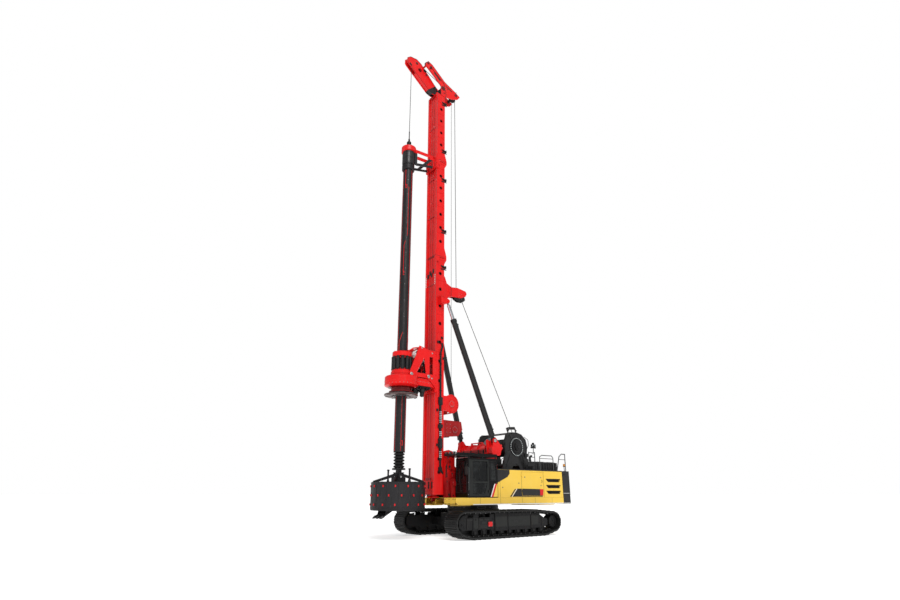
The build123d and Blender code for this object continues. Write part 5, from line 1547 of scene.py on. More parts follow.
def buildMainWinch(setup):
    x, z = setup["centre"]
    for face, radius, count, size in setup["bolts"]:
        boltedSides("upper", size, sideRing((x, face + 0.006, z), radius, count))
    woundOn("main_rope_coils", "main_drum", (x, z), setup["coil"], setup["ropeRadius"], setup["halfLength"])
    ribs = Shape()
    for y in setup["flanges"]:
        for i in range(8):
            ribs.plate(spoke(x, z, 0.46, 0.6, 0.012, math.pi / 4 * i), "y", y, y + 0.004)
    ribs.piece("main_drum_ribs", "main_drum", black)
    # gear motor cap, pivot bosses and edge doubling of the side plates
    trim = Shape()
    trim.turn([(0.0, 0.05), (0.09, 0.045), (0.11, 0.0), (0.0, 0.0)], (x, 1.228, z), "y", 28)
    trim.hoop(0.345, 0.365, 0.0, 0.02, (x, 1.098, z), "y", 48)
    for px, pz in setup["bosses"]:
        trim.hoop(0.02, 0.05, 0, 0.014, (px, 1.058, pz), "y", 18)
    trim.edge(setup["outline"], 1.062, 0.018, 8)
    for rib in setup["ribs"]:
        trim.edge(rib, 1.064, 0.03, 8)
    for across, face, upright, soft in setup["boxes"]:
        trim.block(across, (1.06, face), upright, soft)
    trim.mirrored().piece("winch_plate_edges", "upper", black)
    boltedSides("upper", "dark",
                [(px + (0.05 if px < x else -0.05), 1.064, pz) for px, pz in setup["outline"]])
    hoses = Shape()
    for i, y in enumerate((1.11, 1.15, 1.19)):
        u = x - 0.05 * i
        hoses.pipe([(u - 0.1 - 0.02 * i, y, z - 0.35), (u - 0.32, y + 0.02, z - 0.7), (u - 0.45, y, z - 0.95),
                    (u - 0.5, 1.08, 3.14)], 0.016, 8, 0.12)
    for route in setup["pipes"]:
        hoses.pipe([(x + u, y, z + v) for u, y, v in route], 0.014, 8, 0.1)
    hoses.piece("winch_hoses", "upper", rubberAndShade)
    guide = Shape()
    for px, pz in setup["guideRollers"]:
        guide.peg(px, pz, 1.0, 1.10, 0.035, 16)
    guide.peg(-1.9, 5.0, -1.0, 1.06, 0.05, 16)
    guide.piece("rope_guide_rollers", "upper", bareSteel)
    tube = Shape()
    for px in (-2.9, -1.4):
        for y in (-0.6, 0.0, 0.6):
            tube.hoop(0.082, 0.095, -0.03, 0.03, (px, y, 3.33), "y", 24)
    tube.piece("winch_tube_clamps", "upper", gearSteel)


buildMainWinch(mainWinch)

stayTrim = {
    "pin": (-0.35, 1.30, 4.50),
    "forkFace": 1.424,
    "bosses": ((-0.42, -0.22), (0.02, -0.28), (0.12, -0.5), (-0.2, -0.6)),
    "web": ((-0.46, -0.36), (-0.24, -0.60), (0.05, -0.62), (0.02, -0.5), (-0.2, -0.46)),
    "beamPlates": (-1.0, -0.6, 0.0, 0.6, 1.0),
    "ports": (-0.75, -0.15, 0.45),
    "pipeHeights": (3.86, 3.91, 3.96, 4.01),
    "clips": (-0.8, -0.2, 0.4, 0.78),
    "legs": (-1.1, -0.5),
}


def buildStayTrim(setup):
    x, y, z = setup["pin"]
    face = setup["forkFace"]
    Shape().cap((x, 1.45, z), 0.075, 0.085, 0.012, 0.03, 28).mirrored().piece("stay_pin_caps", "upper",
                                                                              pinSteel)
    boltedSides("upper", "red", sideRing((x, face, z), 0.115, 8))
    ribs = Shape()
    for u, v in setup["bosses"]:
        ribs.peg(x + u, z + v, 1.375, 1.43, 0.045, 16)
    ribs.plate([(x + u, z + v) for u, v in setup["web"]], "y", 1.418, 1.432, 0.004)
    ribs.mirrored().piece("stay_fork_ribs", "upper", red)
    boltedSides("upper", "small", [(x - 0.5 + 0.1 * i, face, 4.16 - 0.075 * i) for i in range(4)])
    beam = Shape()
    for y in setup["beamPlates"]:
        beam.block((-0.66, -0.3), (y - 0.05, y + 0.05), (4.288, 4.302), 0.004)
    for y in setup["ports"]:
        beam.rod((-0.118, y, 4.02), (-0.10, y, 4.02), 0.06, 20)
        beam.rod((-0.118, y + 0.24, 3.95), (-0.10, y + 0.24, 3.95), 0.03, 14)
    beam.piece("stay_beam_plates", "upper", red)
    pipes = Shape()
    for low in setup["pipeHeights"]:
        pipes.pipe([(-0.09, -1.0, low + 0.12), (-0.085, -0.9, low + 0.05), (-0.085, 0.85, low + 0.05),
                    (-0.10, 1.0, low + 0.12), (-0.30, 1.09, low + 0.32)], 0.011, 8, 0.05)
    pipes.piece("stay_beam_pipes", "upper", gearSteel)
    clips = Shape()
    for y in setup["clips"]:
        clips.block((-0.125, -0.068), (y - 0.02, y + 0.02), (3.88, 4.09), 0.004)
    clips.piece("stay_pipe_clips", "upper", black)
    leg = Shape()
    for start in setup["legs"]:
        leg.block((start, start + 0.12), (0.60, 0.72), (3.128, 3.20), 0.01)
    leg.mirrored().piece("stay_leg_pads", "upper", red)
    boltedSides("upper", "large", [(start + 0.06, 0.722, 3.16) for start in setup["legs"]])


buildStayTrim(stayTrim)

bracketTrim = {
    "pivot": (1.75, 2.40),
    "ribs": (((0.55, 1.2), 0.69, (1.80, 1.87), 0.008), ((0.8, 0.86), 0.70, (1.86, 2.06), 0.006),
             ((1.25, 1.31), 0.70, (1.86, 2.2), 0.006)),
    "bolts": ((0.62, 1.93), (1.0, 2.05), (1.5, 1.86), (1.8, 1.86)),
    "loops": 5,
    "valves": 4,
}


def buildBracketTrim(setup):
    x, z = setup["pivot"]
    trim = Shape().cap((x, 0.735, z), 0.10, 0.115, 0.014, 0.05, 32)
    for along, face, upright, soft in setup["ribs"]:
        trim.block(along, (0.665, face), upright, soft)
    trim.mirrored().piece("mast_bracket_ribs", "upper", shadedRed)
    boltedSides("upper", "large", [(px, 0.672, pz) for px, pz in setup["bolts"]])
    boltedSides("upper", "red", sideRing((x, 0.674, z), 0.17, 12))
    hoses = Shape()
    for i in range(setup["loops"]):
        y, lift = -0.3 + 0.07 * i, 0.02 * i
        hoses.pipe([(0.2, y, 1.78), (0.45, y, 2.15 + lift), (0.85, y + 0.02, 2.2 + lift), (0.98, y, 2.02),
                    (1.0, y, 1.78)], 0.019, 8, 0.15)
    hoses.piece("deck_hose_loops", "upper", rubberAndShade)
    valves = Shape()
    for i in range(setup["valves"]):
        start = -0.02 - 0.13 * i
        valves.block((start, start + 0.10), (-0.42, 0.28), (1.765, 1.92), 0.01)
        for y in (-0.3, -0.1, 0.1):
            valves.post(start + 0.05, y, 1.92, 1.99, 0.02, 10)
    valves.piece("valve_block", "upper", gearSteel)


buildBracketTrim(bracketTrim)
print("winch and stay frame built")


mastTrim = {
    "side": 0.40,
    "joints": (14.4, 20.7),
    "flangeBolts": (2.26, 2.36, 2.46, 2.56, 2.65),
    "railBolts": (-0.28, -0.18, -0.08, 0.08, 0.18, 0.28),      # up from the joint
    "seams": (((2.195, 2.80), (0.4402, 0.4425), 0.008), ((2.60, 2.852), (0.480, 0.4822), 0.008),
              ((2.8005, 2.803), (0.0, 0.33), 0.010), ((2.849, 2.8515), (0.33, 0.47), 0.008)),
    "splices": (((2.60, 2.83), (0.468, 0.480), (-0.34, 0.34), 0.006),
                ((2.24, 2.70), (0.398, 0.412), (-0.20, -0.06), 0.005),
                ((2.24, 2.70), (0.398, 0.412), (0.06, 0.20), 0.005),
                ((2.08, 2.2), (0.30, 0.34), (-0.10, 0.10), 0.01)),
    "guides": (25.0, 21.45, 19.43, 16.03, 13.78),
    "holes": (2.93, 3.54, 5.07, 6.36, 7.40, 8.43, 9.45, 10.48, 11.49, 12.45, 13.38, 15.35, 16.23, 17.08,
              17.97, 18.84, 19.65, 21.86, 22.74, 23.62, 24.50),
    "holeX": 2.48,
    "strapLift": 0.52,           # each strap's height over its hole
    "rollers": ((2.17, 0.0, 0.055, 0.04), (2.33, 0.02, 0.045, 0.032)),     # x, lift, rim and waist
}


def buildMastTrim(setup):
    side, holeX, strapLift = setup["side"], setup["holeX"], setup["strapLift"]
    # rims round the side holes in the shaded red, and dark discs inside the mast behind them: painted shade
    # in the holes
    rims, dark = Shape(), Shape()
    for z in setup["holes"]:
        rims.hoop(0.083, 0.108, 0.0, 0.008, (holeX, side - 0.001, z), "y", 28)
        for y in (0.30, -0.30):
            dark.hoop(0.0, 0.12, 0.0, 0.004, (holeX, y, z), "y", 16)
    rims.mirrored().piece("mast_hole_rims", "mast", shadedRed)
    dark.piece("mast_hole_shades", "mast", rubberAndShade)
    # dark seams and splice plates at each joint, with bolts over and under the flange and along the rails
    seams, splice = Shape(), Shape()
    for z in setup["joints"]:
        for up in (1, -1):
            spots = [(x, s * 0.421, z + up * 0.055) for x in setup["flangeBolts"] for s in (1, -1)]
            bolted("mast", "red", spots, (0, 0, up))
        boltedSides("mast", "red", [(2.78, 0.472, z + u) for u in setup["railBolts"]])
        for x, y, half in setup["seams"]:
            seams.block(x, y, (z - half, z + half))
        for x, y, (low, high), soft in setup["splices"]:
            splice.block(x, y, (z + low, z + high), soft)
    seams.mirrored().piece("mast_joint_seams", "mast", rubberAndShade)
    splice.mirrored().piece("mast_splices", "mast", red)
    straps = [(2.505, s * (side + 0.006), z + strapLift) for z in setup["holes"] for s in (1, -1)]
    barRow("mast_side_straps", straps, (0.52, 0.012, 0.035), "mast", red)
    # rope guides: a bracket with two rollers on each side of the rear edge
    guides, rollers = Shape(), Shape()
    for z in setup["guides"]:
        for low in (z - 0.10, z + 0.08):
            guides.plate([(2.07, low - 0.02), (2.44, low - 0.045), (2.44, low + 0.03), (2.07, low + 0.025)],
                         "y", 0.401, 0.425, 0.004)
        guides.block((2.09, 2.30), (0.30, 0.45), (z - 0.03, z + 0.03), 0.01)
        guides.peg(2.14, z + 0.10, 0.40, 0.475, 0.02, 10)
        for x, lift, rim, waist in setup["rollers"]:
            rollers.turn([(0.02, -0.03), (rim, -0.03), (waist, 0.0), (rim, 0.03), (0.02, 0.03)],
                         (x, 0.445, z + lift), "y", 20)
    guides.mirrored().piece("rope_guide_plates", "mast", black)
    rollers.mirrored().piece("rope_guide_wheels", "mast", gearSteel)


buildMastTrim(mastTrim)

hoseChain = {
    "x": 2.44,
    "y": 0.435,
    "z": (3.6, 6.45),
    "step": 0.085,
    "pale": ((3.62, 3.96), (4.66, 4.94), (5.3, 5.9)),
    "blocks": ((4.05, 4.50, 0.12), (5.02, 5.20, 0.13), (6.18, 6.55, 0.12), (2.95, 3.16, 0.10)),
    "fittings": ((2.61, 9.44), (2.35, 9.70), (2.35, 9.35), (2.24, 8.6), (2.62, 4.2), (2.62, 5.9)),
    "clamps": (6.9, 7.7, 8.3, 8.8),
}


def buildHoseChain(setup):
    # hose carrier on the cab side, in its tray: black carriers, and pale links in the open stretches
    x, y, (z0, z1), step = setup["x"], setup["y"], setup["z"], setup["step"]
    side = mastTrim["side"]
    links = [(x, y + 0.006, z0 + step * i) for i in range(round((z1 - z0) / step))]
    barRow("hose_chain_links", links, (0.12, 0.05, step * 0.72), "mast", rubberAndShade)
    pale = [(x + u, y + 0.030, a + step * i) for a, b in setup["pale"] for i in range(round((b - a) / step))
            for u in (-0.04, 0.04)]
    barRow("hose_chain_pins", pale, (0.045, 0.03, 0.045), "mast", paleGrey)
    blocks = Shape()
    for a, b, half in setup["blocks"]:
        blocks.block((x - half, x + half), (side, y + 0.045), (a, b), 0.02)
        blocks.block((x - half * 0.6, x + half * 0.6), (y + 0.04, y + 0.06), (a + 0.04, b - 0.04), 0.01)
    blocks.piece("hose_chain_blocks", "mast", black)
    tray = Shape().block((x - 0.065, x + 0.065), (side - 0.002, side + 0.01), (z0 - 0.1, z1 + 0.1), 0.004)
    for z in (z0 - 0.06, 4.5, 5.5, z1 + 0.06):
        tray.block((x - 0.09, x + 0.09), (side, side + 0.075), (z - 0.03, z + 0.03), 0.008)
    tray.piece("hose_chain_tray", "mast", black)
    hoses = Shape()
    for i in range(4):
        u = -0.045 + 0.03 * i
        hoses.pipe([(x + u, 0.44, z0 - 0.03), (x + u, 0.45, 3.2), (x + u - 0.12, 0.44, 2.9),
                    (2.06, 0.40 - 0.02 * i, 2.75)],
                   0.014, 8, 0.15)
        hoses.pipe([(x + u, 0.44, z1), (x + u, 0.44, 8.9), (2.3 + u, 0.435, 9.3)], 0.013, 8, 0.1)
    hoses.piece("mast_hoses", "mast", rubberAndShade)
    fittings = Shape()
    for px, pz in setup["fittings"]:
        fittings.block((px - 0.05, px + 0.05), (side, side + 0.05), (pz - 0.06, pz + 0.06), 0.008)
        fittings.peg(px, pz, side + 0.04, side + 0.065, 0.024, 12)
    fittings.piece("mast_side_fittings", "mast", black)
    barRow("hose_clamps", [(x, side + 0.045, z) for z in setup["clamps"]], (0.15, 0.035, 0.03), "mast",
           gearSteel)


buildHoseChain(hoseChain)

mastFront = {
    "floor": 2.788,              # floor of the front recess
    "ropePlates": (2.56, 25.42),
    "crossStrips": (8.2, 12.7, 16.9, 19.4, 23.1),
    "pads": ((-0.28, 13.3, 0.05), (-0.10, 13.45, 0.05), (0.05, 13.32, 0.04), (0.22, 13.5, 0.05)),
    "marks": (12.7, 0.1, 6),     # height of the first, distance and count
    "railRuns": ((2.56, 14.05), (14.75, 20.35), (21.05, 25.55)),
}


def buildMastFront(setup):
    # crowd ropes with their end plates, and cross strips
    floor = setup["floor"]
    for y, word in ((-0.10, "right"), (0.10, "left")):
        rope(f"crowd_rope_{word}", "mast", [(2.815, y, 2.58), (2.815, y, 25.45)], 0.011, shadedRed)
    strips = Shape()
    for z in setup["ropePlates"]:
        strips.block((floor, 2.842), (-0.2, 0.2), (z, z + 0.10), 0.01)
    for z in setup["crossStrips"]:
        strips.block((floor, 2.806), (-0.31, 0.31), (z - 0.02, z + 0.02), 0.005)
    for z in mastTrim["joints"]:
        strips.block((floor, 2.80), (-0.33, 0.33), (z - 0.07, z + 0.07), 0.004)
    strips.piece("mast_front_strips", "mast", shadedRed)
    bolted("mast", "small", [(2.808, y, z) for y in (-0.27, -0.18, 0.18, 0.27) for z in setup["crossStrips"]],
           (1, 0, 0))
    # depth marks on the front of both rails, and the dark pads in the recess above them
    marks, pads, edge = Shape(), Shape(), Shape()
    low, pitch, count = setup["marks"]
    for i in range(count):
        marks.block((2.849, 2.8515), (0.35, 0.45), (low + pitch * i, low + 0.03 + pitch * i))
    marks.mirrored().piece("mast_depth_marks", "mast", white)
    for y, z, half in setup["pads"]:
        pads.block((floor, 2.83), (y - half, y + half), (z - 0.12, z + 0.12), 0.01)
    pads.piece("mast_front_pads", "mast", black)
    # bare steel strips down each rail's front edge: painted highlight along the edge
    for run in setup["railRuns"]:
        edge.block((2.835, 2.8495), (0.4715, 0.474), run)
    edge.mirrored().piece("rail_edge_highlights", "mast", bareSteel)


buildMastFront(mastFront)

mastFoot = {
    "pivot": (1.75, 2.40),
    "face": 0.56,                # outer face of the ears
    "ribs": (((1.75, 2.72), (2.05, 3.7)), ((2.12, 1.7), (2.1, 3.85)), ((1.55, 2.95), (2.1, 3.1))),
    "bosses": ((1.95, 3.4), (1.85, 3.0), (2.1, 2.2)),
    "holes": ((2.02, 3.62, 0.055), (1.93, 3.18, 0.07), (1.78, 2.86, 0.05), (2.1, 2.5, 0.05),
              (1.62, 2.08, 0.05), (1.98, 1.9, 0.06)),
    "slits": ([(2.06, 2.72), (2.2, 2.66), (2.2, 3.2), (2.12, 3.32)],
              [(1.55, 1.72), (1.8, 1.66), (1.92, 1.72), (1.7, 1.86)]),
    "bolts": ((1.72, 3.82), (1.88, 3.86), (2.2, 3.8), (2.2, 3.6), (2.2, 3.4), (1.52, 2.9), (1.68, 3.3),
              (1.7, 3.6), (2.16, 1.66), (2.2, 2.0)),
    "padX": 2.52,
}


def buildFootTrim(setup):
    x, z = setup["pivot"]
    face, padX = setup["face"], setup["padX"]
    trim, dark, slots = Shape(), Shape(), Shape()
    trim.hoop(0.12, 0.235, 0.0, 0.014, (x, face - 0.002, z), "y", 40)
    for rib in setup["ribs"]:
        trim.edge(rib, face, 0.02, 8)
    for px, pz in setup["bosses"]:
        trim.peg(px, pz, face - 0.01, face + 0.02, 0.07, 24)
    trim.mirrored().piece("foot_ear_ribs", "mast", shadedRed)
    # dark discs and plates on the ears stand for holes and slits: painted shade
    for px, pz, radius in setup["holes"]:
        dark.peg(px, pz, face - 0.01, face + 0.004, radius, 20)
    for outline in setup["slits"]:
        dark.plate(outline, "y", face - 0.004, face + 0.003)
    dark.mirrored().piece("foot_ear_recesses", "mast", rubberAndShade)
    # dark sheets on the foot's front end stand for its slots: painted shade
    for y in (-0.42, -0.17, 0.17, 0.42):
        slots.block((2.905, 2.914), (y - 0.05, y + 0.05), (2.18, 2.48))
    slots.piece("foot_end_slots", "mast", rubberAndShade)
    boltedSides("mast", "red", [(px, face + 0.004, pz) for px, pz in setup["bolts"]])
    boltedSides("mast", "red", [(2.88, 0.482, low) for low in (2.05, 2.25, 2.45)])
    bolted("mast", "red", [(2.912, y, 2.06) for y in (-0.40, -0.24, -0.06, 0.06, 0.24, 0.40)], (1, 0, 0))
    pad = Shape().hoop(0.25, 0.28, 1.795, 1.81, (padX, 0, 0), "z", 36)
    for i in range(8):
        c, s = math.cos(math.pi / 4 * i), math.sin(math.pi / 4 * i)
        pad.plate([(padX + r * c + u, r * s + u)
                   for r, u in ((0.15, -0.008), (0.28, 0), (0.28, 0.01), (0.15, 0.008))],
                  "z", 1.788, 1.83)
    pad.piece("foot_pad_ribs", "mast", red)


buildFootTrim(mastFoot)

mastWinches = {
    "crowd": {"centre": (1.50, 5.00), "coil": 0.208, "bolts": 12, "finish": shadedRed},
    "aux": {"centre": (1.70, 6.29), "coil": 0.222, "bolts": 14, "finish": red},
    "cheek": 0.40,
    "ropeRadius": 0.012,
    "halfLength": 0.295,
    "crowdEdges": (((1.0, 5.03), (1.07, 5.41), (2.18, 5.43)), ((1.0, 5.03), (1.28, 4.71), (2.18, 4.63)),
                   ((2.0, 4.66), (2.0, 5.42))),
}


def buildMastWinches(setup):
    cheek = setup["cheek"]
    for word in ("crowd", "aux"):
        part = setup[word]
        x, z = part["centre"]
        woundOn(f"{word}_rope_coils", f"{word}_drum", (x, z), part["coil"], setup["ropeRadius"],
                setup["halfLength"])
        caps = Shape()
        caps.turn([(0.0, 0.10), (0.09, 0.09), (0.10, 0.05), (0.17, 0.04), (0.18, 0.0), (0.0, 0.0)],
                  (x, cheek - 0.002, z), "y", 32)
        caps.hoop(0.225, 0.25, 0.0, 0.012, (x, cheek - 0.002, z), "y", 40)
        caps.mirrored().piece(f"{word}_winch_caps", "mast", part["finish"])
        boltedSides("mast", "small", sideRing((x, cheek + 0.042, z), 0.145, part["bolts"]))
    x, z = setup["aux"]["centre"]
    rim = sideRing((x, 0, z), 0.47, 12, math.pi * 6 / 11, math.pi * 12 / 11)
    trim = Shape().edge([(px, pz) for px, _, pz in rim], cheek, 0.011, 8)
    boltedSides("mast", "red",
                sideRing((x, cheek + 0.004, z), 0.42, 16, math.pi * 0.45, math.pi * 1.1 * 16 / 15))
    for lift in (0.42, -0.42):
        trim.peg(x - 0.2, z + lift, -0.38, 0.38, 0.03, 12)
    trim.mirrored().piece("aux_cheek_edges", "mast", red)
    trim = Shape().block((1.75, 2.05), (cheek - 0.002, cheek + 0.012), (4.8, 5.3), 0.006)
    for outline in setup["crowdEdges"]:
        trim.edge(outline, cheek, 0.012, 8)
    trim.mirrored().piece("crowd_cheek_edges", "mast", shadedRed)
    boltedSides("mast", "small",
                [(px, cheek + 0.014, pz) for px in (1.79, 2.01) for pz in (4.85, 5.05, 5.25)])
    hoses = Shape()
    for i in range(3):
        y = -0.43 - 0.025 * i
        hoses.pipe([(1.5 + 0.05 * i, y, 5.1), (1.75, y - 0.01, 5.55 + 0.03 * i), (2.05, y, 5.6),
                    (2.3, -0.43, 5.3)],
                   0.013, 8, 0.12)
        hoses.pipe([(1.7 + 0.04 * i, y, 6.2), (1.85, y - 0.01, 5.75), (2.08, y, 5.68), (2.3, -0.43, 5.55)],
                   0.013, 8, 0.12)
    hoses.piece("mast_winch_hoses", "mast", rubberAndShade)


buildMastWinches(mastWinches)

headTrim = {
    "front": (4.24, 27.30),      # the head's rope wheel and the rear one
    "rear": (1.33, 26.19),
    "root": (2.35, 26.2),
    "pulley": (3.56, 27.52),
    "arm": 0.42,                 # outer faces of the arms and of the nose plates
    "nose": 0.15,
    "armEdge": [(1.29, 26.37), (2.22, 26.74), (3.23, 27.56), (3.56, 27.66), (3.73, 27.45), (3.76, 27.24),
                (3.22, 26.85), (2.55, 26.30), (2.52, 25.64)],
    "armSlits": ([(1.62, 26.26), (2.1, 26.42), (2.18, 26.52), (1.66, 26.36)],
                 [(2.62, 26.62), (3.12, 27.02), (3.06, 27.10), (2.56, 26.74)]),
    "armHoles": ((3.42, 27.18, 0.06), (2.28, 25.86, 0.05), (2.0, 26.3, 0.04)),
    "noseEdge": [(3.29, 25.72), (4.74, 26.89), (4.92, 27.06), (4.92, 27.36), (4.71, 27.55), (4.25, 27.6),
                 (3.91, 27.43), (2.76, 26.25)],
    "noseSlit": [(4.62, 26.86), (4.80, 26.98), (4.74, 27.10), (4.58, 26.98)],
    "top": 25.658,
}


def buildHeadTrim(setup):
    arm, nose, top = setup["arm"], setup["nose"], setup["top"]
    (fx, fz), (rx, rz), (px, pz), (ox, oz) = setup["front"], setup["rear"], setup["pulley"], setup["root"]
    # the arms' edge ribs and pin caps are in the darkest red: painted shade along the head's edges
    trim = Shape().edge(setup["armEdge"], arm - 0.004, 0.014, 8)
    for x, z, r in ((rx, rz, 0.11), (px, pz, 0.09), (ox, oz, 0.16)):
        trim.cap((x, arm + 0.026, z), r * 0.7, r, 0.012, 0.03, 28)
    trim.mirrored().piece("head_arm_edges", "mast", shadedEdgeRed)
    # dark plates and discs on the arms stand for slits and holes: painted shade
    dark = Shape()
    for outline in setup["armSlits"]:
        dark.plate(outline, "y", arm - 0.004, arm + 0.003)
    for x, z, r in setup["armHoles"]:
        dark.peg(x, z, arm - 0.01, arm + 0.003, r, 20)
    dark.mirrored().piece("head_arm_recesses", "mast", rubberAndShade)
    boltedSides("mast", "small",
                sideRing((rx, arm + 0.02, rz), 0.09, 6) + sideRing((ox, arm + 0.02, oz), 0.13, 6))
    trim = Shape().edge(setup["noseEdge"], nose, 0.013, 8)
    trim.cap((fx, nose + 0.018, fz), 0.07, 0.09, 0.012, 0.02, 28)
    trim.hoop(0.108, 0.13, -0.045, 0.006, (4.0, nose, 26.9), "y", 32)
    trim.mirrored().piece("head_nose_edges", "mast", shadedEdgeRed)
    # the nose's slit and holes, likewise dark plates and discs: painted shade
    dark = Shape().plate(setup["noseSlit"], "y", nose - 0.004, nose + 0.004)
    dark.peg(3.62, 27.06, nose - 0.01, nose + 0.004, 0.12, 28)
    dark.peg(3.50, 26.80, nose - 0.01, nose + 0.004, 0.07, 20)
    dark.mirrored().piece("head_nose_holes", "mast", rubberAndShade)
    # bars that keep the rope on its wheels, and the hubs beside them
    guards = Shape()
    for x, z, r, half, turns in ((fx, fz, 0.36, 0.11, (20, 75, 140)), (rx, rz, 0.32, 0.38, (160, 105, 40))):
        for a in turns:
            u = math.radians(a)
            guards.peg(x + r * math.cos(u), z + r * math.sin(u), -half, half, 0.016, 10)
    for y in (-0.25, 0.25):
        guards.hoop(0.048, 0.10, -0.12, 0.12, (rx, y, rz), "y", 24)
        guards.turn([(0.062, -0.05), (0.15, -0.05), (0.11, 0.0), (0.15, 0.05), (0.062, 0.05)],
                    (px, y * 1.1, pz), "y", 24)
    guards.piece("head_rope_keepers", "mast", black)
    deck = Shape()
    for x in (2.3, 2.45, 2.6, 2.75):
        deck.block((x - 0.02, x + 0.02), (-0.36, 0.36), (top, top + 0.016), 0.004)
    for y in (-0.37, 0.33):
        deck.block((2.2, 2.44), (y, y + 0.04), (top, top + 0.042), 0.004)
    deck.peg(2.47, 26.19, -0.3, 0.3, 0.025, 12)
    deck.piece("head_deck_strips", "mast", red)
    frame = Shape()
    for i in range(6):
        x, z = 2.22 + 0.085 * i, 26.30 - 0.09 * i
        frame.plate([(x, 25.66), (x + 0.03, 25.66), (x + 0.06, z), (x + 0.03, z)], "y", -0.34, 0.34, 0.003)
    for y in (-0.345, 0.315):
        frame.block((2.24, 2.76), (y, y + 0.03), (25.66, 25.72), 0.004)
    frame.piece("head_slack_rope_plates", "mast", black)
    wire = Shape().pipe([(2.2, 0.425, 25.5), (2.1, 0.43, 25.75), (2.3, 0.43, 26.6), (3.3, 0.43, 27.3)], 0.012,
                        8, 0.1)
    wire.block((3.28, 3.40), (0.42, 0.47), (27.22, 27.36), 0.01)
    wire.piece("head_sensor", "mast", black)


buildHeadTrim(headTrim)

bracketPlates = {
    "cheek": 0.125,
    "sheave": (0.82, 12.48),
    "edge": [(2.19, 13.58), (1.945, 13.38), (1.815, 13.035), (1.475, 12.885), (1.02, 12.945), (0.445, 12.865),
             (0.37, 12.74), (0.45, 12.575), (0.765, 12.405), (1.47, 12.345), (1.72, 12.25), (1.865, 11.96),
             (2.19, 11.73)],
    "keepers": ((0.30, -0.05), (-0.24, -0.16), (-0.28, 0.18), (0.22, 0.28)),
    "guard": [(0.50, 12.56), (0.44, 12.34), (0.62, 12.19), (0.95, 12.16), (1.20, 12.26), (1.30, 12.40),
              (0.95, 12.42)],
}


def buildRopeBracket(setup):
    face, (x, z) = setup["cheek"], setup["sheave"]
    trim = Shape().edge(setup["edge"], face, 0.014, 8)
    trim.cap((x, face + 0.026, z), 0.07, 0.09, 0.014, 0.03, 28)
    trim.peg(1.60, 12.62, face - 0.01, face + 0.012, 0.12, 28)
    trim.mirrored().piece("bracket_edges", "mast", red)
    boltedSides("mast", "small", sideRing((x, face + 0.004, z), 0.16, 6))
    keep = Shape()
    for u, v in setup["keepers"]:
        keep.peg(x + u, z + v, -0.095, 0.095, 0.016, 10)
    for y in (-0.088, 0.078):
        keep.plate(setup["guard"], "y", y, y + 0.01, 0.002)
    keep.piece("bracket_rope_keepers", "mast", black)


buildRopeBracket(bracketPlates)


stayCylinder = {
    "base": (-0.35, 1.30, 4.50),
    "eye": (2.14, 0.60, 11.75),
    "collars": (0.45, 1.9, 3.35, 4.8, 6.3),      # lengths along the barrel from its base pin
    "ports": (0.55, 6.35),
    "clips": (1.9, 3.35, 4.8),
    "pipe": ((0.55, 0.21), (0.8, 0.21), (0.9, 0.175), (6.1, 0.175), (6.25, 0.21), (6.35, 0.21)),
    "hose": ((0.5, 0.18, 0.5), (0.35, 0.26, 0.5), (0.2, 0.24, 0.8), (0.16, 0.16, 1.1)),
    "mouth": 6.652,
}


def buildStayCylinders(setup):
    # collars, ports and the oil pipe along each stay cylinder, and the bolts of the fork at its eye
    mouth = setup["mouth"]
    for side, word in ((1, "left"), (-1, "right")):
        foot, eye = [Vector((x, side * y, z)) for x, y, z in (setup["base"], setup["eye"])]
        along = (eye - foot).normalized()
        out = Vector((-along[2], 0, along[0])).normalized()
        out = (out - along * out.dot(along)).normalized()
        across = along.cross(out)

        def at(length, lift=0.0, turn=0.0):
            return foot + along * length + (out * math.cos(turn) + across * math.sin(turn)) * lift

        body = f"stay_barrel_{word}"
        trim = Shape().rod(at(6.50), at(6.53), 0.178, 32)
        for length in setup["collars"]:
            trim.rod(at(length - 0.035), at(length + 0.035), 0.157, 32)
        for length in setup["ports"]:
            trim.rod(at(length, 0.12), at(length, 0.23), 0.038, 12)
        for length in setup["clips"]:
            trim.rod(at(length - 0.03, 0.155), at(length + 0.03, 0.155), 0.034, 10)
        trim.pipe([at(*place) for place in setup["pipe"]], 0.013, 8, 0.05)
        trim.pipe([at(*place) for place in setup["hose"]], 0.014, 8, 0.04)
        trim.piece(f"stay_cylinder_fittings_{word}", body, black)
        bolted(body, "small", [at(mouth, 0.13, math.pi / 6 * i) for i in range(12)], along)
        wiper = Shape().rod(at(mouth), at(mouth + 0.023), 0.112, 28, 0.104)
        wiper.piece(f"stay_rod_wiper_{word}", body, rubberAndShade)
    x, _, z = setup["eye"]
    Shape().cap((x, 0.742, z), 0.05, 0.062, 0.01, 0.02, 24).mirrored().piece("stay_eye_caps", "mast", red)
    boltedSides("mast", "red", [(px, 0.712, pz) for px in (2.39, 2.48, 2.57) for pz in (11.58, 11.92)])


buildStayCylinders(stayCylinder)
print("mast built")


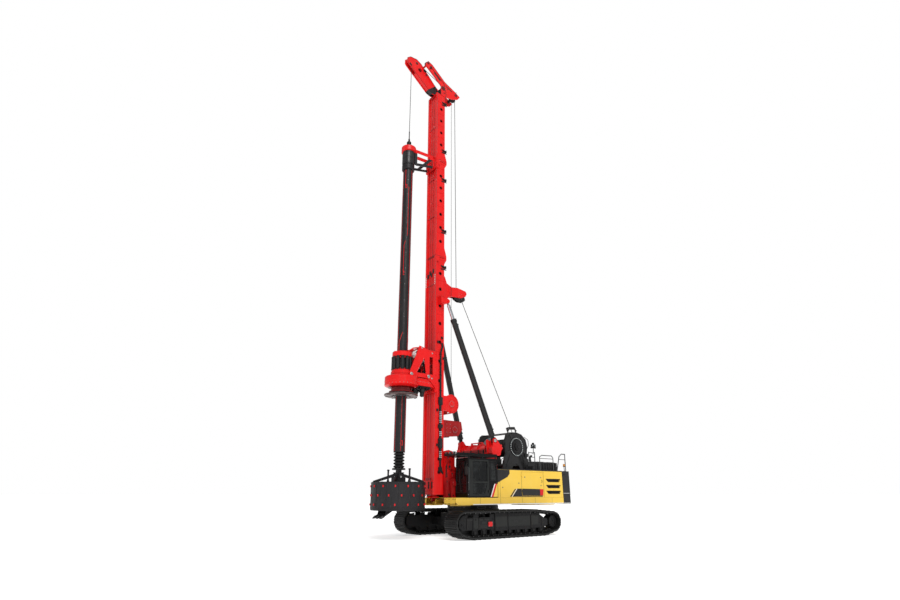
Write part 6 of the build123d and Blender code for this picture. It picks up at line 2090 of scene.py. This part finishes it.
driveTrim = {
    "arm": 0.60,                 # outer face of the arms
    "collars": ((0.828, 0.838, 7.09, 7.18, 0.01, 72), (0.56, 0.62, 7.37, 7.40, 0, 60),
                (0.538, 0.555, 7.50, 7.56, 0, 60)),
    "boltRings": ((0.73, 7.381, 24, "red", 1), (0.585, 7.408, 20, "small", 1), (0.56, 6.592, 24, "red", -1),
                  (0.46, 8.636, 18, "red", 1), (0.44, 7.636, 18, "small", 1)),
    "lid": (7.0, 7.45),          # on the gearbox's lid only the bolts before the arms are free
    "lidFront": 4.0,
    "dampers": 12,
    "damperRing": 0.45,
    "frontPins": ((3.34, 7.47), (4.38, 7.47)),
    "rearPins": ((3.75, 8.89), (3.1, 8.7), (3.1, 7.4)),
    "armEdge": [(2.93, 7.01), (3.25, 7.305), (3.5, 7.395), (4.45, 7.395), (4.45, 7.555), (3.89, 8.975),
                (3.645, 8.915), (3.25, 8.825), (2.93, 8.825)],
    "armPanels": ([(3.48, 7.59), (4.06, 7.59), (3.60, 8.42), (3.48, 7.59)],
                  [(3.06, 7.59), (3.28, 7.59), (3.28, 8.5), (3.06, 8.5), (3.06, 7.59)]),
    "motorY": (0.3, -0.3),
}


def buildGearboxTrim(setup):
    # bands and bolt circles of the gearbox and its barrel, and the ring of dampers
    k, count = kellyX, setup["dampers"]
    trim = Shape()
    for inner, outer, low, high, fall, sides in setup["collars"]:
        trim.collar(inner, outer, (low + high) / 2, (high - low) / 2, fall, k, sides)
    trim.piece("gearbox_bands", "rotary_drive", red)
    for radius, z, number, size, up in setup["boltRings"]:
        onLid = setup["lid"][0] < z < setup["lid"][1]
        spots = [p for p in ringSpots((k, 0, z), radius, number) if p[0] > setup["lidFront"] or not onLid]
        bolted("rotary_drive", size, spots, (0, 0, up))
    turns = [math.pi / 14 * (i - 7) for i in range(15)]
    bolted("rotary_drive", "small", [(k + 0.832 * math.cos(a), 0.832 * math.sin(a), 6.99) for a in turns],
           [(math.cos(a), math.sin(a), 0) for a in turns])
    caps, rings, gaps = Shape(), Shape(), Shape()
    for i in range(count):
        a, between = 2 * math.pi * i / count, 2 * math.pi * (i + 0.5) / count
        x, y = k + setup["damperRing"] * math.cos(a), setup["damperRing"] * math.sin(a)
        for z in (7.74, 8.32):
            rings.hoop(0.078, 0.087, -0.02, 0.02, (x, y, z), "z", 18)
            gaps.post(k + 0.40 * math.cos(between), 0.40 * math.sin(between), z - 0.035, z + 0.035, 0.05, 10)
        for z in (7.88, 7.97, 8.06, 8.15, 8.24):
            rings.turn([(0.079, -0.012), (0.084, 0.0), (0.079, 0.012)], (x, y, z), "z", 18)
        caps.turn([(0.0, 0.012), (0.03, 0.012), (0.045, 0.0), (0.0, 0.0)], (x, y, 8.63), "z", 14)
    rings.piece("damper_rings", "rotary_drive", gearSteel)
    gaps.piece("damper_spacers", "rotary_drive", shadedRed)
    # a black shell over the barrel between the dampers: painted shade in the gaps between them
    Shape().hoop(0.349, 0.3545, 7.80, 8.372, (k, 0, 0), "z", 48).piece("barrel_shade_sleeve", "rotary_drive", black)
    caps.piece("damper_caps", "rotary_drive", shadedRed)


def buildDriveArms(setup):
    # pins and edges of the two arms, and the links from them to the barrel
    arm = setup["arm"]
    pins, ribs, link = Shape(), Shape(), Shape()
    for x, z in setup["frontPins"]:
        pins.cap((x, arm + 0.064, z), 0.072, 0.086, 0.01, 0.02, 28)
    for x, z in setup["rearPins"]:
        pins.cap((x, arm + 0.016, z), 0.03, 0.04, 0.008, 0.02, 24)
    pins.mirrored().piece("drive_pins", "rotary_drive", pinSteel)
    ribs.edge(setup["armEdge"], arm, 0.013, 8)
    for outline in setup["armPanels"]:
        ribs.edge(outline, arm, 0.009, 6)
    for z in (7.02, 7.28):
        ribs.block((3.1, 3.9), (0.543, 0.556), (z, z + 0.04), 0.004)
    ribs.mirrored().piece("drive_arm_edges", "rotary_drive", red)
    boltedSides("rotary_drive", "red", [(2.87, 0.602, z) for z in (6.9, 7.2, 7.6, 8.0, 8.4, 8.7)])
    boltedSides("rotary_drive", "small", [(3.15 + 0.12 * i, 0.55, 7.17) for i in range(7)])
    for y in (0.34, -0.34):
        link.edge([(4.41, 8.66), (4.11, 8.87), (3.72, 8.97)], y, 0.035, 14)
        link.post(4.41, y, 8.60, 8.72, 0.05, 16)
        link.peg(3.68, 8.96, y - 0.06, y + 0.06, 0.06, 18)
        link.edge([(3.55, 8.93), (3.68, 8.97)], y, 0.04, 14)
    link.piece("barrel_links", "rotary_drive", red)


def buildDriveFittings(setup):
    # motors, hoses, manifolds and what the carriage slides on
    motors, low, hoses, sleeves = Shape(), Shape(), Shape(), Shape()
    for y in setup["motorY"]:
        motors.turn([(0.0, 0.05), (0.06, 0.045), (0.085, 0.02), (0.085, -0.02), (0.0, -0.02)], (3.30, y, 8.0),
                    "z", 24)
        motors.block((3.18, 3.42), (y - 0.13, y + 0.13), (7.75, 7.82), 0.012)
        motors.hoop(0.152, 0.165, 7.42, 7.46, (3.30, y, 0), "z", 28)
        motors.turn([(0.0, 6.47), (0.06, 6.475), (0.08, 6.5), (0.0, 6.5)], (3.50, y, 0), "z", 24)
        motors.hoop(0.152, 0.165, 6.86, 6.90, (3.50, y, 0), "z", 28)
        bolted("rotary_drive", "small", ringSpots((3.30, y, 7.468), 0.158, 8), (0, 0, 1))
    motors.piece("motor_caps", "rotary_drive", gearSteel)
    low.block((3.12, 3.95), (-0.5, 0.5), (6.90, 6.985), 0.02)
    for x in (3.2, 3.35, 3.75, 3.9):
        low.block((x - 0.03, x + 0.03), (-0.52, 0.52), (6.83, 6.92), 0.01)
    low.block((3.9, 4.1), (0.25, 0.45), (6.62, 6.78), 0.02)
    low.piece("gearbox_underparts", "rotary_drive", frameBlack)
    for i in range(6):
        y, lift = -0.25 + 0.1 * i, 0.03 * (i % 3)
        hoses.pipe([(3.30, y * 0.9, 7.95), (3.30, y, 8.25 + lift), (3.45 + 0.02 * i, y, 8.60 + lift),
                    (3.35, y, 8.80), (3.0, y, 8.80), (2.94, y, 8.55)], 0.017, 8, 0.14)
    for i in range(3):
        y = 0.44 - 0.07 * i
        hoses.pipe([(3.42, y, 8.02), (3.6, y, 8.25), (3.86, y - 0.02, 8.48), (4.02, y - 0.04, 8.40),
                    (4.0, y - 0.04, 8.1)], 0.026, 8, 0.1)
    hoses.piece("drive_hoses", "rotary_drive", rubberAndShade)
    for i in range(5):
        y, u = 0.42 - 0.05 * i, 0.02 * i
        sleeves.pipe([(3.36 + u, y, 8.06), (3.52, y + 0.02, 8.36), (3.78 + 0.015 * i, y + 0.02, 8.60 + u),
                      (3.92 + u, y, 8.80 - 0.01 * i), (4.08, y, 8.66 - u), (3.97, y - 0.01, 8.34),
                      (3.94, y, 8.10)],
                     0.024, 8, 0.1)
    sleeves.piece("drive_white_hoses", "rotary_drive", hoseWrap)
    manifold = Shape().block((3.6, 3.86), (-0.1, 0.1), (7.36, 7.75), 0.02)
    for side in (1, -1):
        manifold.block((3.86, 4.0), ordered(side * 0.15, side * 0.45), (7.9, 8.08), 0.015)
        for y in (0.2, 0.3, 0.4):
            manifold.post(3.93, side * y, 8.08, 8.13, 0.02, 10)
    manifold.piece("drive_manifolds", "rotary_drive", gearSteel)
    shoes = Shape()
    for z in (6.80, 7.62, 8.62):
        shoes.block((2.918, 2.934), (-0.55, 0.55), (z, z + 0.10), 0.006)
    for side in (1, -1):
        for z in (6.76, 8.56):
            shoes.block((2.745, 2.85), ordered(side * 0.598, side * 0.615), (z, z + 0.28), 0.006)
    shoes.piece("carriage_strips", "rotary_drive", red)
    bolted("rotary_drive", "dark",
           [(2.936, y, z) for y in (-0.5, -0.36, 0.36, 0.5) for z in (6.85, 7.67, 8.67)], (1, 0, 0))


buildGearboxTrim(driveTrim)
buildDriveArms(driveTrim)
buildDriveFittings(driveTrim)

sleeveTrim = {"low": 6.43, "high": 6.50, "rim": (0.80, 0.826), "ribs": 8}


def buildSleeveTrim(setup):
    k, low, high, (inner, outer) = kellyX, setup["low"], setup["high"], setup["rim"]
    rim = Shape().hoop(inner, outer, high, high + 0.012, (k, 0, 0), "z", 72)
    for i in range(setup["ribs"]):
        rim.plate(spoke(k, 0, 0.42, inner, 0.01, 2 * math.pi * i / setup["ribs"]), "z", low - 0.012,
                  low + 0.004)
    rim.hoop(0.34, 0.40, low - 0.03, low + 0.002, (k, 0, 0), "z", 60)
    rim.piece("disc_ribs", "drive_sleeve", bareSteel)
    bolted("drive_sleeve", "dark", ringSpots((k, 0, low - 0.008), 0.45, 16), (0, 0, -1))


buildSleeveTrim(sleeveTrim)

guideTrim = {
    "plate": 0.285,              # outer face of the guide's side plates
    "edges": (((2.93, 20.88), (4.28, 20.785)), ((4.13, 19.755), (2.93, 20.07)),
              ((3.0, 20.62), (3.0, 20.18), (3.5, 20.05), (3.0, 20.62)),
              ((3.16, 20.68), (4.13, 20.62), (4.13, 19.90), (3.72, 20.01), (3.16, 20.68))),
    "bands": (19.80, 20.15, 20.48),
    "barRing": (0.352, 10),      # radius and count
}


def buildGuideTrim(setup):
    k, (reach, count) = kellyX, setup["barRing"]
    ribs, band, strips = Shape(), Shape(), Shape()
    for outline in setup["edges"]:
        ribs.edge(outline, setup["plate"], 0.010, 8)
    ribs.mirrored().piece("guide_edges", "kelly_guide", guidePaint)
    bolted("kelly_guide", "small", ringSpots((k, 0, 20.882), 0.405, 16), (0, 0, 1))
    for z in setup["bands"]:
        band.collar(0.343, 0.356, z, 0.03, 0.005, k, 48)
    for i in range(count):
        a = 2 * math.pi * i / count
        band.post(k + reach * math.cos(a), reach * math.sin(a), 19.83, 20.46, 0.009, 6)
    band.piece("guide_bands", "kelly_guide", black)
    for y in (-0.22, 0.22):
        for z in (20.1, 20.76):
            strips.block((2.918, 2.95), (y - 0.16, y + 0.16), (z, z + 0.06), 0.006)
    strips.piece("guide_strips", "kelly_guide", red)
    bolted("kelly_guide", "dark", [(2.952, y, z) for y in (-0.33, -0.12, 0.12, 0.33) for z in (20.13, 20.79)],
           (1, 0, 0))
    boltedSides("kelly_guide", "red", [(2.88, 0.522, z) for z in (20.12, 20.35, 20.6, 20.83)])


buildGuideTrim(guideTrim)

kellyLines = {
    "turns": (180, 300, 60),     # where the keys stand round the tube, degrees
    "key": 0.292,
    "tube": 0.268,
    "tracks": {                  # degrees from a key at each height
        "first": ((19.30, -31), (18.3, -31), (18.15, 11), (15.15, 11), (14.5, -24), (13.0, -24), (12.8, 4),
                  (9.8, 4), (9.1, -46), (7.5, -46), (7.0, 8), (3.83, 8)),
        "second": ((19.30, 50), (3.83, 58)),
    },
    "line": 0.020,
    "pockets": ((18.2, -20), (12.9, -14), (4.2, 18)),
    "plugs": (4.18, 0.9, 17),    # height of the first, distance and count
    "rings": ((3.80, 0.269), (19.40, 0.3505), (19.52, 0.3505), (19.64, 0.3505)),
}


def buildKellyLines(setup):
    # painted lines beside each key, the red frames of its lock pockets, and plugs along its middle
    k, radius, width = kellyX, setup["tube"] - 0.0135, setup["line"]
    lines, pockets, plugs, rings = Shape(), Shape(), Shape(), Shape()
    low, pitch, count = setup["plugs"]

    def spot(turn, z, reach=radius):
        a = math.radians(turn)
        return Vector((k + reach * math.cos(a), reach * math.sin(a), z))

    for turn in setup["turns"]:
        for track in setup["tracks"].values():
            for (z0, u0), (z1, u1) in zip(track, track[1:]):
                steps = max(1, round(abs(u1 - u0) / 9))
                route = [spot(turn + u0 + (u1 - u0) * i / steps, z0 + (z1 - z0) * i / steps)
                         for i in range(steps + 1)]
                for a, b in zip(route, route[1:]):
                    lines.rod(a, b, width, 6)
        for z, shift in setup["pockets"]:
            left, right = turn + shift - 9, turn + shift + 9
            for side in (left, right):
                pockets.rod(spot(side, z - 0.12), spot(side, z + 0.12), width, 6)
            for v in (-0.10, 0.10):
                pockets.rod(spot(left, z + v, radius + 0.002), spot(right, z + v, radius + 0.002), width, 6)
        for i in range(count):
            z = low + pitch * i
            plugs.rod(spot(turn, z, setup["key"] - 0.006), spot(turn, z, setup["key"] + 0.004), 0.018, 10)
    lines.piece("kelly_red_lines", "kelly", stripeRed)
    pockets.piece("kelly_lock_frames", "kelly", stripeRed)
    plugs.piece("kelly_key_plugs", "kelly", bareSteel)
    for z, r in setup["rings"]:
        rings.collar(r - 0.002, r + 0.006, z, 0.02, 0.004, k, 48)
    rings.piece("kelly_rings", "kelly", gearSteel)


buildKellyLines(kellyLines)

bucketTrim = {
    "shell": 1.25,
    "low": 1.315,
    "high": 2.435,
    "bars": 14,
    "slotStarts": (0.62, 0.14, 0.38),
    "boxHalf": 0.185,
    "boxRibs": (2.50, 2.84),
    "boxPinZ": 2.68,
    "coils": (3.14, 3.28, 3.42, 3.56, 3.70),
}


def buildBucketTrim(setup):
    k, r, low, high = kellyX, setup["shell"], setup["low"], setup["high"]
    bands, bars, slots, ring = Shape(), Shape(), Shape(), Shape()
    for z, w in ((low + 0.035, 0.03), (high - 0.03, 0.026)):
        bands.collar(r - 0.003, r + 0.012, z, w, 0.006, k, 84)
    bands.piece("bucket_bands", "inner_kelly", bucketSteel)
    # upright wear bars, and dark posts between the cutters that stand for slots: painted shade in the slots
    for i in range(setup["bars"]):
        a, b = [2 * math.pi * (i + share) / setup["bars"] for share in (0.25, 0.68)]
        bars.post(k + (r + 0.001) * math.cos(a), (r + 0.001) * math.sin(a), low + 0.08, high - 0.07, 0.012, 6)
        z = low + setup["slotStarts"][i % 3]
        slots.post(k + (r - 0.006) * math.cos(b), (r - 0.006) * math.sin(b), z, z + 0.36, 0.014, 6)
    bars.piece("bucket_wear_bars", "inner_kelly", bucketSteel)
    slots.piece("bucket_slots", "inner_kelly", rubberAndShade)
    for radius in (0.36, 1.16):
        ring.hoop(radius, radius + 0.05, high - 0.002, high + 0.016, (k, 0, 0), "z", 72)
    for y in (0.91, -0.91):
        ring.turn([(0.042, 0), (0.09, 0), (0.07, 0.03), (0.055, 0.12), (0.042, 0.12)], (k, y, high), "z", 24)
    for i in range(4):
        a = math.radians(45 + 90 * i)
        out, across = Vector((math.cos(a), math.sin(a), 0)), Vector((-math.sin(a), math.cos(a), 0))
        for side in (1, -1):
            spot = Vector((k, 0, 0)) + across * (side * 0.046)
            ring.rod(spot + out * 0.2 + Vector((0, 0, 2.80)), spot + out * 1.16 + Vector((0, 0, 2.50)), 0.012,
                     8)
    ring.piece("bucket_top_ribs", "inner_kelly", bucketSteel)
    bolted("inner_kelly", "dark", ringSpots((k, 0, high + 0.02), 1.185, 28), (0, 0, 1))
    # the kelly box: its pins, and a rib round it at two heights
    boxPins, boxRibs, half, z = Shape(), Shape(), setup["boxHalf"], setup["boxPinZ"]
    for side in (1, -1):
        boxPins.rod((k, side * 0.165, z), (k, side * 0.215, z), 0.045, 20)
        boxPins.rod((k + side * 0.165, 0, z), (k + side * 0.215, 0, z), 0.045, 20)
        for start in setup["boxRibs"]:
            span = (start, start + 0.035)
            boxRibs.block((k - half, k + half), ordered(side * 0.166, side * 0.188), span, 0.005)
            boxRibs.block(ordered(k + side * 0.166, k + side * 0.188), (-half, half), span, 0.005)
    boxPins.piece("kelly_box_pins", "inner_kelly", pinSteel)
    boxRibs.piece("kelly_box_ribs", "inner_kelly", bucketSteel)
    foot = Shape().collar(0.298, 0.312, 3.025, 0.03, 0.005, k, 48)
    for z in setup["coils"]:
        foot.collar(0.248, 0.262, z, 0.022, 0.012, k, 48)
    foot.piece("spring_coil_edges", "inner_kelly", gearSteel)
    bolted("inner_kelly", "small", ringSpots((k, 0, 3.068), 0.275, 12), (0, 0, 1))


buildBucketTrim(bucketTrim)

lidTrim = {
    "top": 1.255,
    "blade": 4.9,                # the inner ribs end before the blade
    "teeth": (-0.31, 0.0, 0.31),
    "tooth": [(5.50, 1.03), (5.56, 1.0), (5.655, 0.905), (5.62, 0.892), (5.54, 0.93)],
}


def buildLidTrim(setup):
    k, z = kellyX, setup["top"]
    ribs, tips = Shape(), Shape()
    for y in (-0.8, -0.4, 0.4, 0.8):
        half = math.sqrt(1.2 ** 2 - y ** 2) - 0.05
        end = min(k + half, setup["blade"]) if abs(y) < 0.5 else k + half
        ribs.block((k - half, end), (y - 0.015, y + 0.015), (z - 0.03, z + 0.002), 0.005)
    ribs.turn([(1.17, z - 0.025), (1.235, z - 0.02), (1.235, z + 0.004), (1.17, z + 0.004)], (k, 0, 0), "z",
              72)
    ribs.rod((k, 0, z - 0.12), (k, 0, z + 0.01), 0.02, 16, 0.11)
    ribs.piece("lid_ribs", "bucket_bottom", bucketSteel)
    for y in setup["teeth"]:
        tips.plate(setup["tooth"], "y", y - 0.056, y + 0.056, 0.006)
    tips.piece("tooth_tips", "bucket_bottom", bareSteel)
    bolted("bucket_bottom", "dark", [(k - 0.9, y, z - 0.008) for y in (-0.5, -0.2, 0.2, 0.5)], (0, 0, -1))


buildLidTrim(lidTrim)

swivelTrim = {
    "bands": (21.03, 21.12, 21.21, 21.29),
    "neck": [(0.02, 21.36), (0.055, 21.37), (0.05, 21.52), (0.026, 21.60), (0.0, 21.60), (0.0, 21.36)],
}


def buildSwivelTrim(setup):
    k, trim = kellyX, Shape()
    for z in setup["bands"]:
        trim.collar(0.123, 0.134, z, 0.014, 0.006, k, 32)
    trim.turn(setup["neck"], (k, 0, 0), "z", 24, closed=False)
    trim.peg(k, 21.43, -0.075, 0.075, 0.022, 14)
    trim.piece("swivel_bands", "swivel", gearSteel)
    bolted("swivel", "small", ringSpots((k, 0, 20.978), 0.138, 8), (0, 0, 1))


buildSwivelTrim(swivelTrim)
print("drive, kelly bar and bucket built")


ropeRun = {
    "radius": 0.018,
    "thin": 0.011,
    "coil": (-2.30, 0.88, 4.755),
    "drum": (-1.98, 0.93, 5.24),
    "bracket": ((0.66, 0.0, 12.33), (1.03, 0.0, 12.55)),
    "rear": ((1.09, 0.0, 26.10), (1.20, 0.0, 26.41)),
    "head": ((4.10, 0.0, 27.56), (kellyX, 0.0, 27.30)),
    "swivelTop": (kellyX, 0.0, 21.9),
    "end": (kellyX, 0.0, 20.25),     # inside the kelly guide's tube
    "aux": [(1.52, 0.2, 26.05), (1.60, 0.25, 6.50)],
    "arcs": {                    # centre in x and z, radius, first and last angle in degrees
        "head": ((4.24, 27.30), 0.272, (0, 120)),
        "rear": ((1.33, 26.19), 0.232, (120, 200)),
        "bracket": ((0.82, 12.48), 0.20, (30, 225)),
    },
    "sleeves": (21.62, 0.055, 9),    # height of the first, distance and count
}


def buildRopes(setup):
    r, drum = setup["radius"], setup["drum"]
    (b0, b1), (rear0, rear1), (head0, head1) = setup["bracket"], setup["rear"], setup["head"]
    rope("main_rope_rear", "upper", [setup["coil"], drum, b0], r, blended=("mast", drum, b0))
    rope("main_rope_mast", "mast", [b1, rear0], r)
    rope("main_rope_head", "mast", [rear1, head0], r)
    rope("main_rope_front", "mast", [head1, setup["end"]], r,
         blended=("kelly_guide", head1, setup["swivelTop"]))
    # the sweep is one step longer than the arc, so that the last point lies at its last angle
    for name, ((x, z), radius, (a0, a1)) in setup["arcs"].items():
        arc = sideRing((x, 0.0, z), radius, 15, math.radians(a0), math.radians(a1 - a0) * 15 / 14)
        rope(f"rope_on_{name}_sheave", "mast", arc, r)
    rope("aux_rope", "mast", setup["aux"], setup["thin"])
    # short sleeves on the front rope's end
    tail, (low, pitch, count) = Shape(), setup["sleeves"]
    for i in range(count):
        tail.collar(0.012, 0.03, low + pitch * i, 0.022, 0.01, kellyX, 14)
    tail.piece("rope_end_sleeves", "swivel", gearSteel)


buildRopes(ropeRun)
print("ropes built")


for (body, size), (spots, faces) in boltJobs.items():
    radius, height, washer, sides, finish = boltSizes[size]
    grown(f"{size}_bolts_{body}", boltHeads, spots,
          {"Radius": radius, "Height": height, "Washer": washer, "Sides": sides}, body, finish, facing=faces)
print("bolts built", sum(len(spots) for spots, _ in boltJobs.values()))


stageSetup = {
    "cameraPlace": (18.819, 21.929, 1.932),
    "cameraPitch": 20.10,        # degrees above level
    "cameraYaw": 141.66,         # degrees about Z
    "lens": 21.2,
    "floorSize": 900.0,
    "worldStrength": 0.46,
    "sunStrength": 1.75,
    "sunAngle": 30.0,
    "sunTurn": (48.0, 4.0, 152.0),
    "floorGlow": 0.6,
}


def buildStage(setup):
    size = setup["floorSize"]
    data = bpy.data.meshes.new("floor")
    data.from_pydata([(-size, -size, -0.002), (size, -size, -0.002), (size, size, -0.002),
                      (-size, size, -0.002)],
                     [], [(0, 1, 2, 3)])
    ground = bpy.data.objects.new("floor", data)
    bpy.context.scene.collection.objects.link(ground)
    paint = Paint("floor",
                  {"Roughness": 0.9, "Specular IOR Level": 0.05, "Emission Strength": setup["floorGlow"]})
    cloud = paint.noise(0.2, 2.0)
    pale = paint.mix(cloud * 0.2, tone(246, 246, 246), tone(240, 240, 240))
    paint.feed(paint.shader.inputs["Emission Color"], pale)
    data.materials.append(paint.drive(colour=pale))

    world = bpy.data.worlds.new("studio")
    bpy.context.scene.world = world
    world.use_nodes = True
    sky = world.node_tree
    for node in list(sky.nodes):
        sky.nodes.remove(node)
    light, shown = sky.nodes.new("ShaderNodeBackground"), sky.nodes.new("ShaderNodeBackground")
    light.inputs["Strength"].default_value = setup["worldStrength"]
    for back in (light, shown):
        back.inputs["Color"].default_value = (1.0, 1.0, 1.0, 1.0)
    path, choice = sky.nodes.new("ShaderNodeLightPath"), sky.nodes.new("ShaderNodeMixShader")
    sky.links.new(path.outputs["Is Camera Ray"], choice.inputs[0])
    sky.links.new(light.outputs[0], choice.inputs[1])
    sky.links.new(shown.outputs[0], choice.inputs[2])
    sky.links.new(choice.outputs[0], sky.nodes.new("ShaderNodeOutputWorld").inputs["Surface"])

    sun = bpy.data.lights.new("key", "SUN")
    sun.energy = setup["sunStrength"]
    sun.angle = math.radians(setup["sunAngle"])
    key = bpy.data.objects.new("key", sun)
    key.rotation_euler = [math.radians(a) for a in setup["sunTurn"]]
    bpy.context.scene.collection.objects.link(key)

    camera = bpy.data.cameras.new("camera")
    camera.sensor_width = 36.0
    camera.sensor_fit = "HORIZONTAL"
    camera.lens = setup["lens"]
    camera.clip_end = 2000.0
    holder = bpy.data.objects.new("camera", camera)
    holder.location = setup["cameraPlace"]
    holder.rotation_euler = (math.radians(90 + setup["cameraPitch"]), 0, math.radians(setup["cameraYaw"]))
    bpy.context.scene.collection.objects.link(holder)
    bpy.context.scene.camera = holder
    bpy.context.scene.view_settings.view_transform = "Standard"


buildStage(stageSetup)
print("stage built")
